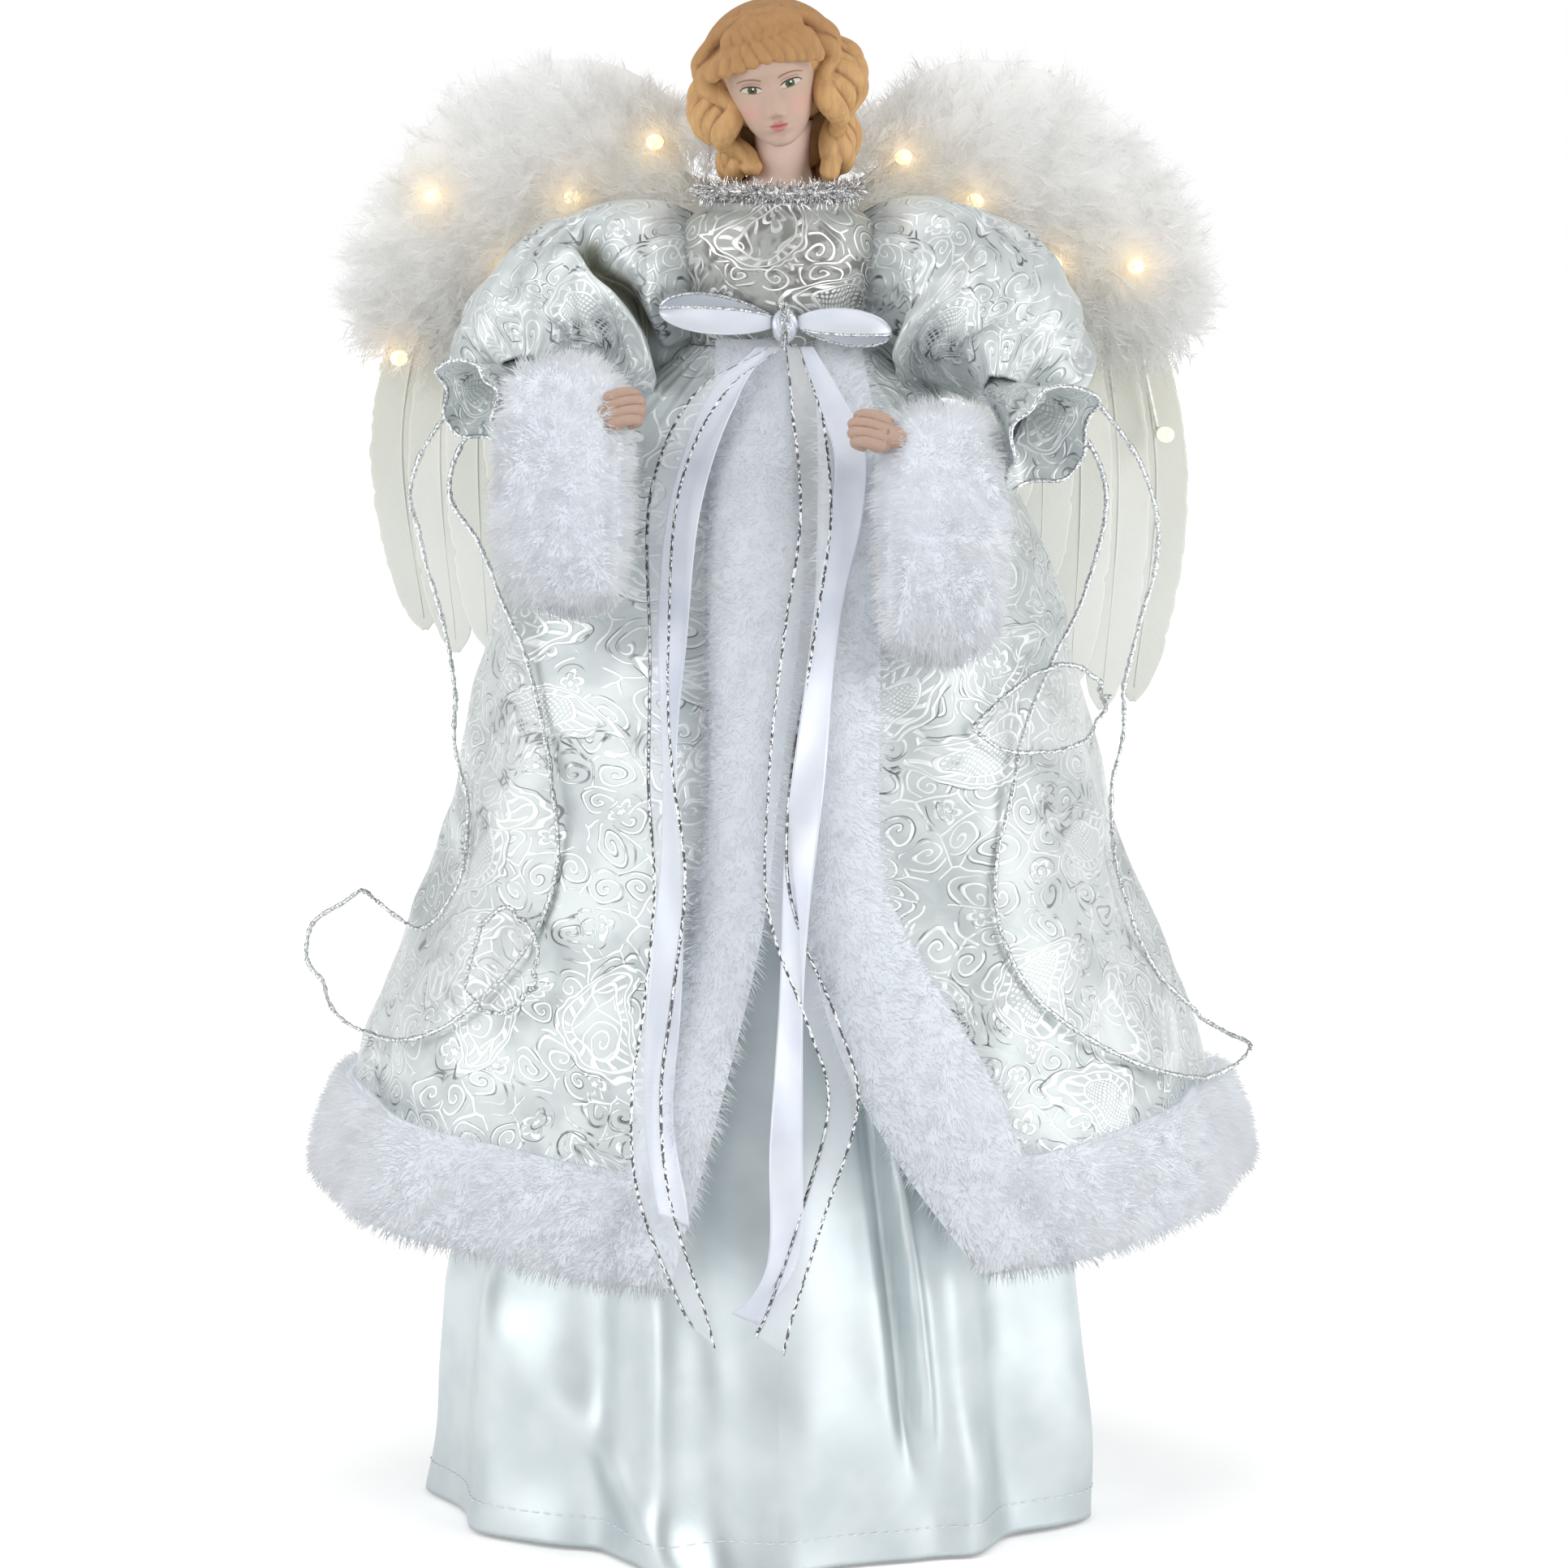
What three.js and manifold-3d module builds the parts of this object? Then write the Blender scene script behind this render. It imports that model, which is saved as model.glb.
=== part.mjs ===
// Angel tree topper: a card cone under a satin skirt, a brocade robe trimmed with fur, a bisque head
// and hands on wires, and two feather wings that carry a string of small lamps.
// Millimetres, +Z up, the angel looks along -Y. Left and right are the angel's own, so left is +X.
// The origin is the centre of the cone's mouth, on the plane that the cone stands on.
import * as THREE from "three";
import { mergeVertices } from "three/addons/utils/BufferGeometryUtils.js";
import Module from "manifold-3d";

const kernel = await Module();
kernel.setup();

// Fits: the gap between neighbours, and the looser one between soft layers that lie on each other.
const SEAT_GAP = 0.3;
const BODICE_GAP = 0.5;
const LAYER_GAP = 1;

// Support cone of rolled card.
const CONE_FOOT_RADIUS = 76;
const CONE_TOP_RADIUS = 15;
const CONE_HEIGHT = 265;
const CONE_WALL = 1.2;

// Torso form of moulded foam with a plug that drops into the cone's top.
const TORSO_PLUG_LENGTH = 16;
const TORSO_RISE = 49;
const TORSO_HEIGHT = 85;
const HIP_HALF_WIDTH = 17;
const WAIST_HALF_WIDTH = 23;
const WAIST_HALF_DEPTH = 18.5;
const CHEST_HALF_WIDTH = 26;
const CHEST_HALF_DEPTH = 22;
const NECKLINE_HALF_WIDTH = 19;
const NECKLINE_HALF_DEPTH = 15;

// Cloth thicknesses.
const CLOTH = 0.9;
const RIBBON_THICKNESS = 0.6;

// Underskirt: how far it stands off the cone down its length, and the depth of its folds at the hem.
const SKIRT_HEM_LIFT = 0.6;
const SKIRT_TOP_DROP = 8;
const SKIRT_HEM_FULLNESS = 8;
const SKIRT_HIP_FULLNESS = 20;
const SKIRT_FOLD_DEPTH = 3.4;
const SKIRT_SWAY = 3.5;

// Robe: the flare of its sides and of its front and back from the waist, and the height of its hem.
const ROBE_HEM_HEIGHT = 90;
const ROBE_HEM_SIDE_LIFT = 13;
const ROBE_SIDE_FLARE = 94;
const ROBE_DEPTH_FLARE = 71;
const ROBE_FOLD_DEPTH = 3;

// Fur trim.
const FUR_GAP = 1.2;
const FUR_DEPTH = 7;
const FUR_EDGE = 2;
const FUR_HEM_WIDTH = 29;

// Head, with its hair and its shoulder plate.
const HEAD_RISE = 34;
const HEAD_FORWARD = 6;
const HEAD_ASIDE = -1.3;
const HEAD_ROLL = THREE.MathUtils.degToRad(-8);
const HEAD_NOD = THREE.MathUtils.degToRad(8);
const HAIR_HALF_WIDTH = 19.8;
const HAIR_LOCK_RADIUS = 4.5;
const HAIR_DROP = 20;
const NECK_RADIUS = 8;
const DOWEL_RADIUS = 3;

// Tinsel collar.
const TINSEL_RADIUS = 3.3;

// Arms.
const ARM_WIRE_RADIUS = 1.2;
const SHOULDER_DROP = 13;
const SHOULDER_BACK = 1;
const SLEEVE_RADIUS = 20.5;
const SLEEVE_SAG = 11;
const SLEEVE_END_RADIUS = 9.5;
const CUFF_HALF_HEIGHT = 33;
const CUFF_HALF_DEPTH = 11;
const CUFF_WALL = 3.6;
const WRIST_RADIUS = 3.1;
const CUFF_LEAN = THREE.MathUtils.degToRad(17);
// Places on each arm: out from the middle, forward or back, and up from the shoulder's height.
const ARMS = {
  left: { side: 1, elbow: [65, -15, -27], cuffOuter: [55, -48, -69], cuffInner: [30, -62, -68], hand: [27, -57, -46] },
  right: { side: -1, elbow: [70, -12, -28], cuffOuter: [70, -45, -56], cuffInner: [43, -60, -56], hand: [43, -55, -40] },
};

// Bow and ribbons.
const BOW_RISE = 6;
const BOW_LOOP_LENGTH = { left: 24, right: 29 };
const RIBBON_WIDTH = 9;

// Wings, in their own frame: across from the hinge line, back, and up from the shoulder's height.
const MOUNT_CARD_THICKNESS = 1.6;
const MOUNT_CARD_HEIGHT = 24;
const HINGE_GAP = 0.5;
const WING_HINGE_ASIDE = 10;
const WING_SPAN = 100;
const WING_SWEEP = THREE.MathUtils.degToRad(12);
const WING_WIRE_RADIUS = 1;
const PANEL_THICKNESS = 1.4;
const FEATHER_THICKNESS = 0.7;
const FEATHER_COUNT = 5;
const FEATHER_HALF_WIDTH = 9.5;
const MARABOU_DEPTH = 8;
const LIGHT_WIRE_RADIUS = 0.7;
const LAMP_RADIUS = 2.1;
const LAMP_LENGTH = 11;
// Each wing: how much shorter its feathers hang, and its lamps, in shares of the span.
const WINGS = {
  left: { side: 1, lift: 0, lamps: [[0.21, 0.26], [0.41, 0.14], [0.63, -0.03], [0.86, -0.04], [0.95, -0.5]] },
  right: { side: -1, lift: 0.2, lamps: [[0.21, 0.3], [0.44, 0.15], [0.61, -0.05], [0.83, 0.15], [0.93, -0.29]] },
};

// Derived heights and radii.
const TORSO_FOOT = CONE_HEIGHT + SEAT_GAP;
const WAIST_HEIGHT = CONE_HEIGHT + TORSO_RISE;
const TORSO_TOP = CONE_HEIGHT + TORSO_HEIGHT;
const SHOULDER_HEIGHT = TORSO_TOP - SHOULDER_DROP;
const HEAD_CENTRE_HEIGHT = TORSO_TOP + HEAD_RISE;
const BOW_HEIGHT = WAIST_HEIGHT + BOW_RISE;
const BODICE_OFFSET = BODICE_GAP + CLOTH;
const BODICE_TOP = TORSO_TOP + 2;
const SLEEVE_ROOT = CHEST_HALF_WIDTH + BODICE_OFFSET + SEAT_GAP;
const MOUNT_CARD_FRONT = CHEST_HALF_DEPTH + BODICE_OFFSET + SEAT_GAP;
const WING_HINGE_BACK = MOUNT_CARD_FRONT + MOUNT_CARD_THICKNESS + HINGE_GAP + WING_WIRE_RADIUS;
const FEATHER_PITCH = FEATHER_THICKNESS + SEAT_GAP;
const LIGHT_WIRE_FRONT = FEATHER_COUNT * FEATHER_PITCH + SEAT_GAP + LIGHT_WIRE_RADIUS;
const MARABOU_BACK = LIGHT_WIRE_FRONT + LIGHT_WIRE_RADIUS + SEAT_GAP;

const FINISHES = {
  card: new THREE.MeshStandardMaterial({ color: 0xcfc6b4, roughness: 0.9 }),
  foam: new THREE.MeshStandardMaterial({ color: 0xe9e6df, roughness: 0.95 }),
  satin: new THREE.MeshStandardMaterial({ color: 0xeef1ef, roughness: 0.4 }),
  brocade: new THREE.MeshStandardMaterial({ color: 0xdfe2e2, roughness: 0.5 }),
  fur: new THREE.MeshStandardMaterial({ color: 0xf6f5fb, roughness: 1 }),
  feather: new THREE.MeshStandardMaterial({ color: 0xf4f0e4, roughness: 0.8 }),
  organza: new THREE.MeshStandardMaterial({ color: 0xe8ece9, roughness: 0.4 }),
  silver: new THREE.MeshStandardMaterial({ color: 0xc9ccd0, roughness: 0.3, metalness: 0.9 }),
  wire: new THREE.MeshStandardMaterial({ color: 0x9a9ca0, roughness: 0.4, metalness: 0.8 }),
  cable: new THREE.MeshStandardMaterial({ color: 0xf2f2ee, roughness: 0.5 }),
  bisque: new THREE.MeshStandardMaterial({ color: 0xe9c3ae, roughness: 0.7 }),
  wood: new THREE.MeshStandardMaterial({ color: 0xcfae80, roughness: 0.7 }),
  glass: new THREE.MeshStandardMaterial({ color: 0xfff1c9, roughness: 0.15 }),
};

// A smooth curve through [place, value] knots, straight beyond its ends.
function through(knots) {
  const last = knots.length - 1;
  const slopes = knots.map((knot, i) => {
    const before = knots[Math.max(i - 1, 0)];
    const after = knots[Math.min(i + 1, last)];
    return (after[1] - before[1]) / (after[0] - before[0]);
  });
  return (place) => {
    if (place <= knots[0][0]) return knots[0][1] + slopes[0] * (place - knots[0][0]);
    if (place >= knots[last][0]) return knots[last][1] + slopes[last] * (place - knots[last][0]);
    const i = knots.findIndex((knot) => knot[0] > place) - 1;
    const span = knots[i + 1][0] - knots[i][0];
    const t = (place - knots[i][0]) / span;
    const start = (1 + 2 * t) * (1 - t) ** 2 * knots[i][1] + t * (1 - t) ** 2 * span * slopes[i];
    const end = t * t * (3 - 2 * t) * knots[i + 1][1] + t * t * (t - 1) * span * slopes[i + 1];
    return start + end;
  };
}

function clamp(value, low, high) {
  return Math.min(Math.max(value, low), high);
}

function vector(list) {
  return new THREE.Vector3(list[0], list[1], list[2]);
}

// A closed geometry from points and triangles, turned so that its faces look outwards.
function body(points, triangles) {
  let volume = 0;
  for (const [a, b, c] of triangles) {
    volume += points[a].dot(new THREE.Vector3().crossVectors(points[b], points[c]));
  }
  const turned = volume < 0 ? triangles.map(([a, b, c]) => [a, c, b]) : triangles;
  const geometry = new THREE.BufferGeometry().setFromPoints(points);
  geometry.setIndex(turned.flat());
  geometry.computeVertexNormals();
  return geometry;
}

// A sheet with thickness between two surfaces of (across, along); closed joins its two sides.
function sheet(outer, inner, across, along, closed = false) {
  const columns = closed ? across : across + 1;
  const points = [];
  for (const surface of [outer, inner]) {
    for (let j = 0; j <= along; j += 1) {
      for (let i = 0; i < columns; i += 1) points.push(surface(i / across, j / along));
    }
  }
  const back = columns * (along + 1);
  const at = (i, j) => j * columns + (i % columns);
  const triangles = [];
  const quad = (a, b, c, d) => triangles.push([a, b, c], [a, c, d]);
  for (let j = 0; j < along; j += 1) {
    for (let i = 0; i < across; i += 1) {
      quad(at(i, j), at(i + 1, j), at(i + 1, j + 1), at(i, j + 1));
      quad(back + at(i, j), back + at(i, j + 1), back + at(i + 1, j + 1), back + at(i + 1, j));
    }
  }
  for (let i = 0; i < across; i += 1) {
    quad(at(i, 0), back + at(i, 0), back + at(i + 1, 0), at(i + 1, 0));
    quad(at(i, along), at(i + 1, along), back + at(i + 1, along), back + at(i, along));
  }
  for (let j = 0; j < along && !closed; j += 1) {
    quad(at(0, j), at(0, j + 1), back + at(0, j + 1), back + at(0, j));
    quad(at(across, j), back + at(across, j), back + at(across, j + 1), at(across, j + 1));
  }
  return body(points, triangles);
}

// A solid through a row of rings, with a flat cap at each end.
function loft(ring, around, along) {
  const points = [];
  for (let j = 0; j <= along; j += 1) {
    for (let i = 0; i < around; i += 1) points.push(ring(i / around, j / along));
  }
  const at = (i, j) => j * around + (i % around);
  const triangles = [];
  for (let j = 0; j < along; j += 1) {
    for (let i = 0; i < around; i += 1) {
      triangles.push([at(i, j), at(i + 1, j), at(i + 1, j + 1)], [at(i, j), at(i + 1, j + 1), at(i, j + 1)]);
    }
  }
  for (let i = 1; i < around - 1; i += 1) {
    triangles.push([at(0, 0), at(i + 1, 0), at(i, 0)], [at(0, along), at(i, along), at(i + 1, along)]);
  }
  return body(points, triangles);
}

// A round rod along a curve.
function rod(curve, radius, sides, steps) {
  const section = new THREE.Shape();
  for (let i = 0; i < sides; i += 1) {
    const angle = (2 * Math.PI * i) / sides;
    const corner = [radius * Math.cos(angle), radius * Math.sin(angle)];
    if (i === 0) section.moveTo(...corner);
    else section.lineTo(...corner);
  }
  section.closePath();
  return new THREE.ExtrudeGeometry(section, { steps, extrudePath: curve, bevelEnabled: false });
}

function spline(points) {
  return new THREE.CatmullRomCurve3(points.map(vector), false, "centripetal");
}

function toSolid(geometry) {
  const bare = new THREE.BufferGeometry();
  bare.setAttribute("position", geometry.getAttribute("position").clone());
  if (geometry.index) bare.setIndex(geometry.index.clone());
  const merged = mergeVertices(bare, 1e-4);
  const kept = [];
  for (let i = 0; i < merged.index.count; i += 3) {
    const [a, b, c] = [merged.index.getX(i), merged.index.getX(i + 1), merged.index.getX(i + 2)];
    if (a !== b && b !== c && a !== c) kept.push(a, b, c);
  }
  const vertProperties = Float32Array.from(merged.getAttribute("position").array);
  const triVerts = Uint32Array.from(kept);
  return new kernel.Manifold(new kernel.Mesh({ numProp: 3, vertProperties, triVerts }));
}

function fromSolid(solid) {
  const mesh = solid.getMesh();
  const geometry = new THREE.BufferGeometry();
  geometry.setAttribute("position", new THREE.BufferAttribute(Float32Array.from(mesh.vertProperties), 3));
  geometry.setIndex(new THREE.BufferAttribute(Uint32Array.from(mesh.triVerts), 1));
  geometry.computeVertexNormals();
  return geometry;
}

function join(...geometries) {
  return fromSolid(kernel.Manifold.union(geometries.map(toSolid)));
}

function cut(geometry, ...cutters) {
  return fromSolid(toSolid(geometry).subtract(kernel.Manifold.union(cutters.map(toSolid))));
}

function ball(halfX, halfY, halfZ, place, around = 14, rings = 9) {
  const geometry = new THREE.SphereGeometry(1, around, rings);
  geometry.rotateX(Math.PI / 2);
  geometry.scale(halfX, halfY, halfZ);
  geometry.translate(place[0], place[1], place[2]);
  return geometry;
}

function upright(radiusTop, radiusFoot, foot, top, around = 24) {
  const geometry = new THREE.CylinderGeometry(radiusTop, radiusFoot, top - foot, around);
  geometry.rotateX(Math.PI / 2);
  geometry.translate(0, 0, (foot + top) / 2);
  return geometry;
}

const model = new THREE.Group();
model.name = "angel_tree_topper";

function add(name, geometry, finish, parent = model) {
  const mesh = new THREE.Mesh(geometry, FINISHES[finish]);
  mesh.name = name;
  parent.add(mesh);
}

// Support cone.
function coneRadius(height) {
  return CONE_FOOT_RADIUS + ((CONE_TOP_RADIUS - CONE_FOOT_RADIUS) * height) / CONE_HEIGHT;
}

function makeCone() {
  const profile = [
    [CONE_FOOT_RADIUS - CONE_WALL, 0],
    [CONE_FOOT_RADIUS, 0],
    [CONE_TOP_RADIUS, CONE_HEIGHT],
    [CONE_TOP_RADIUS - CONE_WALL, CONE_HEIGHT],
    [CONE_FOOT_RADIUS - CONE_WALL, 0],
  ];
  const geometry = new THREE.LatheGeometry(profile.map(([r, z]) => new THREE.Vector2(r, z)), 48);
  geometry.rotateX(Math.PI / 2);
  return geometry;
}

// Torso form and the bodice that fits over it.
const torsoHalfWidth = through([
  [TORSO_FOOT, HIP_HALF_WIDTH],
  [WAIST_HEIGHT, WAIST_HALF_WIDTH],
  [WAIST_HEIGHT + 0.6 * (TORSO_TOP - WAIST_HEIGHT), CHEST_HALF_WIDTH],
  [TORSO_TOP - 4, CHEST_HALF_WIDTH - 1.5],
  [TORSO_TOP, NECKLINE_HALF_WIDTH],
]);
const torsoHalfDepth = through([
  [TORSO_FOOT, 0.9 * HIP_HALF_WIDTH],
  [WAIST_HEIGHT, WAIST_HALF_DEPTH],
  [WAIST_HEIGHT + 0.5 * (TORSO_TOP - WAIST_HEIGHT), CHEST_HALF_DEPTH],
  [TORSO_TOP - 4, CHEST_HALF_DEPTH - 3],
  [TORSO_TOP, NECKLINE_HALF_DEPTH],
]);

function torsoPoint(turn, height, offset) {
  const angle = 2 * Math.PI * turn;
  const level = Math.min(height, TORSO_TOP);
  const x = (torsoHalfWidth(level) + offset) * Math.sin(angle);
  const y = -(torsoHalfDepth(level) + offset) * Math.cos(angle);
  return new THREE.Vector3(x, y, height);
}

function shoulderBore(radius) {
  const bore = new THREE.CylinderGeometry(radius, radius, 4 * CHEST_HALF_WIDTH, 12);
  bore.rotateZ(Math.PI / 2);
  bore.translate(0, SHOULDER_BACK, SHOULDER_HEIGHT);
  return bore;
}

function makeTorso() {
  const form = loft((u, v) => torsoPoint(u, TORSO_FOOT + v * (TORSO_TOP - TORSO_FOOT), 0), 20, 6);
  const plugRadius = CONE_TOP_RADIUS - CONE_WALL - SEAT_GAP;
  const plug = upright(plugRadius, plugRadius, CONE_HEIGHT - TORSO_PLUG_LENGTH, TORSO_FOOT + 2);
  const socket = upright(DOWEL_RADIUS + SEAT_GAP, DOWEL_RADIUS + SEAT_GAP, TORSO_TOP - 22, TORSO_TOP + 2, 16);
  return cut(join(form, plug), socket, shoulderBore(ARM_WIRE_RADIUS + SEAT_GAP));
}

function makeBodice() {
  const foot = WAIST_HEIGHT + SEAT_GAP;
  const surface = (offset) => (u, v) => torsoPoint(u, foot + v * (BODICE_TOP - foot), offset);
  const shell = sheet(surface(BODICE_OFFSET), surface(BODICE_GAP), 20, 5, true);
  return cut(shell, shoulderBore(ARM_WIRE_RADIUS + SEAT_GAP));
}

// Underskirt: hangs off the cone with folds that deepen towards the hem.
function skirtFold(angle) {
  return 0.55 * Math.cos(8 * angle + 0.9) + 0.45 * Math.cos(13 * angle + 2);
}

const skirtFullness = through([
  [0, 0],
  [0.3, 0.6 * SKIRT_HIP_FULLNESS],
  [0.68, SKIRT_HIP_FULLNESS],
  [1, SKIRT_HEM_FULLNESS],
]);

function skirtPoint(angle, v, offset) {
  const top = CONE_HEIGHT - SKIRT_TOP_DROP;
  const height = top + v * (SKIRT_HEM_LIFT - top);
  const ease = skirtFullness(v) + v * (SKIRT_FOLD_DEPTH * skirtFold(angle) - SKIRT_SWAY * Math.sin(angle));
  const radius = coneRadius(height) + LAYER_GAP + ease + offset;
  return new THREE.Vector3(radius * Math.sin(angle), -radius * Math.cos(angle), height);
}

function makeUnderskirt() {
  const surface = (offset) => (u, v) => skirtPoint(2 * Math.PI * u, v, offset);
  return sheet(surface(CLOTH), surface(0), 52, 6, true);
}

// Robe: an open bell from the waist; angle 0 is the front.
const robeSide = through([
  [0, 0], [0.06, 0.09], [0.15, 0.28], [0.27, 0.47], [0.45, 0.61], [0.65, 0.73], [0.82, 0.89], [1, 1],
]);
const robeDepth = through([
  [0, 0], [0.06, 0.08], [0.15, 0.22], [0.27, 0.38], [0.45, 0.58], [0.65, 0.77], [0.82, 0.91], [1, 1],
]);

function robeHem(angle) {
  return ROBE_HEM_HEIGHT + ROBE_HEM_SIDE_LIFT * Math.sin(angle) ** 2;
}

function robeHalfWidth(v) {
  return WAIST_HALF_WIDTH + BODICE_OFFSET + ROBE_SIDE_FLARE * robeSide(v);
}

function robeHalfDepth(v) {
  return WAIST_HALF_DEPTH + BODICE_OFFSET + ROBE_DEPTH_FLARE * robeDepth(v);
}

function robeFold(angle) {
  return 0.6 * Math.cos(7 * angle + 0.5) + 0.4 * Math.cos(12 * angle - 1.2);
}

function robePoint(angle, v, offset) {
  const ease = ROBE_FOLD_DEPTH * clamp(v, 0, 1) * robeFold(angle) + offset;
  const x = (robeHalfWidth(v) + ease) * Math.sin(angle);
  const y = -(robeHalfDepth(v) + ease) * Math.cos(angle);
  return new THREE.Vector3(x, y, WAIST_HEIGHT + v * (robeHem(angle) - WAIST_HEIGHT));
}

// How far down the robe a height lies, at one angle.
function robeReach(angle, height) {
  return (WAIST_HEIGHT - height) / (WAIST_HEIGHT - robeHem(angle));
}

function robeAngle(x, v) {
  return Math.asin(clamp(x / robeHalfWidth(v), -0.97, 0.97));
}

// Front fur bands: middle and half width of each, in x, down the robe.
const FUR_FRONT = {
  left: {
    middle: through([[0, 15], [0.15, 18], [0.4, 17], [0.6, 16], [0.7, 23], [0.82, 35], [0.93, 47], [1, 56]]),
    half: through([[0, 6], [0.15, 8], [0.4, 9], [0.6, 11], [0.7, 14], [0.82, 17], [0.93, 15], [1, 13]]),
  },
  right: {
    middle: through([[0, -7], [0.25, -6], [0.5, -9], [0.65, -13], [0.82, -22], [1, -33]]),
    half: through([[0, 9], [0.25, 12], [0.5, 9], [0.65, 9], [0.82, 9], [1, 9]]),
  },
};
const FUR_TOP = 0.05;
const FUR_FOOT = 1 + (0.5 * FUR_HEM_WIDTH) / (WAIST_HEIGHT - ROBE_HEM_HEIGHT);

function crown(t) {
  return Math.sqrt(Math.max(1 - (2 * t - 1) ** 2, 0));
}

function makeRobe() {
  const start = (v) => robeAngle(FUR_FRONT.left.middle(v), v);
  const end = (v) => 2 * Math.PI + robeAngle(FUR_FRONT.right.middle(v), v);
  const surface = (offset) => (u, v) => robePoint(start(v) + u * (end(v) - start(v)), v, offset);
  return sheet(surface(0), surface(-CLOTH), 42, 8);
}

function makeFurFront(name) {
  const { middle, half } = FUR_FRONT[name];
  const surface = (outer) => (u, t) => {
    const v = FUR_TOP + t * (FUR_FOOT - FUR_TOP);
    const angle = robeAngle(middle(v) + half(v) * (2 * u - 1), v);
    const depth = outer ? FUR_EDGE + (FUR_DEPTH - FUR_EDGE) * crown(u) : 0;
    return robePoint(angle, v, FUR_GAP + depth);
  };
  return sheet(surface(true), surface(false), 4, 17);
}

function makeFurHem() {
  const half = (0.5 * FUR_HEM_WIDTH) / (WAIST_HEIGHT - ROBE_HEM_HEIGHT);
  const { left, right } = FUR_FRONT;
  const start = (v) => robeAngle(left.middle(v) + left.half(v) + LAYER_GAP, v);
  const end = (v) => 2 * Math.PI + robeAngle(right.middle(v) - right.half(v) - LAYER_GAP, v);
  const surface = (outer) => (u, t) => {
    const v = 1 + half * (2 * t - 1);
    const angle = start(v) + u * (end(v) - start(v));
    const depth = outer ? FUR_EDGE + (FUR_DEPTH - FUR_EDGE) * crown(t) : 0;
    return robePoint(angle, v, FUR_GAP + depth);
  };
  return sheet(surface(true), surface(false), 38, 3);
}

// Bisque head: face, moulded hair in waved locks, neck and shoulder plate in one casting.
function hairLock(turn, wave) {
  const points = [];
  for (let i = 0; i <= 6; i += 1) {
    const over = Math.min(i / 3, 1);
    const down = Math.max(i / 3 - 1, 0);
    const fall = 0.35 + over * (0.5 * Math.PI - 0.35);
    const angle = turn + 0.14 * Math.sin(1.9 * i + wave);
    const reach = HAIR_HALF_WIDTH * (Math.sin(fall) - 0.2 * down ** 2 + 0.05 * Math.sin(2.6 * i + wave));
    const z = 0.92 * HAIR_HALF_WIDTH * Math.cos(fall) - HAIR_DROP * down;
    points.push([reach * Math.sin(angle), 2 - 0.9 * reach * Math.cos(angle), z]);
  }
  return rod(spline(points), HAIR_LOCK_RADIUS, 5, 6);
}

function makeHead() {
  const tilt = new THREE.Matrix4().makeRotationFromEuler(new THREE.Euler(HEAD_NOD, HEAD_ROLL, 0));
  tilt.setPosition(HEAD_ASIDE, -HEAD_FORWARD, HEAD_CENTRE_HEIGHT);
  const crownHair = ball(0.98 * HAIR_HALF_WIDTH, 0.96 * HAIR_HALF_WIDTH, 0.97 * HAIR_HALF_WIDTH, [0, 2, 1], 12, 7);
  const face = ball(12.5, 14.5, 16.5, [0, -6.5, -2.5], 12, 8);
  const nose = ball(1.7, 2.2, 2.6, [0, -20.2, -5.6], 6, 4);
  const chin = ball(6, 6, 4.5, [0, -13, -16], 8, 5);
  const locks = [];
  for (let i = 0; i < 4; i += 1) {
    for (const side of [-1, 1]) locks.push(hairLock(side * (0.95 + 0.62 * i), 0.9 * i + side));
  }
  const top = join(crownHair, face, nose, chin, ...locks);
  top.applyMatrix4(tilt);
  const foot = TORSO_TOP + SEAT_GAP;
  const plateProfile = [[0, foot], [1, foot], [1, foot + 1.4], [0.72, foot + 4.6], [0.45, foot + 7.5], [0, foot + 7.5]];
  const plate = new THREE.LatheGeometry(plateProfile.map(([r, z]) => new THREE.Vector2(r, z)), 24);
  plate.rotateX(Math.PI / 2);
  plate.scale(NECKLINE_HALF_WIDTH - SEAT_GAP, NECKLINE_HALF_DEPTH - SEAT_GAP, 1);
  const neck = upright(NECK_RADIUS, NECK_RADIUS, foot + 3, HEAD_CENTRE_HEIGHT - 8, 16);
  neck.translate(0.4 * HEAD_ASIDE, -0.3 * HEAD_FORWARD, 0);
  const socketTop = foot + 18 + SEAT_GAP;
  const socket = upright(DOWEL_RADIUS + SEAT_GAP, DOWEL_RADIUS + SEAT_GAP, foot - 2, socketTop, 16);
  return cut(join(top, plate, neck), socket);
}

function makeDowel() {
  const foot = TORSO_TOP - 22 + SEAT_GAP;
  return upright(DOWEL_RADIUS, DOWEL_RADIUS, foot, TORSO_TOP + SEAT_GAP + 18, 16);
}

function makeTinsel() {
  const height = BODICE_TOP + SEAT_GAP + TINSEL_RADIUS;
  const ring = (u, v) => {
    const angle = 2 * Math.PI * u;
    const turn = 2 * Math.PI * v;
    const reach = TINSEL_RADIUS * Math.cos(turn);
    const x = (NECKLINE_HALF_WIDTH + 1.2 + reach) * Math.sin(angle);
    const y = -(NECKLINE_HALF_DEPTH + 1.2 + reach) * Math.cos(angle);
    return [x, y, height + TINSEL_RADIUS * Math.sin(turn)];
  };
  const torus = new THREE.TorusGeometry(1, 0.1, 7, 24);
  const place = torus.getAttribute("position");
  for (let i = 0; i < place.count; i += 1) {
    const u = (i % 25) / 24;
    const v = Math.floor(i / 25) / 7;
    place.setXYZ(i, ...ring(u, v));
  }
  const solid = toSolid(torus);
  return fromSolid(solid.volume() < 0 ? solid.mirror([1, 0, 0]) : solid);
}

// Arms: wire, sleeve, flounce, fur cuff and hand; the wire's root turns in the torso's bore.
function armPoint(arm, list) {
  return [arm.side * list[0], list[1], SHOULDER_HEIGHT + list[2]];
}

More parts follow.
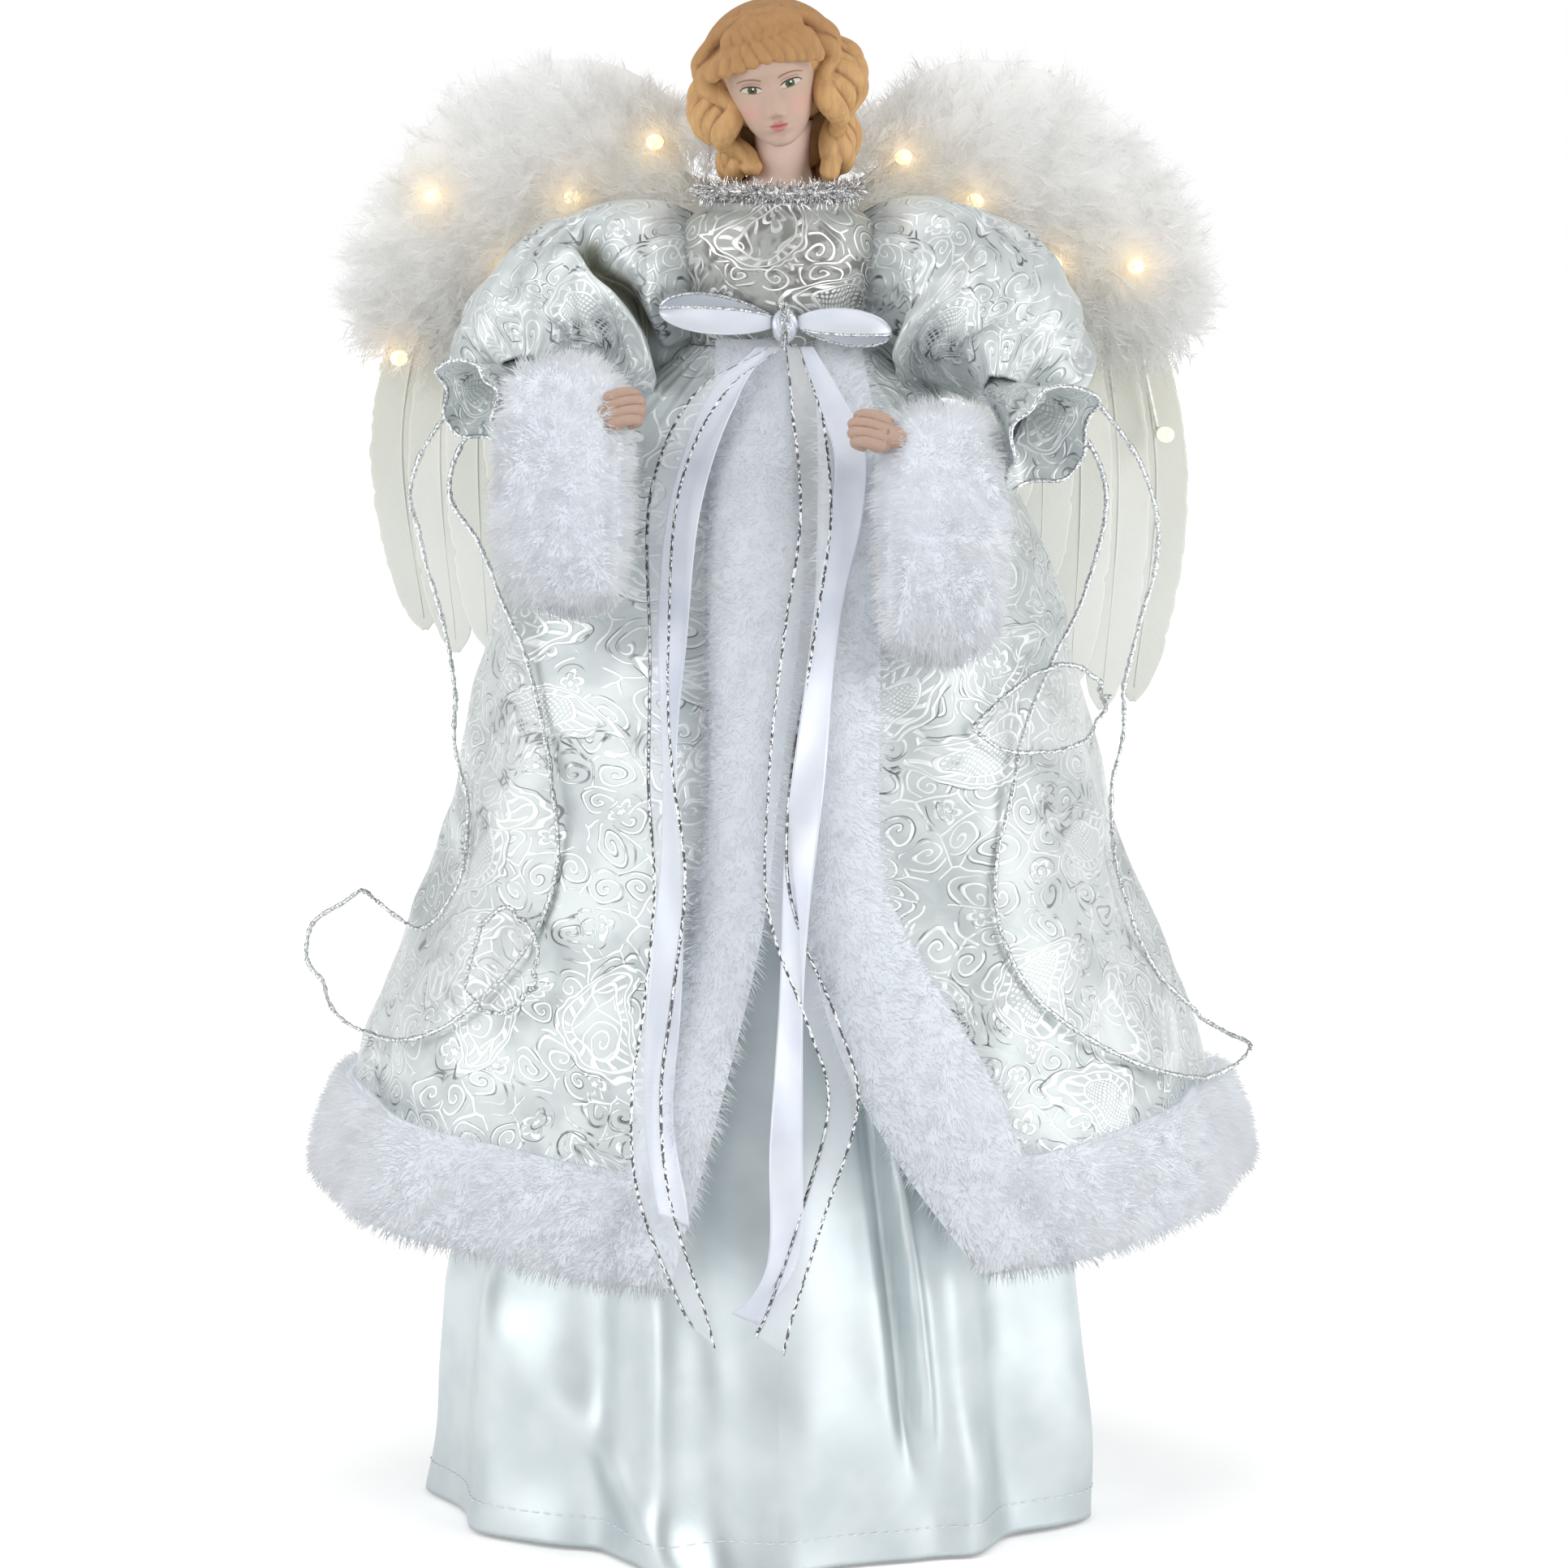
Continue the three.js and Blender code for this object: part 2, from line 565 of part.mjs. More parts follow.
function sleeveCurve(arm) {
  const [x, y, z] = arm.elbow;
  return spline([
    [SLEEVE_ROOT, SHOULDER_BACK, 0],
    [SLEEVE_ROOT + 9, SHOULDER_BACK, 0],
    [0.5 * (SLEEVE_ROOT + 9 + x), 0.5 * (SHOULDER_BACK + y) + 2, 0.5 * z + 8],
    [x, y, z],
    [x + 1, y - 6, z - 8],
  ].map((p) => armPoint(arm, p)));
}

const sleeveWidth = through([[0, 0.34], [0.1, 0.72], [0.2, 0.88], [0.5, 1], [0.8, 0.8], [1, 0]]);

function sleeveSurface(arm, offset) {
  const curve = sleeveCurve(arm);
  return (u, v) => {
    const along = curve.getTangentAt(v);
    const side = new THREE.Vector3().crossVectors(along, new THREE.Vector3(0, 1, 0)).normalize();
    const front = new THREE.Vector3().crossVectors(along, side);
    const angle = 2 * Math.PI * u;
    const fold = 1 + 0.05 * Math.sin(Math.PI * v) * Math.cos(5 * angle + 1);
    const puff = v < 0.8 ? SLEEVE_RADIUS * sleeveWidth(v) : 0;
    const taper = SLEEVE_END_RADIUS + (SLEEVE_RADIUS * 0.8 - SLEEVE_END_RADIUS) * clamp((1 - v) / 0.2, 0, 1);
    const radius = (v < 0.8 ? puff : taper) * fold + offset;
    const place = curve.getPointAt(v);
    const level = place.z;
    place.addScaledVector(side, radius * Math.cos(angle)).addScaledVector(front, radius * Math.sin(angle));
    const under = clamp((level - place.z) / SLEEVE_RADIUS, 0, 1);
    place.z -= SLEEVE_SAG * Math.sin(Math.PI * v) * under ** 2;
    return place;
  };
}

function makeSleeve(arm, grow = 0) {
  return sheet(sleeveSurface(arm, grow), sleeveSurface(arm, -CLOTH - grow), 16, 8, true);
}

// One ring of the cuff: an upright oval that leans with the robe under it.
function cuffPoint(arm, u, t, inset) {
  const outer = vector(armPoint(arm, arm.cuffOuter));
  const inner = vector(armPoint(arm, arm.cuffInner));
  const axis = inner.clone().sub(outer);
  const up = new THREE.Vector3(0, Math.sin(CUFF_LEAN), Math.cos(CUFF_LEAN));
  const depth = new THREE.Vector3().crossVectors(axis, up).normalize();
  const angle = 2 * Math.PI * u;
  const round = 1 - 0.14 * Math.abs(2 * clamp(t, 0, 1) - 1) ** 3;
  const height = CUFF_HALF_HEIGHT * round - inset;
  const width = CUFF_HALF_DEPTH * round - inset;
  const place = outer.addScaledVector(axis, t);
  return place.addScaledVector(up, height * Math.cos(angle)).addScaledVector(depth, width * Math.sin(angle));
}

function armWire(arm) {
  const sleeve = sleeveCurve(arm);
  const points = [[arm.side * 6, SHOULDER_BACK, SHOULDER_HEIGHT], [arm.side * 16, SHOULDER_BACK, SHOULDER_HEIGHT]];
  for (const t of [0, 0.2, 0.55, 0.85]) points.push(sleeve.getPointAt(t).toArray());
  const entry = cuffPoint(arm, 0, 0.06, CUFF_HALF_HEIGHT * 0.42);
  const end = sleeve.getPointAt(1);
  points.push(end.clone().lerp(entry, 0.35).add(new THREE.Vector3(arm.side * 2, 0, 0)).toArray());
  points.push(entry.toArray());
  const hand = vector(armPoint(arm, arm.hand));
  points.push(entry.clone().lerp(hand, 0.55).toArray());
  points.push(hand.toArray());
  return spline(points);
}

function armWireRod(arm, grow = 0) {
  return rod(armWire(arm), ARM_WIRE_RADIUS + grow, 5, 28);
}

function makeCuff(arm, grow = 0) {
  const shape = loft((u, v) => cuffPoint(arm, u, v, -grow), 16, 5);
  const mouth = loft((u, v) => cuffPoint(arm, u, 0.28 + 0.9 * v, CUFF_WALL), 12, 2);
  const bore = armWireRod(arm, SEAT_GAP);
  const room = ball(13, 7.5, 6.5, armPoint(arm, [arm.hand[0] - 1, arm.hand[1], arm.hand[2]]), 10, 6);
  return grow > 0 ? shape : cut(shape, mouth, bore, room);
}

function makeFlounce(arm) {
  const [x, y, z] = arm.elbow;
  const root = vector(armPoint(arm, [x + 2.5, y - 4, z - 5]));
  const along = new THREE.Vector3(0.78 * arm.side, -0.1, -0.5).normalize();
  const up = new THREE.Vector3(0, 0, 1).addScaledVector(along, -along.z).normalize();
  const side = new THREE.Vector3().crossVectors(along, up);
  const surface = (offset) => (u, v) => {
    const angle = 4.4 * (u - 0.5) - 0.5 * arm.side;
    const wave = v * v * (1.6 * Math.cos(4 * angle) + 0.8 * Math.cos(5 * angle + 1));
    const radius = SLEEVE_END_RADIUS + 1.5 + 8 * v ** 1.3 + wave + offset;
    const place = root.clone().addScaledVector(along, 16 * v);
    return place.addScaledVector(up, radius * Math.cos(angle)).addScaledVector(side, radius * Math.sin(angle));
  };
  const flare = sheet(surface(CLOTH), surface(0), 20, 3);
  const inside = loft((u, v) => sleeveSurface(arm, SEAT_GAP)(u, v), 16, 8);
  return cut(flare, inside, makeCuff(arm, SEAT_GAP));
}

function makeHand(arm) {
  const finger = (sideways, reach) => rod(spline([
    [4, sideways, 1.5], [8.5, sideways * 1.05, 1.6], [reach, sideways, -0.8], [reach - 1.6, sideways * 0.95, -3.6],
    [reach - 4.2, sideways * 0.9, -4],
  ]), 1.55, 4, 4);
  const thumb = rod(spline([[2, -3.6, -0.5], [5.5, -5.2, -1.6], [8.5, -4.4, -3]]), 1.5, 4, 2);
  const palm = ball(5.2, 5, 3.4, [4.6, 0, 0], 8, 5);
  const wrist = rod(spline([[-5, 0, 0], [0, 0, 0], [3, 0, 0]]), WRIST_RADIUS, 8, 1);
  const fingers = [[-3.6, 10.6], [-1.2, 11.8], [1.2, 11.5], [3.5, 10.4]].map(([side, reach]) => finger(side, reach));
  const shape = join(palm, wrist, thumb, ...fingers);
  const turn = new THREE.Euler(arm.side * 0.35, 0.12 * arm.side, arm.side > 0 ? Math.PI + 0.3 : -0.3);
  shape.applyMatrix4(new THREE.Matrix4().makeRotationFromEuler(turn));
  const place = armPoint(arm, arm.hand);
  shape.translate(...place);
  const wire = armWire(arm);
  const bore = new THREE.LineCurve3(wire.getPointAt(0.9), wire.getPointAt(1));
  return cut(shape, rod(bore, ARM_WIRE_RADIUS + 2 * SEAT_GAP, 6, 1));
}

function addArm(name) {
  const arm = ARMS[name];
  add(`arm_wire_${name}`, armWireRod(arm), "wire");
  add(`sleeve_${name}`, makeSleeve(arm), "brocade");
  add(`sleeve_flounce_${name}`, makeFlounce(arm), "brocade");
  add(`fur_cuff_${name}`, makeCuff(arm), "fur");
  add(`hand_${name}`, makeHand(arm), "bisque");
}

// Bow and its tails.
const BOW_FRONT = WAIST_HALF_DEPTH + BODICE_OFFSET + 2;
const KNOT_HALF = [4, 3, 4.6];
const KNOT_ASIDE = 1.5;

function makeKnot() {
  return ball(...KNOT_HALF, [KNOT_ASIDE, -BOW_FRONT - KNOT_HALF[1], BOW_HEIGHT], 10, 6);
}

function makeBowLoop(side, length) {
  const surface = (inset) => (u, v) => {
    const angle = 2 * Math.PI * u;
    const out = 0.5 * (1 - Math.cos(angle));
    const x = KNOT_ASIDE + side * (KNOT_HALF[0] + SEAT_GAP + inset + (length - 2 * inset) * out);
    const y = -BOW_FRONT - KNOT_HALF[1] - (4 - inset) * Math.sin(angle) * (0.55 + 0.45 * out);
    const half = 2.4 + 3 * Math.sin(0.5 * Math.PI * out);
    return new THREE.Vector3(x, y, BOW_HEIGHT + 1 - 1.5 * out + half * (2 * v - 1));
  };
  return sheet(surface(0), surface(RIBBON_THICKNESS), 20, 2, true);
}

// A ribbon down the front: its middle in [x, drop below the waist] and how far it stands off the robe.
function frontPlace(x, height, stand) {
  const v = Math.min(robeReach(0, height), FUR_FOOT);
  const place = robePoint(robeAngle(x, v), v, stand);
  return [x, place.y, height];
}

function makeTail(start, trace, stand) {
  const points = trace.map(([x, drop]) => frontPlace(x, WAIST_HEIGHT - drop, stand));
  const curve = spline([[KNOT_ASIDE + start[0], -BOW_FRONT - start[1], BOW_HEIGHT - start[2]], ...points]);
  const surface = (offset) => (u, v) => {
    const place = curve.getPointAt(v);
    const angle = clamp(place.x / 90, -0.6, 0.6);
    const across = new THREE.Vector3(Math.cos(angle), Math.sin(angle), 0);
    const out = new THREE.Vector3(Math.sin(angle), -Math.cos(angle), 0);
    const width = RIBBON_WIDTH * clamp(0.45 + 5 * v, 0, 1);
    return place.addScaledVector(across, width * (u - 0.5)).addScaledVector(out, offset);
  };
  return sheet(surface(RIBBON_THICKNESS), surface(0), 1, 24);
}

const TAIL_STAND = FUR_GAP + FUR_DEPTH + 2 * LAYER_GAP;
const TAIL_LAYER = RIBBON_THICKNESS + 2 * LAYER_GAP;
const TAILS = {
  tail_sheer_right: {
    finish: "organza",
    layer: 2,
    start: [-2, 3.8, 5.2],
    trace: [[-18, 11], [-29, 34], [-30.5, 75], [-30, 107], [-28, 132], [-31, 162], [-34, 186],
      [-32, 210], [-18.7, 246]],
  },
  tail_satin_right: {
    finish: "satin",
    layer: 0,
    start: [-5.7, 2.4, 5.4],
    trace: [[-13, 12], [-19, 42], [-20, 95], [-20, 135], [-23, 166], [-26, 192], [-24, 218]],
  },
  tail_sheer_left: {
    finish: "organza",
    layer: 1,
    start: [1.9, 3.8, 5.2],
    trace: [[7.6, 18], [9.5, 42], [5.2, 71], [0, 105], [-1, 132], [2.1, 146], [11.4, 168],
      [16.6, 186], [8.3, 217], [-2.1, 248]],
  },
  tail_satin_left: {
    finish: "satin",
    layer: 0,
    start: [5.7, 2.4, 5.4],
    trace: [[12, 14], [14.5, 44], [8.4, 75], [6.2, 115], [4, 154], [2.1, 196], [0, 229], [-9, 242]],
  },
};

// Organza streamers down the robe's sides: two edges, each [angle in degrees, drop below the waist, stand-off].
const STREAMERS = {
  left: [
    [[84, 34, 38], [92, 56, 30], [92, 78, 18], [88, 100, 8], [80, 122, 3], [72, 144, 1.5], [74, 162, 1.5],
      [86, 172, 5], [98, 174, 9]],
    [[68, 35, 32], [66, 56, 20], [58, 78, 9], [48, 100, 3], [40, 122, 1.5], [36, 146, 1.5], [40, 168, 1.5],
      [58, 186, 3], [76, 192, 5]],
  ],
  right: [
    [[-80, 36, 38], [-88, 50, 28], [-84, 78, 12], [-76, 102, 5], [-66, 124, 1.5], [-62, 142, 1.5], [-72, 154, 4],
      [-88, 150, 14], [-100, 146, 22]],
    [[-68, 37, 32], [-64, 52, 18], [-54, 76, 6], [-46, 102, 1.5], [-40, 124, 1.5], [-42, 154, 1.5], [-54, 176, 3],
      [-74, 184, 8], [-92, 174, 18]],
  ],
};

function makeStreamer(name) {
  const edges = STREAMERS[name].map(spline);
  const surface = (offset) => (u, v) => {
    const [degrees, drop, stand] = edges[0].getPoint(v).lerp(edges[1].getPoint(v), u).toArray();
    const angle = THREE.MathUtils.degToRad(degrees);
    const reach = robeReach(angle, WAIST_HEIGHT - drop);
    return robePoint(angle, reach, stand + offset + 2 * Math.sin(Math.PI * u));
  };
  return sheet(surface(RIBBON_THICKNESS), surface(0), 2, 24);
}

// Wing mount: a folded card on the bodice's back; each wing's wire leg stands behind it.
function makeMountCard() {
  const half = WING_HINGE_ASIDE + 6;
  const geometry = new THREE.BoxGeometry(2 * half, MOUNT_CARD_THICKNESS, MOUNT_CARD_HEIGHT);
  geometry.translate(0, MOUNT_CARD_FRONT + MOUNT_CARD_THICKNESS / 2, SHOULDER_HEIGHT - 5);
  return geometry;
}

// Wing pieces are drawn in the wing's own frame, from [across, up] in shares of the span, and mirrored
// for the other side.
function spanCurve(places, back = 0) {
  return spline(places.map(([across, up]) => [across * WING_SPAN, back, up * WING_SPAN]));
}

function mirrored(geometry, side) {
  if (side > 0) return geometry;
  return fromSolid(toSolid(geometry).mirror([1, 0, 0]));
}

function makePanel() {
  const corner = ([across, up]) => new THREE.Vector2(across * WING_SPAN, up * WING_SPAN);
  const upper = [[0.2, 0.25], [0.45, 0.32], [0.7, 0.21], [0.86, 0.01], [0.88, -0.17]];
  const lower = [[0.74, -0.21], [0.5, -0.15], [0.25, -0.17], [0.03, -0.15]];
  const outline = new THREE.Shape([corner([0.03, -0.15]), corner([0.03, 0.09])]);
  outline.splineThru(upper.map(corner));
  outline.splineThru(lower.map(corner));
  const options = { depth: PANEL_THICKNESS, bevelEnabled: false, curveSegments: 5 };
  const geometry = new THREE.ExtrudeGeometry(outline, options);
  geometry.rotateX(Math.PI / 2);
  geometry.translate(0, PANEL_THICKNESS, 0);
  return geometry;
}

function makeWingFrame() {
  const back = PANEL_THICKNESS + SEAT_GAP + WING_WIRE_RADIUS;
  const leg = [-16, -4, 7, 10].map((up) => [0, 0, up]);
  const bow = [[0.09, 0.17], [0.25, 0.24], [0.46, 0.27], [0.68, 0.18], [0.82, 0.01], [0.84, -0.15]];
  const path = spline([...leg, ...bow.map(([across, up]) => [across * WING_SPAN, back, up * WING_SPAN])]);
  return rod(path, WING_WIRE_RADIUS, 6, 22);
}

const FEATHER_TIPS = [-1.25, -1.27, -1.21, -0.95, -0.75];

function featherCurve(index, lift) {
  const root = [0.86 - 0.1 * index, 0.15 - 0.14 * (1 - index / (FEATHER_COUNT - 1)) ** 2];
  const tip = [0.9 - 0.092 * index, FEATHER_TIPS[index] + lift * (1 - 0.2 * index)];
  const middle = [0.45 * root[0] + 0.55 * tip[0] + 0.08 - 0.016 * index, 0.5 * (root[1] + tip[1])];
  return spanCurve([root, middle, tip]);
}

const featherWidth = through([[0, 0.25], [0.2, 0.75], [0.55, 1], [0.85, 0.8], [0.96, 0.42], [1, 0.12]]);

function makeFeather(index, lift) {
  const curve = featherCurve(index, lift);
  const layer = -SEAT_GAP - index * FEATHER_PITCH;
  const surface = (depth) => (u, v) => {
    const along = curve.getTangentAt(v);
    const across = new THREE.Vector3(-along.z, 0, along.x);
    const place = curve.getPointAt(v);
    place.addScaledVector(across, FEATHER_HALF_WIDTH * featherWidth(v) * (2 * u - 1));
    place.y = layer - depth;
    return place;
  };
  return sheet(surface(FEATHER_THICKNESS), surface(0), 2, 9);
}

function lampPlaces(wing) {
  return wing.lamps.map(([across, up]) => [across * WING_SPAN, up * WING_SPAN]);
}

function makeLamp(place, grow = 0) {
  const base = -LIGHT_WIRE_FRONT - LIGHT_WIRE_RADIUS - SEAT_GAP + grow;
  const radius = LAMP_RADIUS + grow;
  const profile = [
    [0, 0], [0.8 * radius, 0], [0.8 * radius, 0.36 * LAMP_LENGTH], [radius, 0.42 * LAMP_LENGTH],
    [radius, 0.75 * LAMP_LENGTH], [0.7 * radius, 0.92 * LAMP_LENGTH], [0, LAMP_LENGTH + 2 * grow],
  ];
  const geometry = new THREE.LatheGeometry(profile.map(([r, y]) => new THREE.Vector2(r, y)), 8);
  geometry.rotateX(Math.PI);
  geometry.translate(place[0], base, place[1]);
  return geometry;
}

function makeLightWire(wing) {
  const stops = lampPlaces(wing).map(([x, z]) => [x, -LIGHT_WIRE_FRONT, z]);
  const start = [stops[0][0] - 6, -LIGHT_WIRE_FRONT, stops[0][2] - 16];
  const path = [start];
  stops.forEach((stop, i) => {
    path.push(stop);
    const next = stops[i + 1];
    if (next) path.push([0.5 * (stop[0] + next[0]), stop[1], 0.5 * (stop[2] + next[2]) - 3]);
  });
  return rod(spline(path), LIGHT_WIRE_RADIUS, 5, 28);
}

const marabouHalf = through([[0, 0.2], [0.25, 0.25], [0.5, 0.25], [0.75, 0.21], [0.9, 0.16], [1, 0.09]]);

function makeMarabou(wing) {
  const curve = spanCurve([[0.22, 0.22], [0.42, 0.29], [0.66, 0.2], [0.84, 0], [0.95, -0.21]]);
  const surface = (outer) => (u, v) => {
    const along = curve.getTangentAt(v);
    const across = new THREE.Vector3(-along.z, 0, along.x);
    const tuft = 1 + 0.07 * Math.cos(26 * v + 2 * u);
    const half = WING_SPAN * marabouHalf(v) * tuft;
    const place = curve.getPointAt(v).addScaledVector(across, half * (2 * u - 1));
    const ends = clamp(6 * Math.min(v, 1 - v), 0, 1);
    const thick = FUR_EDGE + (MARABOU_DEPTH - FUR_EDGE) * crown(u) * ends;
    place.y = outer ? -MARABOU_BACK - thick : -MARABOU_BACK;
    return place;
  };
  const pad = sheet(surface(true), surface(false), 4, 14);
  return cut(pad, ...lampPlaces(wing).map((place) => makeLamp(place, SEAT_GAP)));
}

function addWing(name) {
  const wing = WINGS[name];
  const group = new THREE.Group();
  group.name = `wing_${name}`;
  group.position.set(wing.side * WING_HINGE_ASIDE, WING_HINGE_BACK, SHOULDER_HEIGHT);
  group.rotation.z = wing.side * WING_SWEEP;
  model.add(group);
  const place = (piece, geometry, finish) => add(`${piece}_${name}`, mirrored(geometry, wing.side), finish, group);
  place("wing_frame", makeWingFrame(), "wire");
  place("wing_panel", makePanel(), "card");
  for (let i = 0; i < FEATHER_COUNT; i += 1) place(`flight_feather_${i + 1}`, makeFeather(i, wing.lift), "feather");
  place("marabou", makeMarabou(wing), "feather");
  place("light_wire", makeLightWire(wing), "cable");
  lampPlaces(wing).forEach((stop, i) => place(`lamp_${i + 1}`, makeLamp(stop), "glass"));
}

add("support_cone", makeCone(), "card");
add("torso_form", makeTorso(), "foam");
add("neck_dowel", makeDowel(), "wood");
add("bisque_head", makeHead(), "bisque");
add("underskirt", makeUnderskirt(), "satin");
add("bodice", makeBodice(), "brocade");
add("robe_skirt", makeRobe(), "brocade");
add("fur_front_left", makeFurFront("left"), "fur");
add("fur_front_right", makeFurFront("right"), "fur");
add("fur_hem", makeFurHem(), "fur");
add("neck_tinsel", makeTinsel(), "silver");
add("bow_knot", makeKnot(), "satin");
add("bow_loop_left", makeBowLoop(1, BOW_LOOP_LENGTH.left), "satin");
add("bow_loop_right", makeBowLoop(-1, BOW_LOOP_LENGTH.right), "satin");
for (const [name, { finish, layer, start, trace }] of Object.entries(TAILS)) {
  add(name, makeTail(start, trace, TAIL_STAND + layer * TAIL_LAYER), finish);
}
add("streamer_left", makeStreamer("left"), "organza");
add("streamer_right", makeStreamer("right"), "organza");
add("wing_mount_card", makeMountCard(), "card");
addArm("left");
addArm("right");
addWing("left");
addWing("right");

export default model;
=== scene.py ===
"""Looks of an angel tree topper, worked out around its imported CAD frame.

Sizes are millimetres, as in the part's source, and become metres when a mesh is made. The angel looks
along -Y, +Z is up, and left and right are the angel's own, so left is +X.
"""

import logging
import math
from collections.abc import Callable, Sequence
from dataclasses import dataclass, field
from enum import Enum

import bpy
import numpy as np
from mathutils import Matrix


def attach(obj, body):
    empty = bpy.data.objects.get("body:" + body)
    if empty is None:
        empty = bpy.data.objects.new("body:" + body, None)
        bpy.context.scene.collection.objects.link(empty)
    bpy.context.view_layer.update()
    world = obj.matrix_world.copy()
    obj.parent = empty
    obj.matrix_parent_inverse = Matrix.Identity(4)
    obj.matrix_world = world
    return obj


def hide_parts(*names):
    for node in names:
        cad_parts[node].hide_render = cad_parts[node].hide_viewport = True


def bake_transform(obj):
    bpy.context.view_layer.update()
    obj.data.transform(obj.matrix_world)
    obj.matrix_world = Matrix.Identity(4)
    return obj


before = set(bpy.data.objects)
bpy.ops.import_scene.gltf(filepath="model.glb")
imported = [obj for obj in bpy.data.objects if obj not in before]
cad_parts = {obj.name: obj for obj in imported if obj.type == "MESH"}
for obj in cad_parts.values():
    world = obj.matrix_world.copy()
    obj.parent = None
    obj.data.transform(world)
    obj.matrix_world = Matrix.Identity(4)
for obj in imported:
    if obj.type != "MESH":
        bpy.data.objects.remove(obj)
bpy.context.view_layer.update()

LOG = logging.getLogger("angel")
MM = 0.001
TURN = 2 * math.pi
UV_UNIT = 10.0

Array = np.ndarray
Curve = Callable[[Array], Array]
Surface = Callable[[Array, Array], Array]
Rgb = tuple[int, int, int]
Vec = tuple[float, float, float]
Edges = tuple[tuple[Vec, ...], ...]
Socket = bpy.types.NodeSocket
Material = bpy.types.Material


class Side(Enum):
    """The angel's own side, as the sign of x."""

    LEFT = 1
    RIGHT = -1

    @property
    def word(self) -> str:
        """The side as it stands in node names."""
        return self.name.lower()


def srgb(colour: Rgb) -> tuple[float, float, float, float]:
    """A colour written as 0 to 255 in sRGB, as the linear colour that nodes take."""
    share = np.array(colour) / 255
    light = np.where(share <= 0.04045, share / 12.92, ((share + 0.055) / 1.055) ** 2.4)
    return (*light.tolist(), 1.0)


def linear(colour: Rgb) -> Array:
    """A colour written as 0 to 255 in sRGB, as three linear numbers."""
    return np.array(srgb(colour)[:3])


def unit(vectors: Array) -> Array:
    """Vectors along the last axis, each made one long."""
    return vectors / np.maximum(np.linalg.norm(vectors, axis=-1, keepdims=True), 1e-9)


def smooth(value: Array, low: float, high: float) -> Array:
    """A soft step from 0 at low to 1 at high."""
    share = np.clip((value - low) / (high - low), 0, 1)
    return share * share * (3 - 2 * share)


def bell(x: Array, z: Array, centre_x: float, centre_z: float, wide: float, high: float) -> Array:
    """A bell curve about a place, 1 at its middle."""
    return np.exp(-(((x - centre_x) / wide) ** 2) - ((z - centre_z) / high) ** 2)


def lattice(rows: int, columns: int, closed: bool = False) -> tuple[Array, Array]:
    """Shares across and along a grid, from 0 to 1. A closed grid leaves out the last column."""
    across = np.arange(columns) / columns if closed else np.linspace(0, 1, columns)
    u, v = np.meshgrid(across, np.linspace(0, 1, rows))
    return u, v


def through(knots: Sequence[tuple[float, float]]) -> Curve:
    """A smooth curve through (place, value) knots, straight beyond its ends.

    Args:
        knots: places in rising order, with the value at each.

    Returns:
        A function from places to values, by cubic Hermite pieces whose slopes are the mean of the
        neighbours' slopes.
    """
    places, values = np.array(knots, float).T
    before = np.concatenate([[0], np.arange(len(places) - 1)])
    after = np.concatenate([np.arange(1, len(places)), [len(places) - 1]])
    slopes = (values[after] - values[before]) / (places[after] - places[before])

    def curve(place: Array) -> Array:
        """The value at each place."""
        place = np.asarray(place, float)
        i = np.clip(np.searchsorted(places, place, side="right") - 1, 0, len(places) - 2)
        span = places[i + 1] - places[i]
        t = np.clip((place - places[i]) / span, 0, 1)
        start = (1 + 2 * t) * (1 - t) ** 2 * values[i] + t * (1 - t) ** 2 * span * slopes[i]
        end = t * t * (3 - 2 * t) * values[i + 1] + t * t * (t - 1) * span * slopes[i + 1]
        low = np.minimum(place - places[0], 0) * slopes[0]
        high = np.maximum(place - places[-1], 0) * slopes[-1]
        return start + end + low + high

    return curve


class Path:
    """A smooth line through points: a centripetal Catmull-Rom spline, also by share of its length."""

    def __init__(self, points: Sequence[Sequence[float]], samples: int = 40) -> None:
        """Works out the spline and its length.

        Args:
            points: the points that the line runs through.
            samples: samples between neighbouring points.
        """
        p = np.array(points, float)
        p = np.concatenate([[2 * p[0] - p[1]], p, [2 * p[-1] - p[-2]]])
        gap = np.maximum(np.linalg.norm(np.diff(p, axis=0), axis=1), 1e-6) ** 0.5
        g0, g1, g2 = (gap[i : len(gap) - 2 + i, None] for i in range(3))
        p0, p1, p2, p3 = (p[i : len(p) - 3 + i] for i in range(4))
        out = g1 * ((p1 - p0) / g0 - (p2 - p0) / (g0 + g1) + (p2 - p1) / g1)
        into = g1 * ((p2 - p1) / g1 - (p3 - p1) / (g1 + g2) + (p3 - p2) / g2)
        self.pieces = (p1, out, -3 * p1 + 3 * p2 - 2 * out - into, 2 * p1 - 2 * p2 + out + into)
        self.shares = np.linspace(0, 1, samples * len(p1) + 1)
        self.line = self.at(self.shares)
        steps = np.linalg.norm(np.diff(self.line, axis=0), axis=1)
        self.lengths = np.concatenate([[0], np.cumsum(steps)])
        self.length = float(self.lengths[-1])

    def at(self, share: Array) -> Array:
        """Points at shares of the run of points, each stretch between points counting alike."""
        share = np.asarray(share, float)
        count = len(self.pieces[0])
        place = np.clip(share * count, 0, count)
        i = np.minimum(place.astype(int), count - 1)
        t = (place - i)[..., None]
        a, b, c, d = (piece[i] for piece in self.pieces)
        return a + t * (b + t * (c + t * d))

    def along(self, share: Array) -> Array:
        """Points at shares of the length."""
        return self.at(np.interp(np.asarray(share) * self.length, self.lengths, self.shares))

    def heading(self, share: Array) -> Array:
        """The unit direction at shares of the length."""
        step = 1e-3
        share = np.asarray(share, float)
        return unit(self.along(np.minimum(share + step, 1)) - self.along(np.maximum(share - step, 0)))


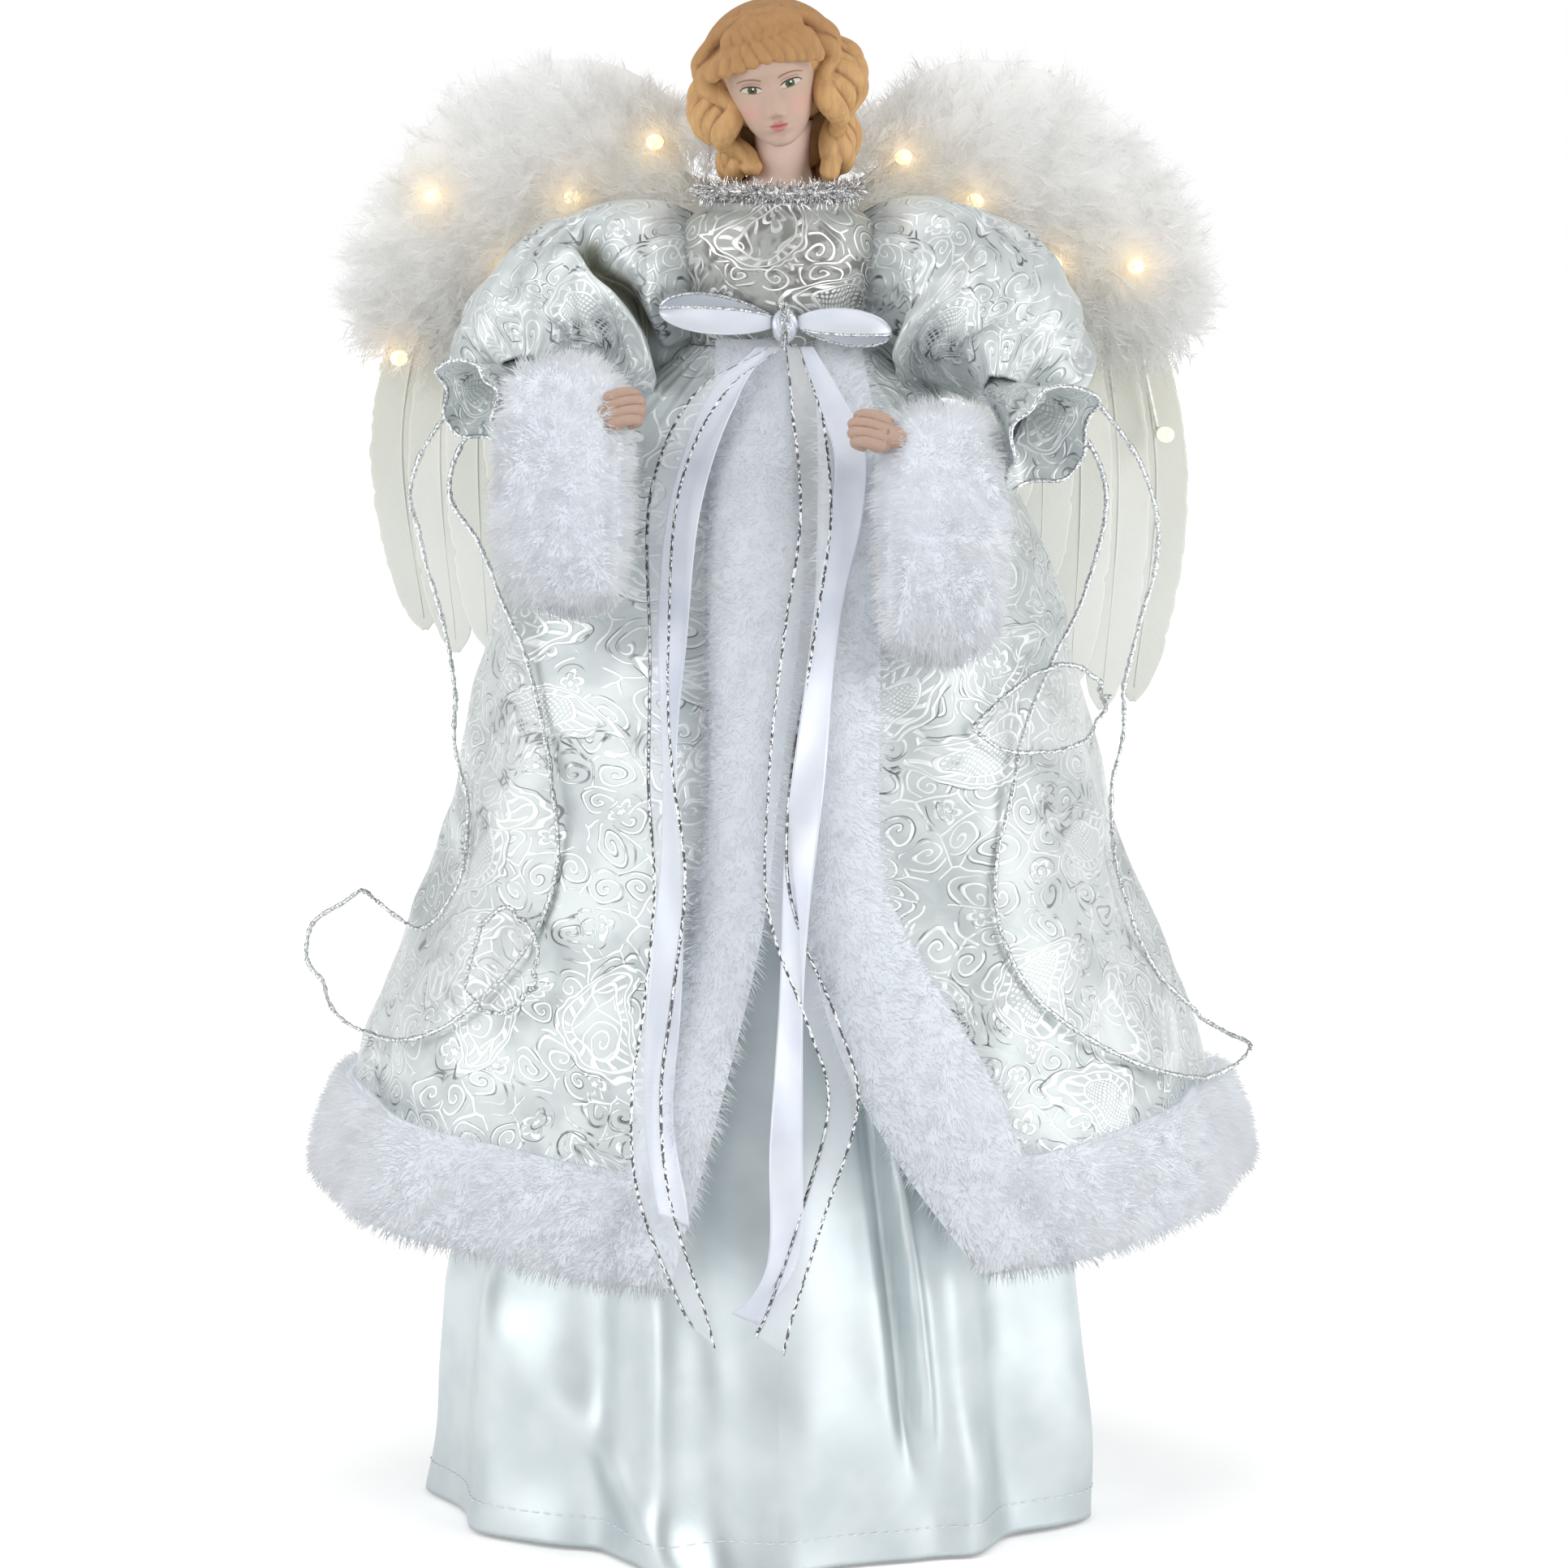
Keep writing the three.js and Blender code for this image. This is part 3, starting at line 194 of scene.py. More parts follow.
def ripple(points: Array, wavelength: float, seed: int, waves: int = 6) -> Array:
    """Smooth wandering values near -1 to 1: a mean of sine waves that run in seeded directions.

    Args:
        points: places, with three numbers along the last axis.
        wavelength: the usual distance from crest to crest.
        seed: picks the waves.
        waves: how many are averaged.

    Returns:
        One value for each place.
    """
    rng = np.random.default_rng(seed)
    runs = unit(rng.normal(size=(waves, 3))) * TURN / wavelength * rng.uniform(0.7, 1.4, (waves, 1))
    return 1.5 * np.sin(points @ runs.T + rng.uniform(0, TURN, waves)).mean(axis=-1)


@dataclass
class Shape:
    """A mesh as arrays: points, face corners, corner UVs, values at points, and chosen normals."""

    points: Array
    loops: Array
    sizes: Array
    uv: Array
    values: dict[str, Array] = field(default_factory=dict)
    normals: Array | None = None

    @staticmethod
    def join(*shapes: "Shape") -> "Shape":
        """Several shapes as one mesh, with missing values and normals left at zero."""
        starts = np.cumsum([0] + [len(s.points) for s in shapes])
        names = sorted({name for s in shapes for name in s.values})
        widths = {name: s.values[name].shape[1:] for s in shapes for name in s.values}

        def column(shape: "Shape", name: str) -> Array:
            """A shape's values of one name, or zeros."""
            return shape.values.get(name, np.zeros((len(shape.points), *widths[name])))

        values = {name: np.concatenate([column(s, name) for s in shapes]) for name in names}
        normals = [np.zeros((len(s.points), 3)) if s.normals is None else s.normals for s in shapes]
        return Shape(
            np.concatenate([s.points for s in shapes]),
            np.concatenate([s.loops + start for s, start in zip(shapes, starts)]),
            np.concatenate([s.sizes for s in shapes]),
            np.concatenate([s.uv for s in shapes]),
            values,
            None if all(s.normals is None for s in shapes) else np.concatenate(normals),
        )

    def moved(self, matrix: Array, place: Array) -> "Shape":
        """The shape turned by a 3 by 3 matrix and then moved."""
        self.points = self.points @ matrix.T + place
        return self

    def outward(self) -> "Shape":
        """The closed shape with its faces turned outwards, by the sign of its volume."""
        starts = np.cumsum(self.sizes) - self.sizes
        first, second, third = (self.points[self.loops[starts + i]] for i in range(3))
        last = self.points[self.loops[starts + self.sizes - 1]]
        volume = (first * (np.cross(second, third) + np.cross(third, last))).sum()
        if volume < 0:
            face = np.repeat(np.arange(len(self.sizes)), self.sizes)
            turned = starts[face] + self.sizes[face] - 1 - (np.arange(len(self.loops)) - starts[face])
            self.loops, self.uv = self.loops[turned], self.uv[turned]
        return self

    def build(self, name: str, material: Material | None = None) -> bpy.types.Object:
        """A linked mesh object with its place in its mesh, in metres.

        Args:
            name: the piece's name.
            material: its material, if it has one already.

        Returns:
            The new object.
        """
        mesh = bpy.data.meshes.new(name)
        mesh.vertices.add(len(self.points))
        mesh.vertices.foreach_set("co", (self.points * MM).astype(np.float32).ravel())
        mesh.loops.add(len(self.loops))
        mesh.loops.foreach_set("vertex_index", self.loops.astype(np.int32))
        mesh.polygons.add(len(self.sizes))
        mesh.polygons.foreach_set("loop_start", (np.cumsum(self.sizes) - self.sizes).astype(np.int32))
        mesh.polygons.foreach_set("use_smooth", np.ones(len(self.sizes), bool))
        mesh.update(calc_edges=True)
        mesh.uv_layers.new(name="UVMap").data.foreach_set("uv", self.uv.astype(np.float32).ravel())
        for key, value in self.values.items():
            if value.ndim == 1:
                mesh.attributes.new(key, "FLOAT", "POINT").data.foreach_set("value", value.astype(np.float32))
            else:
                rgba = np.concatenate([value, np.ones((len(value), 1))], axis=1)
                layer = mesh.attributes.new(key, "FLOAT_COLOR", "POINT")
                layer.data.foreach_set("color", rgba.astype(np.float32).ravel())
        if self.normals is not None:
            mesh.normals_split_custom_set_from_vertices(self.normals.tolist())
        if material:
            mesh.materials.append(material)
        piece = bpy.data.objects.new(name, mesh)
        bpy.context.scene.collection.objects.link(piece)
        return piece


def quads(index: Array) -> Array:
    """The four corners of each cell of a grid of indices."""
    return np.stack([index[:-1, :-1], index[:-1, 1:], index[1:, 1:], index[1:, :-1]], -1).reshape(-1, 4)


def wrapped(index: Array, closed: bool) -> Array:
    """A grid of indices with its first column repeated at the end if it closes on itself."""
    return np.concatenate([index, index[:, :1]], axis=1) if closed else index


def grid(points: Array, uv: Array, closed: bool = False) -> Shape:
    """An open surface from rows and columns of points.

    Args:
        points: rows by columns by 3.
        uv: rows by columns by 2, with one more column if closed.
        closed: whether the last column joins the first.

    Returns:
        The surface.
    """
    rows, columns = points.shape[:2]
    faces = quads(wrapped(np.arange(rows * columns).reshape(rows, columns), closed))
    corners = quads(np.arange(uv.shape[0] * uv.shape[1]).reshape(uv.shape[:2]))
    loops = faces.ravel()
    return Shape(points.reshape(-1, 3), loops, np.full(len(faces), 4), uv.reshape(-1, 2)[corners.ravel()])


def shell(outer: Array, inner: Array, uv: Array, closed: bool = False) -> Shape:
    """A cloth with thickness: an outer and an inner grid, joined round the rim.

    Args:
        outer: rows by columns by 3.
        inner: the same grid on the cloth's other side.
        uv: rows by columns by 2, with one more column if closed.
        closed: whether the last column joins the first.

    Returns:
        The closed shape, with its faces outwards.
    """
    rows, columns = outer.shape[:2]

    def faces(front: Array, back: Array) -> Array:
        """Both sides and the rim, as corner indices."""
        strips = [(front[0], back[0]), (back[-1], front[-1])]
        if not closed:
            strips += [(back[:, 0], front[:, 0]), (front[:, -1], back[:, -1])]
        rims = [np.stack([a[:-1], b[:-1], b[1:], a[1:]], -1) for a, b in strips]
        return np.concatenate([quads(front), quads(back)[:, ::-1], *rims])

    index = wrapped(np.arange(rows * columns).reshape(rows, columns), closed)
    corner = np.arange(uv.shape[0] * uv.shape[1]).reshape(uv.shape[:2])
    corners = faces(index, index + rows * columns)
    points = np.concatenate([outer.reshape(-1, 3), inner.reshape(-1, 3)])
    places = uv.reshape(-1, 2)[faces(corner, corner).ravel()]
    return Shape(points, corners.ravel(), np.full(len(corners), 4), places).outward()


def tube(line: Array, radius: Array | float, sides: int = 8) -> Shape:
    """A rod with flat ends: a ring carried along a line of points.

    Args:
        line: points along the middle.
        radius: one radius, or one for each point.
        sides: corners of the ring.

    Returns:
        The closed shape.
    """
    heading = unit(np.gradient(line, axis=0))
    spare = np.eye(3)[np.abs(heading.mean(axis=0)).argmin()]
    across = unit(np.cross(heading, spare))
    over = np.cross(across, heading)
    angle = np.linspace(0, TURN, sides, endpoint=False)
    reach = np.broadcast_to(np.asarray(radius, float), len(line))[:, None, None]
    cos, sin = np.cos(angle)[None, :, None], np.sin(angle)[None, :, None]
    ring = cos * across[:, None] + sin * over[:, None]
    points = line[:, None] + reach * ring
    run = np.concatenate([[0], np.cumsum(np.linalg.norm(np.diff(line, axis=0), axis=1))])
    uv = np.stack(np.meshgrid(np.linspace(0, 1, sides + 1), run / UV_UNIT), -1)
    shape = grid(points, uv, closed=True)
    ends = np.concatenate([np.arange(sides)[::-1], np.arange(sides) + (len(line) - 1) * sides])
    shape.loops = np.concatenate([shape.loops, ends])
    shape.sizes = np.concatenate([shape.sizes, [sides, sides]])
    shape.uv = np.concatenate([shape.uv, np.zeros((2 * sides, 2))])
    return shape.outward()


def ball(centre: Sequence[float], halves: Sequence[float], around: int = 28, rings: int = 18) -> Shape:
    """An ellipsoid: a tube of half-circle radius, stretched to its half sizes."""
    polar = np.linspace(0.03, math.pi - 0.03, rings)
    line = np.stack([0 * polar, 0 * polar, np.cos(polar)], -1)
    shape = tube(line, np.sin(polar), around)
    shape.points = shape.points * np.array(halves) + np.array(centre)
    return shape.outward()


def lathe(profile: Sequence[tuple[float, float]], sides: int = 48) -> Shape:
    """A turned shape about Z from (radius, height) points, rising."""
    radius, height = np.array(profile, float).T
    return tube(np.stack([0 * height, 0 * height, height], -1), radius, sides)


def fuse(shapes: Sequence[Shape], voxel: float, rounds: int) -> Shape:
    """One skin round overlapping closed shapes, as a casting has.

    The union is remeshed in voxels and smoothed. The value "hollow" at each point is how far it lies
    inside the mean of its neighbours, so that grooves can be darkened as painted shade.

    Args:
        shapes: closed shapes that overlap.
        voxel: the size of the remesh.
        rounds: smoothing steps.

    Returns:
        The skin.
    """
    rough = Shape.join(*shapes).build("rough_cast")
    remesh = rough.modifiers.new("skin", "REMESH")
    remesh.mode = "VOXEL"
    remesh.voxel_size = voxel * MM
    soften = rough.modifiers.new("soften", "SMOOTH")
    soften.factor = 0.5
    soften.iterations = rounds
    cast = rough.evaluated_get(bpy.context.evaluated_depsgraph_get()).to_mesh()
    points = np.zeros(len(cast.vertices) * 3, np.float32)
    cast.vertices.foreach_get("co", points)
    normals = np.zeros(len(cast.vertices) * 3, np.float32)
    cast.vertices.foreach_get("normal", normals)
    loops = np.zeros(len(cast.loops), np.int32)
    cast.loops.foreach_get("vertex_index", loops)
    sizes = np.zeros(len(cast.polygons), np.int32)
    cast.polygons.foreach_get("loop_total", sizes)
    edges = np.zeros(len(cast.edges) * 2, np.int32)
    cast.edges.foreach_get("vertices", edges)
    rough.to_mesh_clear()
    bpy.data.objects.remove(rough)
    points = points.reshape(-1, 3).astype(float) / MM
    normals = normals.reshape(-1, 3).astype(float)
    pairs = edges.reshape(-1, 2)
    pairs = np.concatenate([pairs, pairs[:, ::-1]])
    count = np.bincount(pairs[:, 0], minlength=len(points))
    mean = np.stack([np.bincount(pairs[:, 0], points[pairs[:, 1], k], len(points)) for k in range(3)], -1)
    hollow = ((mean / count[:, None] - points) * normals).sum(axis=1) / voxel
    for _ in range(3):
        hollow = 0.5 * hollow + 0.5 * np.bincount(pairs[:, 0], hollow[pairs[:, 1]], len(points)) / count
    uv = points[loops][:, [0, 2]] / UV_UNIT
    return Shape(points, loops, sizes, uv, {"hollow": hollow})


@dataclass
class Blades:
    """Fine strips such as fur, barbs or foil, each bent from a root to a tip.

    A blade's middle is a parabola from root to tip whose middle is lifted, and its width falls to a point.
    """

    roots: Array
    tips: Array
    normals: Array
    width: float
    lift: Array | float = 0.0
    segments: int = 2
    facing: float = 1.0
    tilt: float = 1.0

    def shape(self, rng: np.random.Generator, **values: Array) -> Shape:
        """The strips as one mesh.

        Args:
            rng: turns each blade about its own length.
            values: one number for each blade, kept at its points.

        Returns:
            The mesh, with UV across and along each blade.
        """
        count, levels = len(self.roots), self.segments
        t = np.linspace(0, 1, levels + 1)[None, :, None]
        middle = 0.5 * (self.roots + self.tips) + self.lift
        start, end = self.roots[:, None], self.tips[:, None]
        line = (1 - t) ** 2 * start + 2 * t * (1 - t) * middle[:, None] + t * t * end
        run = self.tips - self.roots
        view = unit(self.normals) + self.tilt * rng.normal(size=(count, 3)) * 0.6
        across = unit(np.cross(run, view))
        half = 0.5 * self.width * rng.uniform(0.7, 1.3, (count, 1, 1)) * (1 - t[:, :-1]) ** 0.6
        left = line[:, :-1] - half * across[:, None]
        right = line[:, :-1] + half * across[:, None]
        pairs = np.stack([left, right], axis=2).reshape(count, 2 * levels, 3)
        points = np.concatenate([pairs, line[:, -1:]], axis=1)
        low = 2 * np.arange(levels - 1)
        cells = np.stack([low, low + 1, low + 3, low + 2], -1).ravel()
        pattern = np.concatenate([cells, [2 * levels - 2, 2 * levels - 1, 2 * levels]])
        loops = (np.arange(count)[:, None] * (2 * levels + 1) + pattern).ravel()
        sizes = np.tile(np.concatenate([np.full(levels - 1, 4), [3]]), count)
        ladder = np.concatenate([np.repeat(t[0, :-1, 0], 2), [1.0]])
        sides = np.concatenate([np.tile([0.0, 1.0], levels), [0.5]])
        uv = np.tile(np.stack([sides, ladder], -1)[pattern], (count, 1))
        flat = points.reshape(-1, 3)
        shade = unit(np.repeat(self.facing * unit(self.normals) + 0.35 * unit(run), 2 * levels + 1, axis=0))
        spread = {key: np.repeat(value, 2 * levels + 1) for key, value in values.items()}
        spread["shade"] = shade
        return Shape(flat, loops, sizes, uv, spread, shade if self.facing > 0 else None)


def scatter(surface: Surface, count: int, rng: np.random.Generator, cells: int = 40) -> tuple[Array, Array]:
    """Random places on a surface, even by area.

    Args:
        surface: a function of (u, v), each from 0 to 1.
        count: how many places.
        rng: the random source.
        cells: cells each way in which the area is measured.

    Returns:
        The places as u and v.
    """
    middle = (np.arange(cells) + 0.5) / cells
    u, v = (a.ravel() for a in np.meshgrid(middle, middle))
    step = 0.4 / cells
    across = surface(u + step, v) - surface(u - step, v)
    down = surface(u, v + step) - surface(u, v - step)
    area = np.linalg.norm(np.cross(across, down), axis=-1)
    pick = rng.choice(len(u), count, p=area / area.sum())
    jitter = (rng.random((2, count)) - 0.5) / cells
    return u[pick] + jitter[0], v[pick] + jitter[1]


def surface_frame(surface: Surface, u: Array, v: Array, outward: Array) -> tuple[Array, Array]:
    """Points and outward normals on a surface.

    Args:
        surface: a function of (u, v).
        u: places across.
        v: places along.
        outward: for each place, a rough direction to the outside.

    Returns:
        Points and unit normals.
    """
    step = 2e-3
    across = surface(u + step, v) - surface(u - step, v)
    down = unit(surface(u, v + step) - surface(u, v - step))
    normal = unit(np.cross(across, down))
    sign = np.where((normal * outward).sum(axis=-1, keepdims=True) < 0, -1.0, 1.0)
    return surface(u, v), normal * sign


def uv_grid(width: Array | float, length: Array | float, rows: int, columns: int) -> Array:
    """UVs of a flat cut in centimetres, centred across: rows by columns by 2."""
    u, v = np.meshgrid(np.linspace(-0.5, 0.5, columns), np.linspace(0, 1, rows))
    wide = np.broadcast_to(np.asarray(width, float), rows)[:, None]
    return np.stack([u * wide, v * length], -1) / UV_UNIT


class Shader:
    """A node material in the making, round one Principled surface."""

    def __init__(self, name: str, **sockets: float) -> None:
        """Starts the material and sets the surface's plain sockets, with _ for a space in a name."""
        self.material = bpy.data.materials.new(name)
        self.material.use_nodes = True
        self.tree = self.material.node_tree
        self.surface = self.tree.nodes["Principled BSDF"]
        for key, value in sockets.items():
            self.surface.inputs[key.replace("_", " ")].default_value = value

    def node(self, kind: str, settings: dict | None = None, inputs: dict | None = None) -> bpy.types.Node:
        """Adds a node.

        Args:
            kind: the node's type, without ShaderNode.
            settings: the node's own properties.
            inputs: values or sockets, by input name or number.

        Returns:
            The node.
        """
        node = self.tree.nodes.new("ShaderNode" + kind)
        for key, value in (settings or {}).items():
            setattr(node, key, value)
        for key, value in (inputs or {}).items():
            if isinstance(value, Socket):
                self.tree.links.new(value, node.inputs[key])
            else:
                node.inputs[key].default_value = value
        return node

    def math(self, operation: str, *values: object) -> Socket:
        """A Math node's result."""
        return self.node("Math", {"operation": operation}, dict(enumerate(values))).outputs[0]

    def plus(self, first: object, second: object) -> Socket:
        """Two values added."""
        return self.math("ADD", first, second)

    def times(self, first: object, second: object) -> Socket:
        """Two values multiplied."""
        return self.math("MULTIPLY", first, second)

    def affine(self, value: object, factor: object, added: object) -> Socket:
        """A value times a factor, with something added."""
        return self.math("MULTIPLY_ADD", value, factor, added)

    def vector(self, operation: str, *values: object) -> bpy.types.Node:
        """A Vector Math node."""
        return self.node("VectorMath", {"operation": operation}, dict(enumerate(values)))

    def step(self, value: object, low: float, high: float) -> Socket:
        """A soft step from 0 at low to 1 at high."""
        settings = {"interpolation_type": "SMOOTHSTEP"}
        return self.node("MapRange", settings, {0: value, 1: low, 2: high, 3: 0.0, 4: 1.0}).outputs[0]

    def line(self, value: object, middle: float, half: float) -> Socket:
        """A soft line where a value is near its middle."""
        return self.step(self.math("ABSOLUTE", self.math("SUBTRACT", value, middle)), half * 1.4, half * 0.7)

    def cells(self, place: Socket, size: float, feature: str, randomness: float = 0.85) -> bpy.types.Node:
        """A flat Voronoi pattern with cells of one size in centimetres."""
        settings = {"voronoi_dimensions": "2D", "feature": feature}
        inputs = {"Vector": place, "Scale": 1 / size, "Randomness": randomness}
        return self.node("TexVoronoi", settings, inputs)

    def mix(self, share: object, first: object, second: object) -> Socket:
        """A mix of two colours."""
        return self.node("Mix", {"data_type": "RGBA"}, {0: share, 6: first, 7: second}).outputs[2]

    def noise(self, place: object, scale: float, detail: float = 2.0) -> Socket:
        """A noise value about 0.5."""
        return self.node("TexNoise", {}, {"Vector": place, "Scale": scale, "Detail": detail}).outputs[0]

    def place(self, kind: str = "UV", scale: Vec = (1, 1, 1)) -> Socket:
        """UV or Object coordinates, scaled."""
        coordinates = self.node("TexCoord").outputs[kind]
        return self.node("Mapping", {}, {"Vector": coordinates, "Scale": scale}).outputs[0]

    def value(self, name: str) -> bpy.types.Node:
        """A value kept at the mesh's points."""
        return self.node("Attribute", {"attribute_name": name})

    def link(self, socket: str, value: Socket) -> None:
        """Feeds one of the surface's sockets."""
        self.tree.links.new(value, self.surface.inputs[socket])

    def bump(self, height: object, strength: float, distance: float) -> None:
        """Raises the surface by a height, in metres."""
        inputs = {"Height": height, "Strength": strength, "Distance": distance}
        self.link("Normal", self.node("Bump", {}, inputs).outputs[0])


@dataclass(frozen=True)
class Satin:
    """Smooth woven satin: fine threads one way, soft gloss, and a faint change of tone."""

    name: str
    colour: Rgb
    shade: Rgb
    roughness: float = 0.36
    threads: float = 22.0
    gloss: float = 0.25

    def material(self) -> Material:
        """The node material."""
        s = Shader(
            self.name, Roughness=self.roughness, Metallic=self.gloss, Sheen_Weight=0.1, Sheen_Roughness=0.4
        )
        place = s.place()
        cloud = s.noise(place, 0.55)
        s.link("Base Color", s.mix(s.step(cloud, 0.35, 0.65), srgb(self.shade), srgb(self.colour)))
        fine = s.noise(s.place(scale=(self.threads * 5, self.threads, 1)), 1.0, 3.0)
        slub = s.noise(s.place(scale=(1.0, 9.0, 1)), 1.0)
        s.bump(s.plus(fine, s.times(slub, 0.8)), 0.14, 0.0003)
        return s.material


@dataclass(frozen=True)
class Brocade:
    """Woven brocade: scrolls, flowers, vines, leaf outlines and netted fills in silver thread on satin.

    Each cell of a Voronoi pattern holds a spiral about its own middle or a five-petalled flower, its
    borders are vines, and each cell of a larger pattern holds a bent leaf: an oval that narrows to one
    end, with a scalloped rim, ribs and a netted heart. Silver thread is white, and dark in noise patches
    as a painted reflection of dark surroundings. Dark lines beside the scrolls' coils and round the
    leaves are painted shade. A value at the points darkens the deep inside of a fold to olive: partly
    the plain lining's own colour, partly painted shade.
    """

    name: str
    ground: Rgb
    deep: Rgb
    thread: Rgb
    # The dark colour: painted reflection in the thread, and the painted shade lines.
    dark: Rgb
    dark_from: float = 0.52
    ground_silver: float = 0.0
    scroll: float = 1.08
    leaf: float = 3.7
    pitch: float = 0.25
    gloss: float = 0.0
    # Colour of the fold's inside: the lining's olive, made darker as painted shade.
    lining: Rgb = (150, 152, 138)
    thread_gloss: float = 0.6
    ribs: float = 9.0
    scallops: float = 16.0
    net: float = 1 / 9

    def warped(self, s: Shader, plain: Socket) -> Socket:
        """The flat place, swayed in two sizes so that the motifs differ."""
        place = plain
        for scale, detail, reach in ((0.6, 1.0, 1.1), (1.6, 0.0, 0.2)):
            sway = s.node("TexNoise", {}, {"Vector": plain, "Scale": scale, "Detail": detail})
            place = s.vector("MULTIPLY_ADD", sway.outputs["Color"], (reach, reach, 0.0), place).outputs[0]
        return place

    def sprigs(self, s: Shader, plain: Socket, place: Socket) -> tuple[Socket, Socket, Socket]:
        """Scrolls, flowers and vines.

        Args:
            s: the material in the making.
            plain: the flat place.
            place: the swayed place.

        Returns:
            Their lines, the painted shade beside the scrolls' coils, and the distance to the cells' borders.
        """
        cell = s.cells(place, self.scroll, "F1")
        local = s.vector("SUBTRACT", place, cell.outputs["Position"]).outputs[0]
        reach = s.vector("LENGTH", local).outputs["Value"]
        x, y, _ = s.node("SeparateXYZ", {}, {0: local}).outputs
        turn, kind, _ = s.node("SeparateColor", {}, {0: cell.outputs["Color"]}).outputs
        hand = s.math("SIGN", s.math("SUBTRACT", turn, 0.5))
        bearing = s.math("ARCTAN2", y, x)
        winding = s.affine(s.math("DIVIDE", bearing, TURN), hand, s.math("DIVIDE", reach, self.pitch))
        wound = s.math("FRACT", winding)
        round_off = s.step(reach, 0.6 * self.scroll, 0.52 * self.scroll)
        coil = s.times(s.line(wound, 0.5, 0.11), round_off)
        # Painted shade: a dark line beside each turn of the coil.
        rim = s.times(s.line(wound, 0.72, 0.055), round_off)
        petal = s.math("ABSOLUTE", s.math("COSINE", s.times(bearing, 2.5)))
        petal = s.math("DIVIDE", reach, s.affine(petal, 0.18, 0.16))
        bloom = s.plus(s.line(petal, 1.0, 0.17), s.step(petal, 0.36, 0.26))
        flower = s.step(kind, 0.72, 0.73)
        sprig = s.plus(s.times(bloom, flower), s.times(coil, s.math("SUBTRACT", 1.0, flower)))
        edge = s.cells(place, self.scroll, "DISTANCE_TO_EDGE").outputs["Distance"]
        vine = s.times(s.step(edge, 0.034, 0.018), s.step(s.noise(plain, 1.1), 0.44, 0.5))
        return s.math("MAXIMUM", s.times(sprig, s.step(edge, 0.05, 0.1)), vine), rim, edge

    def leaves(self, s: Shader, place: Socket, sprig: Socket) -> tuple[Socket, Socket, Socket]:
        """Bent leaves among the sprigs.

        Args:
            s: the material in the making.
            place: the swayed place.
            sprig: the lines of the scrolls, flowers and vines.

        Returns:
            The lines of the whole figure, the depth in a leaf (1 at its rim), and what lies outside.
        """
        leaf = s.cells(place, self.leaf, "F1")
        turn, kind, _ = s.node("SeparateColor", {}, {0: leaf.outputs["Color"]}).outputs
        inside = s.vector("SUBTRACT", place, leaf.outputs["Position"]).outputs[0]
        inputs = {"Vector": inside, "Angle": s.times(turn, TURN)}
        turned = s.node("VectorRotate", {"rotation_type": "Z_AXIS"}, inputs).outputs[0]
        x, y, _ = s.node("SeparateXYZ", {}, {0: turned}).outputs
        bent = s.affine(s.times(y, y), 0.3 / self.leaf * 4.4, x)
        taper = s.affine(y, -0.16 * self.leaf / 4.4, 0.24 * self.leaf)
        sides = {0: s.math("DIVIDE", bent, taper), 1: s.math("DIVIDE", y, 0.44 * self.leaf)}
        depth = s.vector("LENGTH", s.node("CombineXYZ", {}, sides).outputs[0]).outputs["Value"]
        bearing = s.math("ARCTAN2", y, bent)
        rim = s.times(s.math("COSINE", s.times(bearing, self.scallops)), 0.035)
        scallop = s.line(s.plus(depth, rim), 1.0, 0.035)
        outline = s.plus(scallop, s.plus(s.line(depth, 0.86, 0.025), s.line(depth, 0.6, 0.03)))
        ribs = s.math("ABSOLUTE", s.math("SINE", s.times(bearing, self.ribs)))
        fan = s.times(s.step(ribs, 0.75, 0.95), s.line(depth, 0.73, 0.085))
        holes = s.cells(place, self.net, "F1", 0.1).outputs["Distance"]
        net = s.times(s.step(holes, 0.4, 0.3), s.step(kind, 0.5, 0.51))
        fill = s.math("MAXIMUM", net, s.times(sprig, s.step(kind, 0.51, 0.5)))
        heart = s.times(s.step(depth, 0.58, 0.54), fill)
        outside = s.step(depth, 1.03, 1.1)
        inner = s.plus(s.times(sprig, outside), s.plus(heart, fan))
        return s.math("MINIMUM", s.plus(inner, outline), 1.0), depth, outside

    def material(self) -> Material:
        """The node material."""
        s = Shader(self.name, Sheen_Weight=0.08, Sheen_Roughness=0.4)
        plain = s.place()
        place = self.warped(s, plain)
        sprig, coil_shade, edge = self.sprigs(s, plain, place)
        figure, depth, outside = self.leaves(s, place, sprig)
        # Painted reflection: in noise patches the silver thread turns dark, as where it would mirror dark
        # surroundings.
        patch = s.step(s.noise(plain, 0.42), self.dark_from, self.dark_from + 0.1)
        patch = s.times(patch, s.step(s.noise(place, 1.9), 0.36, 0.6))
        # Painted shade: dark lines beside the scroll coils and round the outside of each leaf.
        rims = s.math("MAXIMUM", s.times(coil_shade, outside), s.line(depth, 1.09, 0.018))
        rims = s.times(rims, s.times(s.step(s.noise(plain, 1.3), 0.44, 0.6), 0.8))
        thread, dark = srgb(self.thread), srgb(self.dark)
        metal = s.times(figure, s.affine(patch, 0.25, 0.7))
        base = s.mix(s.step(s.noise(plain, 0.5, 3.0), 0.42, 0.62), srgb(self.ground), srgb(self.deep))
        colour = s.mix(rims, s.mix(metal, base, s.mix(patch, thread, dark)), dark)
        # In the same patches a silver ground turns dark and its figure white: partly the ground's silver,
        # partly painted reflection.
        if self.ground_silver:
            reverse = s.times(s.math("SUBTRACT", 1.0, figure), s.times(patch, self.ground_silver))
            colour = s.mix(reverse, s.mix(patch, colour, thread), dark)
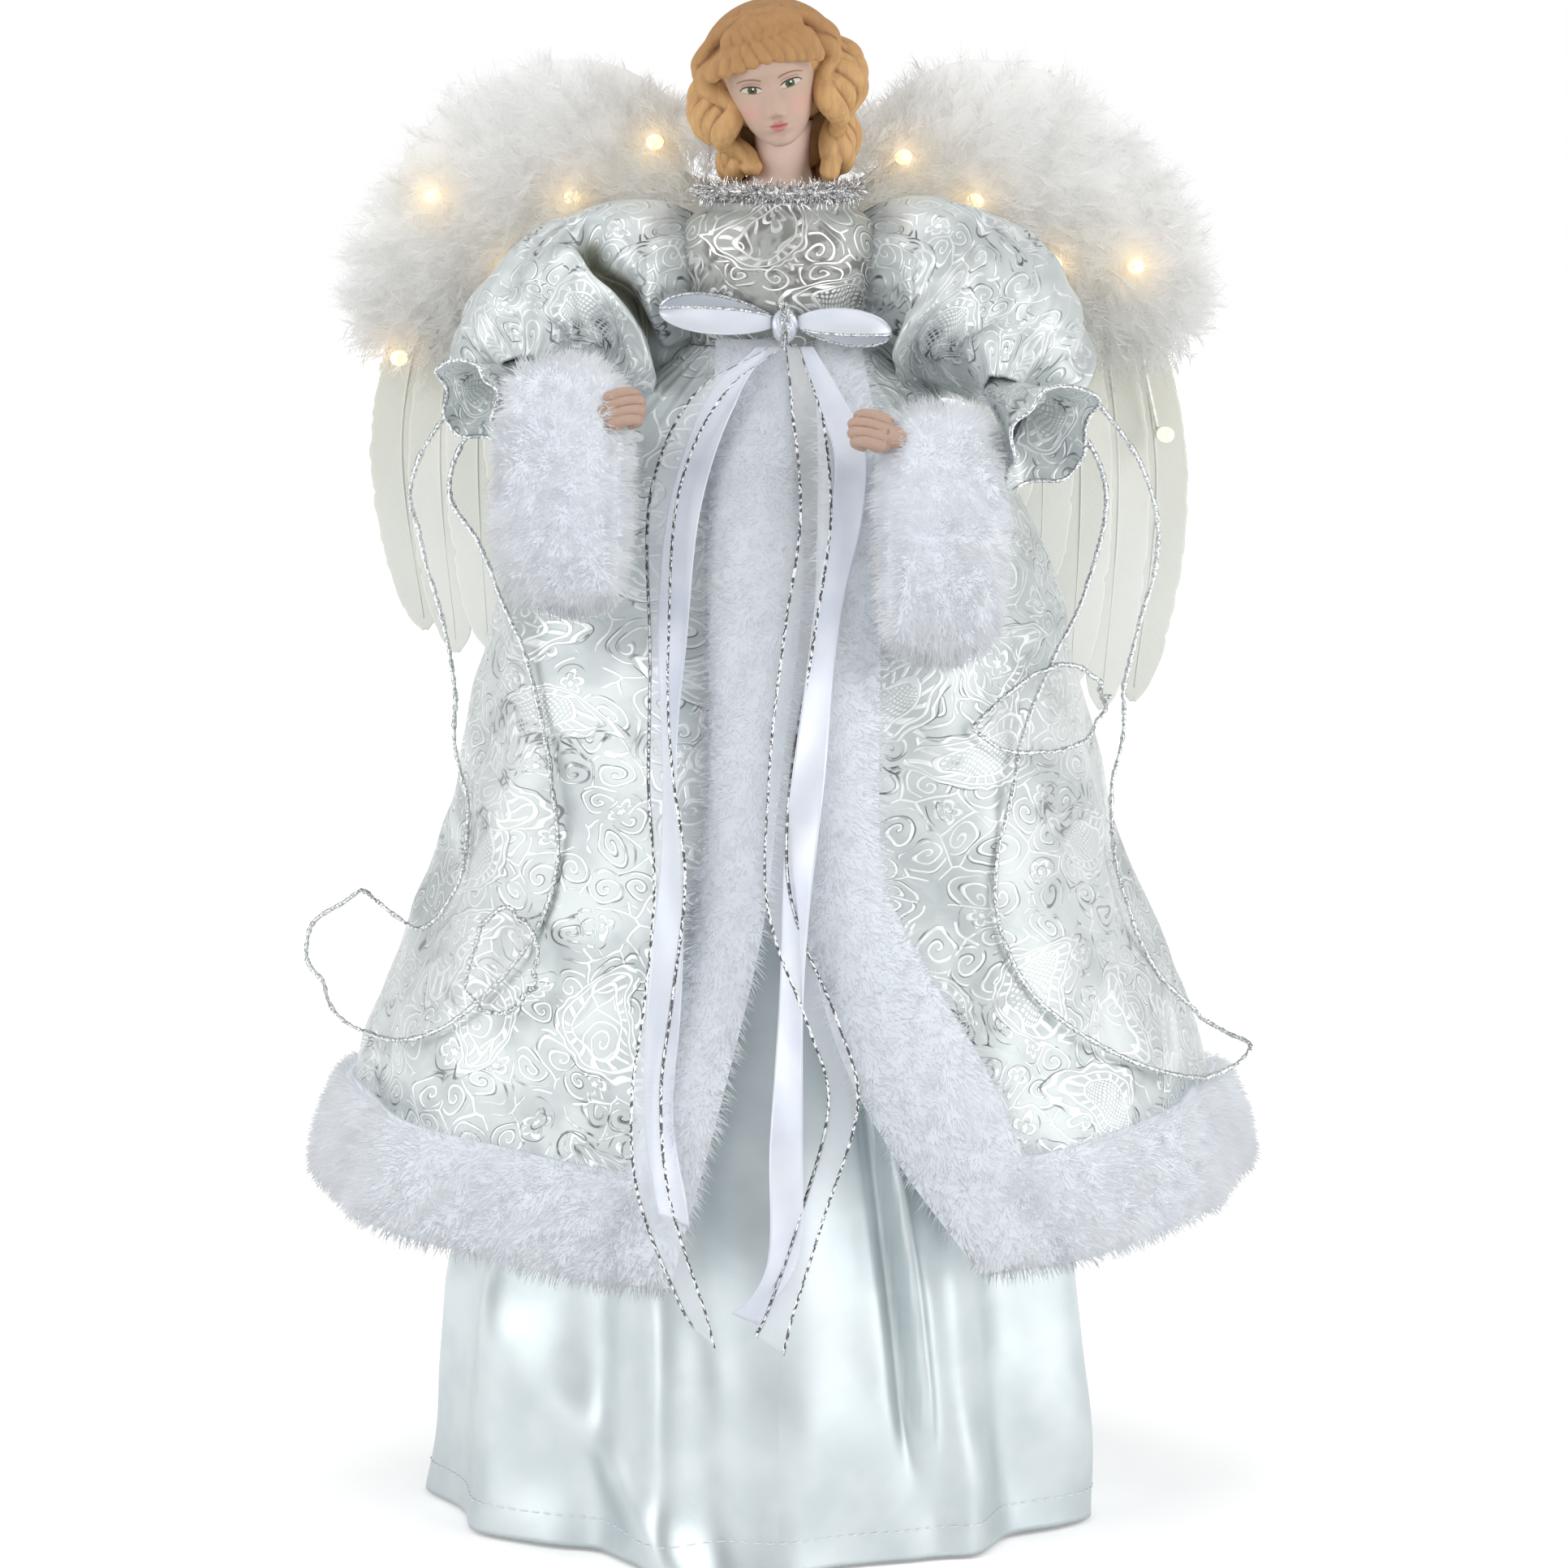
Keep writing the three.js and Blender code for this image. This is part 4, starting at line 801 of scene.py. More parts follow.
        # Painted shade: the deep inside of a fold turns dark olive, partly the lining's own colour.
        s.link("Base Color", s.mix(s.value("lining").outputs["Fac"], colour, srgb(self.lining)))
        s.link("Metallic", s.affine(metal, self.thread_gloss - self.gloss, self.gloss))
        s.link("Roughness", s.affine(metal, -0.1, 0.4))
        puff = s.plus(s.times(s.step(edge, 0.0, 0.3), 0.4), s.times(figure, 0.6))
        weave = s.noise(s.place(scale=(60.0, 60.0, 1)), 1.0, 1.0)
        s.bump(s.affine(weave, 0.15, puff), 0.5, 0.0005)
        return s.material


@dataclass(frozen=True)
class Pile:
    """Fur or down: blades that change from a root colour to a tip colour, with soft patches.

    Part of the light goes through each blade, as it does through white fibre. A value "glow" at the
    points, where there is one, paints a lit lamp's light on the pile: a warm tint and a faint glow.
    """

    name: str
    root: Rgb
    tip: Rgb
    patch: Rgb
    glow: Rgb | None = None
    through_share: float = 0.28
    clear_share: float = 0.9
    bounce_share: float = 0.6

    def material(self) -> Material:
        """The node material."""
        s = Shader(self.name, Roughness=0.85, Specular_IOR_Level=0.15, Sheen_Weight=0.2, Sheen_Roughness=0.6)
        along = s.node("SeparateXYZ", {}, {0: s.place()}).outputs[1]
        blade = s.mix(s.step(along, 0.0, 0.85), srgb(self.root), srgb(self.tip))
        cloud = s.noise(s.place("Object"), 60.0)
        colour = s.mix(s.step(cloud, 0.45, 0.7), blade, srgb(self.patch))
        if self.glow:
            # Painted light: the lamps' warm light tints the pile's colour and makes it glow faintly.
            warm = s.math("MINIMUM", s.value("glow").outputs["Fac"], 1.0)
            colour = s.mix(s.times(warm, 0.28), colour, srgb(self.glow))
            s.surface.inputs["Emission Color"].default_value = srgb(self.glow)
            s.link("Emission Strength", s.times(s.times(warm, warm), 0.22))
        s.link("Base Color", colour)
        settings = {"vector_type": "VECTOR", "convert_from": "OBJECT", "convert_to": "WORLD"}
        kept = s.node("VectorTransform", settings, {0: s.value("shade").outputs["Vector"]})
        known = s.step(s.vector("LENGTH", kept.outputs[0]).outputs["Value"], 0.4, 0.5)
        plain = s.node("NewGeometry").outputs["Normal"]
        normal = s.node("Mix", {"data_type": "VECTOR"}, {0: known, 4: plain, 5: kept.outputs[0]}).outputs[1]
        s.link("Normal", normal)
        glow = s.node("BsdfTranslucent", {}, {"Color": colour, "Normal": normal}).outputs[0]
        body = s.node("MixShader", {}, {0: self.through_share, 1: s.surface.outputs[0], 2: glow}).outputs[0]
        path = s.node("LightPath").outputs
        soft = s.times(path["Is Diffuse Ray"], self.bounce_share)
        clear = s.math("MAXIMUM", s.times(path["Is Shadow Ray"], self.clear_share), soft)
        gap = s.node("BsdfTransparent").outputs[0]
        whole = s.node("MixShader", {}, {0: clear, 1: body, 2: gap}).outputs[0]
        s.tree.links.new(whole, s.tree.nodes["Material Output"].inputs["Surface"])
        return s.material


@dataclass(frozen=True)
class Plume:
    """A flight feather's vane: barbs as slanted lines, a paler shaft, and cream towards the root."""

    name: str
    root: Rgb
    tip: Rgb

    def material(self) -> Material:
        """The node material."""
        s = Shader(self.name, Roughness=0.62, Specular_IOR_Level=0.25, Sheen_Weight=0.2)
        sides = s.node("SeparateXYZ", {}, {0: s.place()})
        slant = s.affine(s.math("ABSOLUTE", sides.outputs[0]), -0.9, sides.outputs[1])
        barb = s.noise(s.node("CombineXYZ", {}, {0: s.times(slant, 26.0)}).outputs[0], 1.0, 3.0)
        along = s.value("along").outputs["Fac"]
        tone = s.mix(s.step(along, 0.15, 0.8), srgb(self.root), srgb(self.tip))
        s.link("Base Color", s.mix(s.times(s.step(barb, 0.62, 0.4), 0.35), tone, srgb(self.root)))
        s.bump(barb, 0.4, 0.0004)
        return s.material


@dataclass(frozen=True)
class Sheer:
    """Organza: a fine open weave that lets most light through, with silver thread along its edges."""

    name: str
    colour: Rgb
    cover: float
    silver_edge: float = 0.0
    silver: Rgb = (232, 234, 236)
    silver_dark: Rgb = (86, 88, 90)
    shadow_cut: float = 0.85

    def material(self) -> Material:
        """The node material."""
        s = Shader(self.name, Sheen_Weight=0.2)
        weave = s.noise(s.place(scale=(90.0, 90.0, 1)), 1.0, 1.0)
        edge = s.step(s.value("edge").outputs["Fac"], 0.5 - self.silver_edge, 0.52 - self.silver_edge)
        edge = s.times(edge, 1.0 if self.silver_edge else 0.0)
        dash = s.noise(s.place(scale=(14.0, 7.0, 1)), 1.0, 1.0)
        silver = s.mix(s.step(dash, 0.45, 0.55), srgb(self.silver_dark), srgb(self.silver))
        s.link("Base Color", s.mix(edge, srgb(self.colour), silver))
        s.link("Metallic", s.times(edge, 0.9))
        s.link("Roughness", s.affine(edge, -0.25, 0.5))
        cover = s.affine(s.step(weave, 0.35, 0.65), 0.25, self.cover - 0.12)
        lit = s.affine(s.node("LightPath").outputs["Is Shadow Ray"], -self.shadow_cut, 1.0)
        s.link("Alpha", s.math("MAXIMUM", s.times(cover, lit), edge))
        s.bump(s.plus(weave, s.times(dash, edge)), 0.3, 0.0004)
        return s.material


@dataclass(frozen=True)
class Foil:
    """Bright silver foil or glittered wire, with small changes of tone."""

    name: str
    light: Rgb
    dark: Rgb
    roughness: float = 0.22
    grain: float = 900.0

    def material(self) -> Material:
        """The node material."""
        s = Shader(self.name, Metallic=0.9, Roughness=self.roughness)
        speck = s.noise(s.place("Object"), self.grain)
        s.link("Base Color", s.mix(s.step(speck, 0.4, 0.6), srgb(self.dark), srgb(self.light)))
        s.bump(speck, 0.6, 0.0006)
        return s.material


@dataclass(frozen=True)
class Painted:
    """Matte painted bisque: the colour "paint" at the points, with a fine grain."""

    name: str
    roughness: float = 0.55
    streak: float = 0.08
    grain: Vec = (220.0, 220.0, 220.0)
    stain: Rgb = (150, 110, 76)

    def material(self) -> Material:
        """The node material."""
        s = Shader(self.name, Roughness=self.roughness, Specular_IOR_Level=0.35)
        grain = s.noise(s.place("Object"), 1600.0)
        paint = s.value("paint").outputs["Color"]
        cloud = s.noise(s.place("Object", self.grain), 1.0)
        cloud = s.times(s.step(cloud, 0.35, 0.75), self.streak)
        s.link("Base Color", s.mix(cloud, paint, srgb(self.stain)))
        s.bump(grain, 0.08, 0.0002)
        return s.material


@dataclass(frozen=True)
class Stock:
    """A plain material of the hidden structure: a colour, a second tone in its grain, and a bump."""

    name: str
    colour: Rgb
    tone: Rgb
    grain: Vec
    roughness: float = 0.8
    metallic: float = 0.0
    relief: float = 0.25

    def material(self) -> Material:
        """The node material."""
        s = Shader(self.name, Roughness=self.roughness, Metallic=self.metallic)
        grain = s.noise(s.place("Object", self.grain), 1.0, 4.0)
        s.link("Base Color", s.mix(s.step(grain, 0.35, 0.65), srgb(self.tone), srgb(self.colour)))
        s.bump(grain, self.relief, 0.0004)
        return s.material


@dataclass(frozen=True)
class LitGlass:
    """A small lit lamp: a warm envelope that glows above a white socket, split by the value "lit"."""

    name: str
    glass: Rgb
    socket: Rgb
    strength: float
    amber: Rgb = (255, 214, 150)

    def material(self) -> Material:
        """The node material."""
        s = Shader(self.name, Roughness=0.2)
        lit = s.value("lit").outputs["Fac"]
        swirl = s.noise(s.place("Object"), 700.0)
        warm = s.mix(s.step(swirl, 0.3, 0.7), srgb(self.amber), srgb(self.glass))
        s.link("Base Color", s.mix(lit, srgb(self.socket), warm))
        s.link("Emission Color", warm)
        s.link("Emission Strength", s.times(lit, self.strength))
        return s.material


class Finishes:
    """Every material of the object, made once."""

    def __init__(self) -> None:
        """Makes the materials."""
        self.satin = Satin("white_satin", (205, 213, 215), (196, 205, 208), 0.42, 22.0, 0.8).material()
        # Painted light and shade: the tails and the bow are one satin ribbon, in a lighter copy for the tails
        # and a darker one for the bow.
        self.ribbon = Satin("ribbon_satin", (226, 230, 239), (214, 220, 232), 0.36, 30.0, 0.15).material()
        self.bow = Satin("bow_satin_painted_shade", (217, 222, 231), (206, 212, 222), 0.34, 30.0, 0.25).material()
        self.brocade = Brocade(
            "robe_brocade", (203, 210, 210), (184, 191, 192), (250, 252, 252), (84, 89, 90), gloss=0.24
        ).material()
        self.bodice = Brocade(
            "bodice_brocade", (162, 165, 160), (118, 121, 115), (246, 247, 245), (54, 56, 52),
            dark_from=0.38, ground_silver=0.85, scroll=1.15, leaf=3.4,
        ).material()
        self.fur = Pile("white_fur", (240, 245, 251), (250, 252, 255), (243, 247, 253)).material()
        self.down = Pile(
            "marabou", (250, 251, 249), (254, 254, 254), (252, 252, 250), (255, 230, 184), 0.4, 0.84
        ).material()
        self.plume = Plume("flight_feather", (214, 214, 203), (226, 229, 223)).material()
        self.organza = Sheer("organza", (250, 252, 251), 0.085).material()
        self.sheer_ribbon = Sheer("sheer_ribbon", (230, 235, 242), 0.24, 0.095).material()
        self.tinsel = Foil("tinsel", (250, 250, 250), (196, 197, 198), 0.22).material()
        self.glitter = Foil("glitter_wire", (236, 239, 240), (158, 162, 164), 0.3, 1500.0).material()
        self.skin = Painted("painted_bisque").material()
        self.hair = Painted("painted_hair", 0.62, 0.4, (640.0, 640.0, 150.0)).material()
        self.card = Stock("grey_card", (206, 198, 180), (186, 177, 158), (300.0, 300.0, 60.0)).material()
        self.felt = Stock("white_card", (240, 238, 230), (226, 223, 212), (500.0, 500.0, 500.0)).material()
        self.foam = Stock("moulded_foam", (238, 236, 229), (222, 219, 210), (420.0, 420.0, 420.0)).material()
        self.wood = Stock("dowel_wood", (210, 178, 130), (176, 140, 94), (900.0, 900.0, 60.0), 0.6).material()
        self.wire = Stock(
            "steel_wire", (168, 170, 174), (128, 130, 134), (900.0, 900.0, 90.0), 0.35, 0.9
        ).material()
        self.cable = Stock(
            "white_cable", (244, 244, 238), (228, 228, 220), (600.0, 600.0, 600.0), 0.45
        ).material()
        self.lamp = LitGlass("lit_lamp", (255, 232, 184), (242, 242, 236), 1.5).material()


def finish_piece(piece: bpy.types.Object, body: str | None, slot: str, *nodes: str) -> None:
    """Lets a piece ride on a body, hides the CAD nodes that it stands for, and logs it.

    Args:
        piece: the new object.
        body: the body that it rides on, or None to leave it on no body.
        slot: the name of a material slot; not used.
        nodes: CAD nodes that it replaces.
    """
    if body:
        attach(piece, body)
    if nodes:
        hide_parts(*nodes)
    LOG.info("%s: %d faces on %s", piece.name, len(piece.data.polygons), body)


@dataclass
class Pelt:
    """A strip of fur: a padded backing on a surface, and blades that stand on it.

    The backing lies between the surface at height share 0 and at the share `backing`.
    """

    surface: Callable[[Array, Array, Array | float], Array]
    outward: Callable[[Array], Array]
    count: int
    length: float = 6.0
    backing: float = 0.62
    width: float = 0.3
    comb: Vec = (0.0, 0.0, -0.45)
    closed: bool = False
    rows: int = 60
    columns: int = 24

    def shape(self, seed: int) -> Shape:
        """The backing and its blades.

        Args:
            seed: picks where the blades stand and how they lean.

        Returns:
            One mesh, whose UV runs from 0 at a root to 1 at a tip.
        """
        rng = np.random.default_rng(seed)
        u, v = lattice(self.rows + 1, self.columns + 1)
        if self.closed:
            u, v = u[:, :-1], v[:, :-1]
        uv = np.zeros((self.rows + 1, self.columns + 1, 2))
        pad = shell(self.surface(u, v, self.backing), self.surface(u, v, 0.0), uv, self.closed)

        def top(across: Array, along: Array) -> Array:
            """The backing's upper face."""
            return self.surface(across, along, self.backing)

        u, v = scatter(top, self.count, rng)
        v = np.clip(v, 0.0, 1.0)
        u = u if self.closed else np.clip(u, 0.0, 1.0)
        roots, normals = surface_frame(top, u, v, self.outward(top(u, v)))
        lean = np.stack([ripple(roots, 8.0, seed + k) for k in range(3)], -1) * 0.45
        lean += np.stack([ripple(roots, 26.0, seed + 5 + k) for k in range(3)], -1) * 0.3
        heading = unit(normals + lean + np.array(self.comb) + rng.normal(size=roots.shape) * 0.22)
        long = self.length * rng.uniform(0.6, 1.15, (self.count, 1))
        tips = roots + heading * long
        droop = np.array([0.0, 0.0, 0.12]) * long
        blades = Blades(roots - 0.4 * normals, tips, normals, self.width, droop)
        return Shape.join(pad, blades.shape(rng))


@dataclass
class Core:
    """The hidden structure: CAD nodes that stay as they are and get their finish."""

    finishes: Finishes

    def dress(self) -> None:
        """Gives each shown CAD node its material."""
        single = {
            "support_cone": "card", "torso_form": "foam", "neck_dowel": "wood", "wing_mount_card": "card",
        }
        paired = {"arm_wire": "wire", "wing_frame": "wire", "wing_panel": "felt", "light_wire": "cable"}
        both = {f"{node}_{side.word}": finish for side in Side for node, finish in paired.items()}
        for node, finish in (single | both).items():
            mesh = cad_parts[node].data
            mesh.materials.clear()
            mesh.materials.append(getattr(self.finishes, finish))
            LOG.info("%s keeps its CAD shape", node)


@dataclass(frozen=True)
class Pleat:
    """A long soft fold of the skirt: where it lies at the top and at the hem, its width and its rise."""

    top: float
    hem: float
    width: float
    rise: float
    start: float = 0.25
    end: float = 2.0


@dataclass(frozen=True)
class Dent:
    """A small buckle of the skirt: its angle and height share, its half sizes in both, and its rise."""

    angle: float
    place: float
    width: float
    height: float
    rise: float


@dataclass
class Underskirt:
    """The satin skirt that hangs off the cone, with its folds and a stitched hem."""

    finishes: Finishes
    foot_radius: float = 76.0
    top_radius: float = 15.0
    cone_height: float = 265.0
    layer_gap: float = 1.0
    top_drop: float = 8.0
    hem_lift: float = 0.6
    fold_depth: float = 3.4
    sway: float = 3.5
    cloth: float = 0.6
    stitch_height: float = 8.0
    stitch_count: int = 170
    fan_angle: float = 2.0
    fan_apex: float = 60.0
    fan_length: float = 262.0
    rows: int = 170
    columns: int = 480
    pleats: tuple[Pleat, ...] = (
        Pleat(17, 29.2, 1.7, 5.0, 0.35, 0.93), Pleat(13.5, 26, 2.3, -4.0, 0.35, 0.94),
        Pleat(26, 36, 4.5, 3.0, 0.5), Pleat(-29, -18, 4.6, 5.0, 0.5), Pleat(-20, -10, 5, -3.0, 0.5),
        Pleat(-203, -14.5, 7, 4.2, 0.72),
        Pleat(-42, -36, 6, -4.2), Pleat(-58, -60, 8, 4.2), Pleat(44, 50, 7, -4.0), Pleat(60, 68, 8, 4.4),
        Pleat(6, 3, 7, 2.4, 0.4), Pleat(84, 90, 8, 3.8), Pleat(105, 110, 8, -3.4), Pleat(124, 128, 8, 4.0),
        Pleat(146, 148, 8, -3.4), Pleat(168, 171, 8, 3.8), Pleat(-84, -88, 8, 3.8),
        Pleat(-103, -108, 8, -3.4), Pleat(-121, -126, 8, 4.0), Pleat(-143, -148, 8, -3.4),
        Pleat(-163, -168, 8, 3.8),
    )
    dents: tuple[Dent, ...] = (
        Dent(30, 0.95, 6, 0.04, -2.4), Dent(22, 0.955, 10, 0.04, 1.4), Dent(9, 0.88, 9, 0.07, 1.8),
        Dent(13, 0.945, 9, 0.05, -1.2), Dent(-24, 0.965, 4, 0.04, 1.0), Dent(-30, 0.96, 4, 0.04, -0.9),
        Dent(38, 0.92, 7, 0.07, 2.4), Dent(-46, 0.93, 9, 0.06, -2.0), Dent(112, 0.95, 9, 0.03, 2.0),
        Dent(-118, 0.94, 9, 0.03, 2.0), Dent(160, 0.95, 8, 0.03, -2.0),
    )
    fullness: Curve = through([(0, 0), (0.3, 12), (0.68, 20), (1, 9)])

    def point(self, angle: Array, v: Array, offset: float = 0.0) -> Array:
        """A point of the skirt.

        The radius is the cone's, plus the cloth's fullness, two waves that deepen towards the hem, each
        pleat as a bell curve about its own line, each dent as one about its place, and a slow ripple.

        Args:
            angle: turn about Z from the front, in radians.
            v: share of the way from the top to the hem.
            offset: distance outwards from the inner face.

        Returns:
            Points.
        """
        top = self.cone_height - self.top_drop
        height = top + v * (self.hem_lift - top)
        cone = self.foot_radius + (self.top_radius - self.foot_radius) * height / self.cone_height
        fold = 0.65 * np.cos(5 * angle + 0.9) + 0.35 * np.cos(9 * angle + 2)
        wave = self.fold_depth * fold - self.sway * np.sin(angle)
        radius = cone + self.layer_gap + self.fullness(v) + v * wave
        for pleat in self.pleats:
            line = np.radians(pleat.top + (pleat.hem - pleat.top) * v)
            apart = np.degrees((angle - line + math.pi) % TURN - math.pi)
            crest = np.exp(-((apart / pleat.width) ** 2))
            share = smooth(v, pleat.start, pleat.start + 0.3) * (1 - smooth(v, pleat.end - 0.12, pleat.end))
            radius = radius + pleat.rise * crest * share
        for dent in self.dents:
            apart = np.degrees((angle - math.radians(dent.angle) + math.pi) % TURN - math.pi)
            radius = radius + dent.rise * bell(apart, v, 0.0, dent.place, dent.width, dent.height)
        flat = np.stack([radius * np.sin(angle), -radius * np.cos(angle), height], -1)
        radius = radius + smooth(v, 0.3, 0.8) * (1.2 * ripple(flat, 46.0, 11) + 0.2 * ripple(flat, 20.0, 12))
        radius = radius + offset
        return np.stack([radius * np.sin(angle), -radius * np.cos(angle), height], -1)

    def build(self) -> None:
        """Makes the skirt and the stitches of its hem."""
        turn, v = lattice(self.rows, self.columns, closed=True)
        outer = self.point(turn * TURN, v, self.cloth)
        inner = self.point(turn * TURN, v, 0.0)
        reach = (self.fan_apex + self.fan_length * np.linspace(0, 1, self.rows))[:, None]
        spread = self.fan_angle * (np.linspace(0, 1, self.columns + 1) - 0.5)[None]
        uv = np.stack([reach * np.sin(spread), reach * np.cos(spread)], -1) / UV_UNIT
        skirt = shell(outer, inner, uv, closed=True).build("underskirt_satin", self.finishes.satin)
        finish_piece(skirt, "figure", "satin", "underskirt")
        stitches = self.stitches().build("skirt_hem_stitches", self.finishes.ribbon)
        finish_piece(stitches, "figure", "satin")

    def stitches(self) -> Shape:
        """A row of short threads round the hem: small rods that lie along it."""
        count = self.stitch_count
        long = 0.62 / count
        level = 1 - self.stitch_height / (self.cone_height - self.top_drop)
        turn = np.arange(count) / count
        ends = [self.point((turn + s * long) * TURN, np.full(count, level), self.cloth) for s in (0, 0.5, 1)]
        lines = np.stack(ends, 1)
        across = np.array([0.0, 0.0, 0.22])
        out = unit(lines[:, 1] * np.array([1, 1, 0]))[:, None] * np.array([0.05, 0.28, 0.05])[None, :, None]
        middle = lines + out
        rim = np.stack([middle - across, middle + out * 0.8, middle + across], 2).reshape(count, 9, 3)
        low = np.array([0, 1, 3, 4])
        cells = np.stack([low, low + 1, low + 4, low + 3], -1).ravel()
        loops = (np.arange(count)[:, None] * 9 + cells).ravel()
        return Shape(rim.reshape(-1, 3), loops, np.full(4 * count, 4), np.zeros((len(loops), 2)))


@dataclass
class Robe:
    """The brocade robe, open at the front, and the fur on its edges."""

    finishes: Finishes
    waist_height: float = 314.0
    waist: tuple[float, float] = (24.4, 19.9)
    flare: tuple[float, float] = (94.0, 71.0)
    hem_height: float = 90.0
    side_lift: float = 13.0
    fold_depth: float = 3.0
    cloth: float = 0.7
    fur_gap: float = 0.9
    fur_depth: float = 7.0
    fur_edge: float = 2.0
    hem_width: float = 29.0
    fan_angle: float = 2.15
    fan_apex: float = 63.0
    fan_length: float = 245.0
    fur_backing: float = 0.72
    band_hairs: int = 15000
    band_hair: float = 4.6
    hem_hairs: int = 58000
    hem_hair: float = 4.8
    side_curve: Curve = through(
        [(0, 0), (0.06, 0.17), (0.15, 0.36), (0.27, 0.5), (0.45, 0.61), (0.65, 0.73), (0.82, 0.89), (1, 1)]
    )
    depth_curve: Curve = through(
        [(0, 0), (0.06, 0.08), (0.15, 0.22), (0.27, 0.38), (0.45, 0.58), (0.65, 0.77), (0.82, 0.91), (1, 1)]
    )
    left_middle: Curve = through(
        [(0, 15), (0.15, 18), (0.4, 17), (0.6, 16), (0.7, 23), (0.82, 35), (0.93, 47), (1, 56)]
    )
    left_half: Curve = through(
        [(0, 6), (0.15, 8), (0.4, 9), (0.6, 11), (0.7, 14), (0.82, 17), (0.93, 15), (1, 13)]
    )
    right_middle: Curve = through([(0, -7), (0.25, -6), (0.5, -9), (0.65, -13), (0.82, -22), (1, -33)])
    right_half: Curve = through([(0, 9), (0.25, 12), (0.5, 9), (0.65, 9), (0.82, 9), (1, 9)])

    def hem(self, angle: Array) -> Array:
        """The height of the hem at an angle."""
        return self.hem_height + self.side_lift * np.sin(angle) ** 2

    def point(self, angle: Array, v: Array, offset: Array | float = 0.0) -> Array:
        """A point of the robe: an oval that flares with v, with two waves that deepen towards the hem.

        Args:
            angle: turn about Z from the front, in radians.
            v: share of the way from the waist to the hem.
            offset: distance outwards.

        Returns:
            Points.
        """
        fold = 0.6 * np.cos(7 * angle + 0.5) + 0.4 * np.cos(12 * angle - 1.2)
        ease = self.fold_depth * np.clip(v, 0, 1) * fold + offset
        x = (self.waist[0] + self.flare[0] * self.side_curve(v) + ease) * np.sin(angle)
        y = -(self.waist[1] + self.flare[1] * self.depth_curve(v) + ease) * np.cos(angle)
        return np.stack([x, y, self.waist_height + v * (self.hem(angle) - self.waist_height)], -1)

    def angle(self, x: Array, v: Array) -> Array:
        """The angle at which the robe's front has a given x."""
        return np.arcsin(np.clip(x / (self.waist[0] + self.flare[0] * self.side_curve(v)), -0.97, 0.97))

    def reach(self, angle: Array, height: Array) -> Array:
        """The share v at which a height lies, at one angle."""
        return (self.waist_height - height) / (self.waist_height - self.hem(angle))

    def cloth_point(self, angle: Array, v: Array, offset: float) -> Array:
        """The robe with its gathers at the waist and the smaller buckles of stiff brocade."""
        gather = 0.7 * np.sin(44 * angle + 1.3 * np.sin(5 * angle)) * np.exp(-v / 0.1)
        broad = self.point(angle, v)
        buckle = 1.7 * ripple(broad, 48.0, 21) + 0.7 * ripple(broad, 20.0, 22)
        away = smooth(np.abs((angle + math.pi) % TURN - math.pi), 0.35, 0.75)
        return self.point(angle, v, gather + buckle * smooth(v, 0.08, 0.4) * away + offset)

    def build(self) -> None:
        """Makes the robe, its front bands and its hem."""
        rows, columns = 170, 380
        u, v = lattice(rows, columns)
        start, end = self.angle(self.left_middle(v), v), TURN + self.angle(self.right_middle(v), v)
        angle = start + u * (end - start)
        away = self.fan_apex + self.fan_length * v
        spread = self.fan_angle * (angle / TURN - 0.5)
        uv = np.stack([away * np.sin(spread), away * np.cos(spread)], -1)
        cloth = shell(self.cloth_point(angle, v, 0.0), self.cloth_point(angle, v, -self.cloth), uv / UV_UNIT)
        robe = cloth.build("robe_brocade_cloth", self.finishes.brocade)
        finish_piece(robe, "figure", "brocade", "robe_skirt")
        self.front_band(Side.LEFT, self.left_middle, self.left_half)
        self.front_band(Side.RIGHT, self.right_middle, self.right_half)
        self.hem_band()

    def pile(self, u: Array, share: Array | float, to_end: Array) -> Array:
        """The fur's height off the robe, rounded across the band and towards its end.

        Args:
            u: share of the way across the band.
            share: share of the fur's depth.
            to_end: 1 on the band, falling to 0 at its end.

        Returns:
            Heights.
        """
        crown = np.sqrt(np.maximum(1 - (2 * np.clip(u, 0, 1) - 1) ** 2, 0))
        end = np.sqrt(np.maximum(1 - (1 - np.clip(to_end, 0, 1)) ** 2, 0))
        return self.fur_gap + share * end * (self.fur_edge + (self.fur_depth - self.fur_edge) * crown)

    @staticmethod
    def outward(points: Array) -> Array:
        """Level directions away from the middle."""
        return points * np.array([1.0, 1.0, 0.0])

    def front_band(self, side: Side, middle: Curve, half: Curve) -> None:
        """Makes the fur down one front edge."""
        foot = 1 + 0.5 * self.hem_width / (self.waist_height - self.hem_height)

        def surface(u: Array, t: Array, share: Array | float) -> Array:
            """The band at a share of its depth."""
            v = -0.01 + t * (foot + 0.01)
            angle = self.angle(middle(v) + half(v) * (2 * u - 1), v)
            thin = share * (0.35 + 0.65 * smooth(v, 0.0, 0.12))
            return self.point(angle, v, self.pile(u, thin, (foot - v) / 0.05))

        pelt = Pelt(surface, self.outward, self.band_hairs, self.band_hair, self.fur_backing,
                    rows=150, columns=16)
        band = pelt.shape(31 + side.value).build(f"front_fur_{side.word}", self.finishes.fur)
        finish_piece(band, "figure", "fur", f"fur_front_{side.word}")

    def hem_band(self) -> None:
        """Makes the fur round the hem."""
        half = 0.5 * self.hem_width / (self.waist_height - self.hem_height)

        def surface(u: Array, t: Array, share: Array | float) -> Array:
            """The band at a share of its depth."""
            v = 1 + half * (2 * t - 1)
            start = self.angle(self.left_middle(v) + 0.25 * self.left_half(v), v)
            end = TURN + self.angle(self.right_middle(v) - 0.25 * self.right_half(v), v)
            return self.point(start + u * (end - start), v, self.pile(t, share, np.minimum(u, 1 - u) / 0.02))

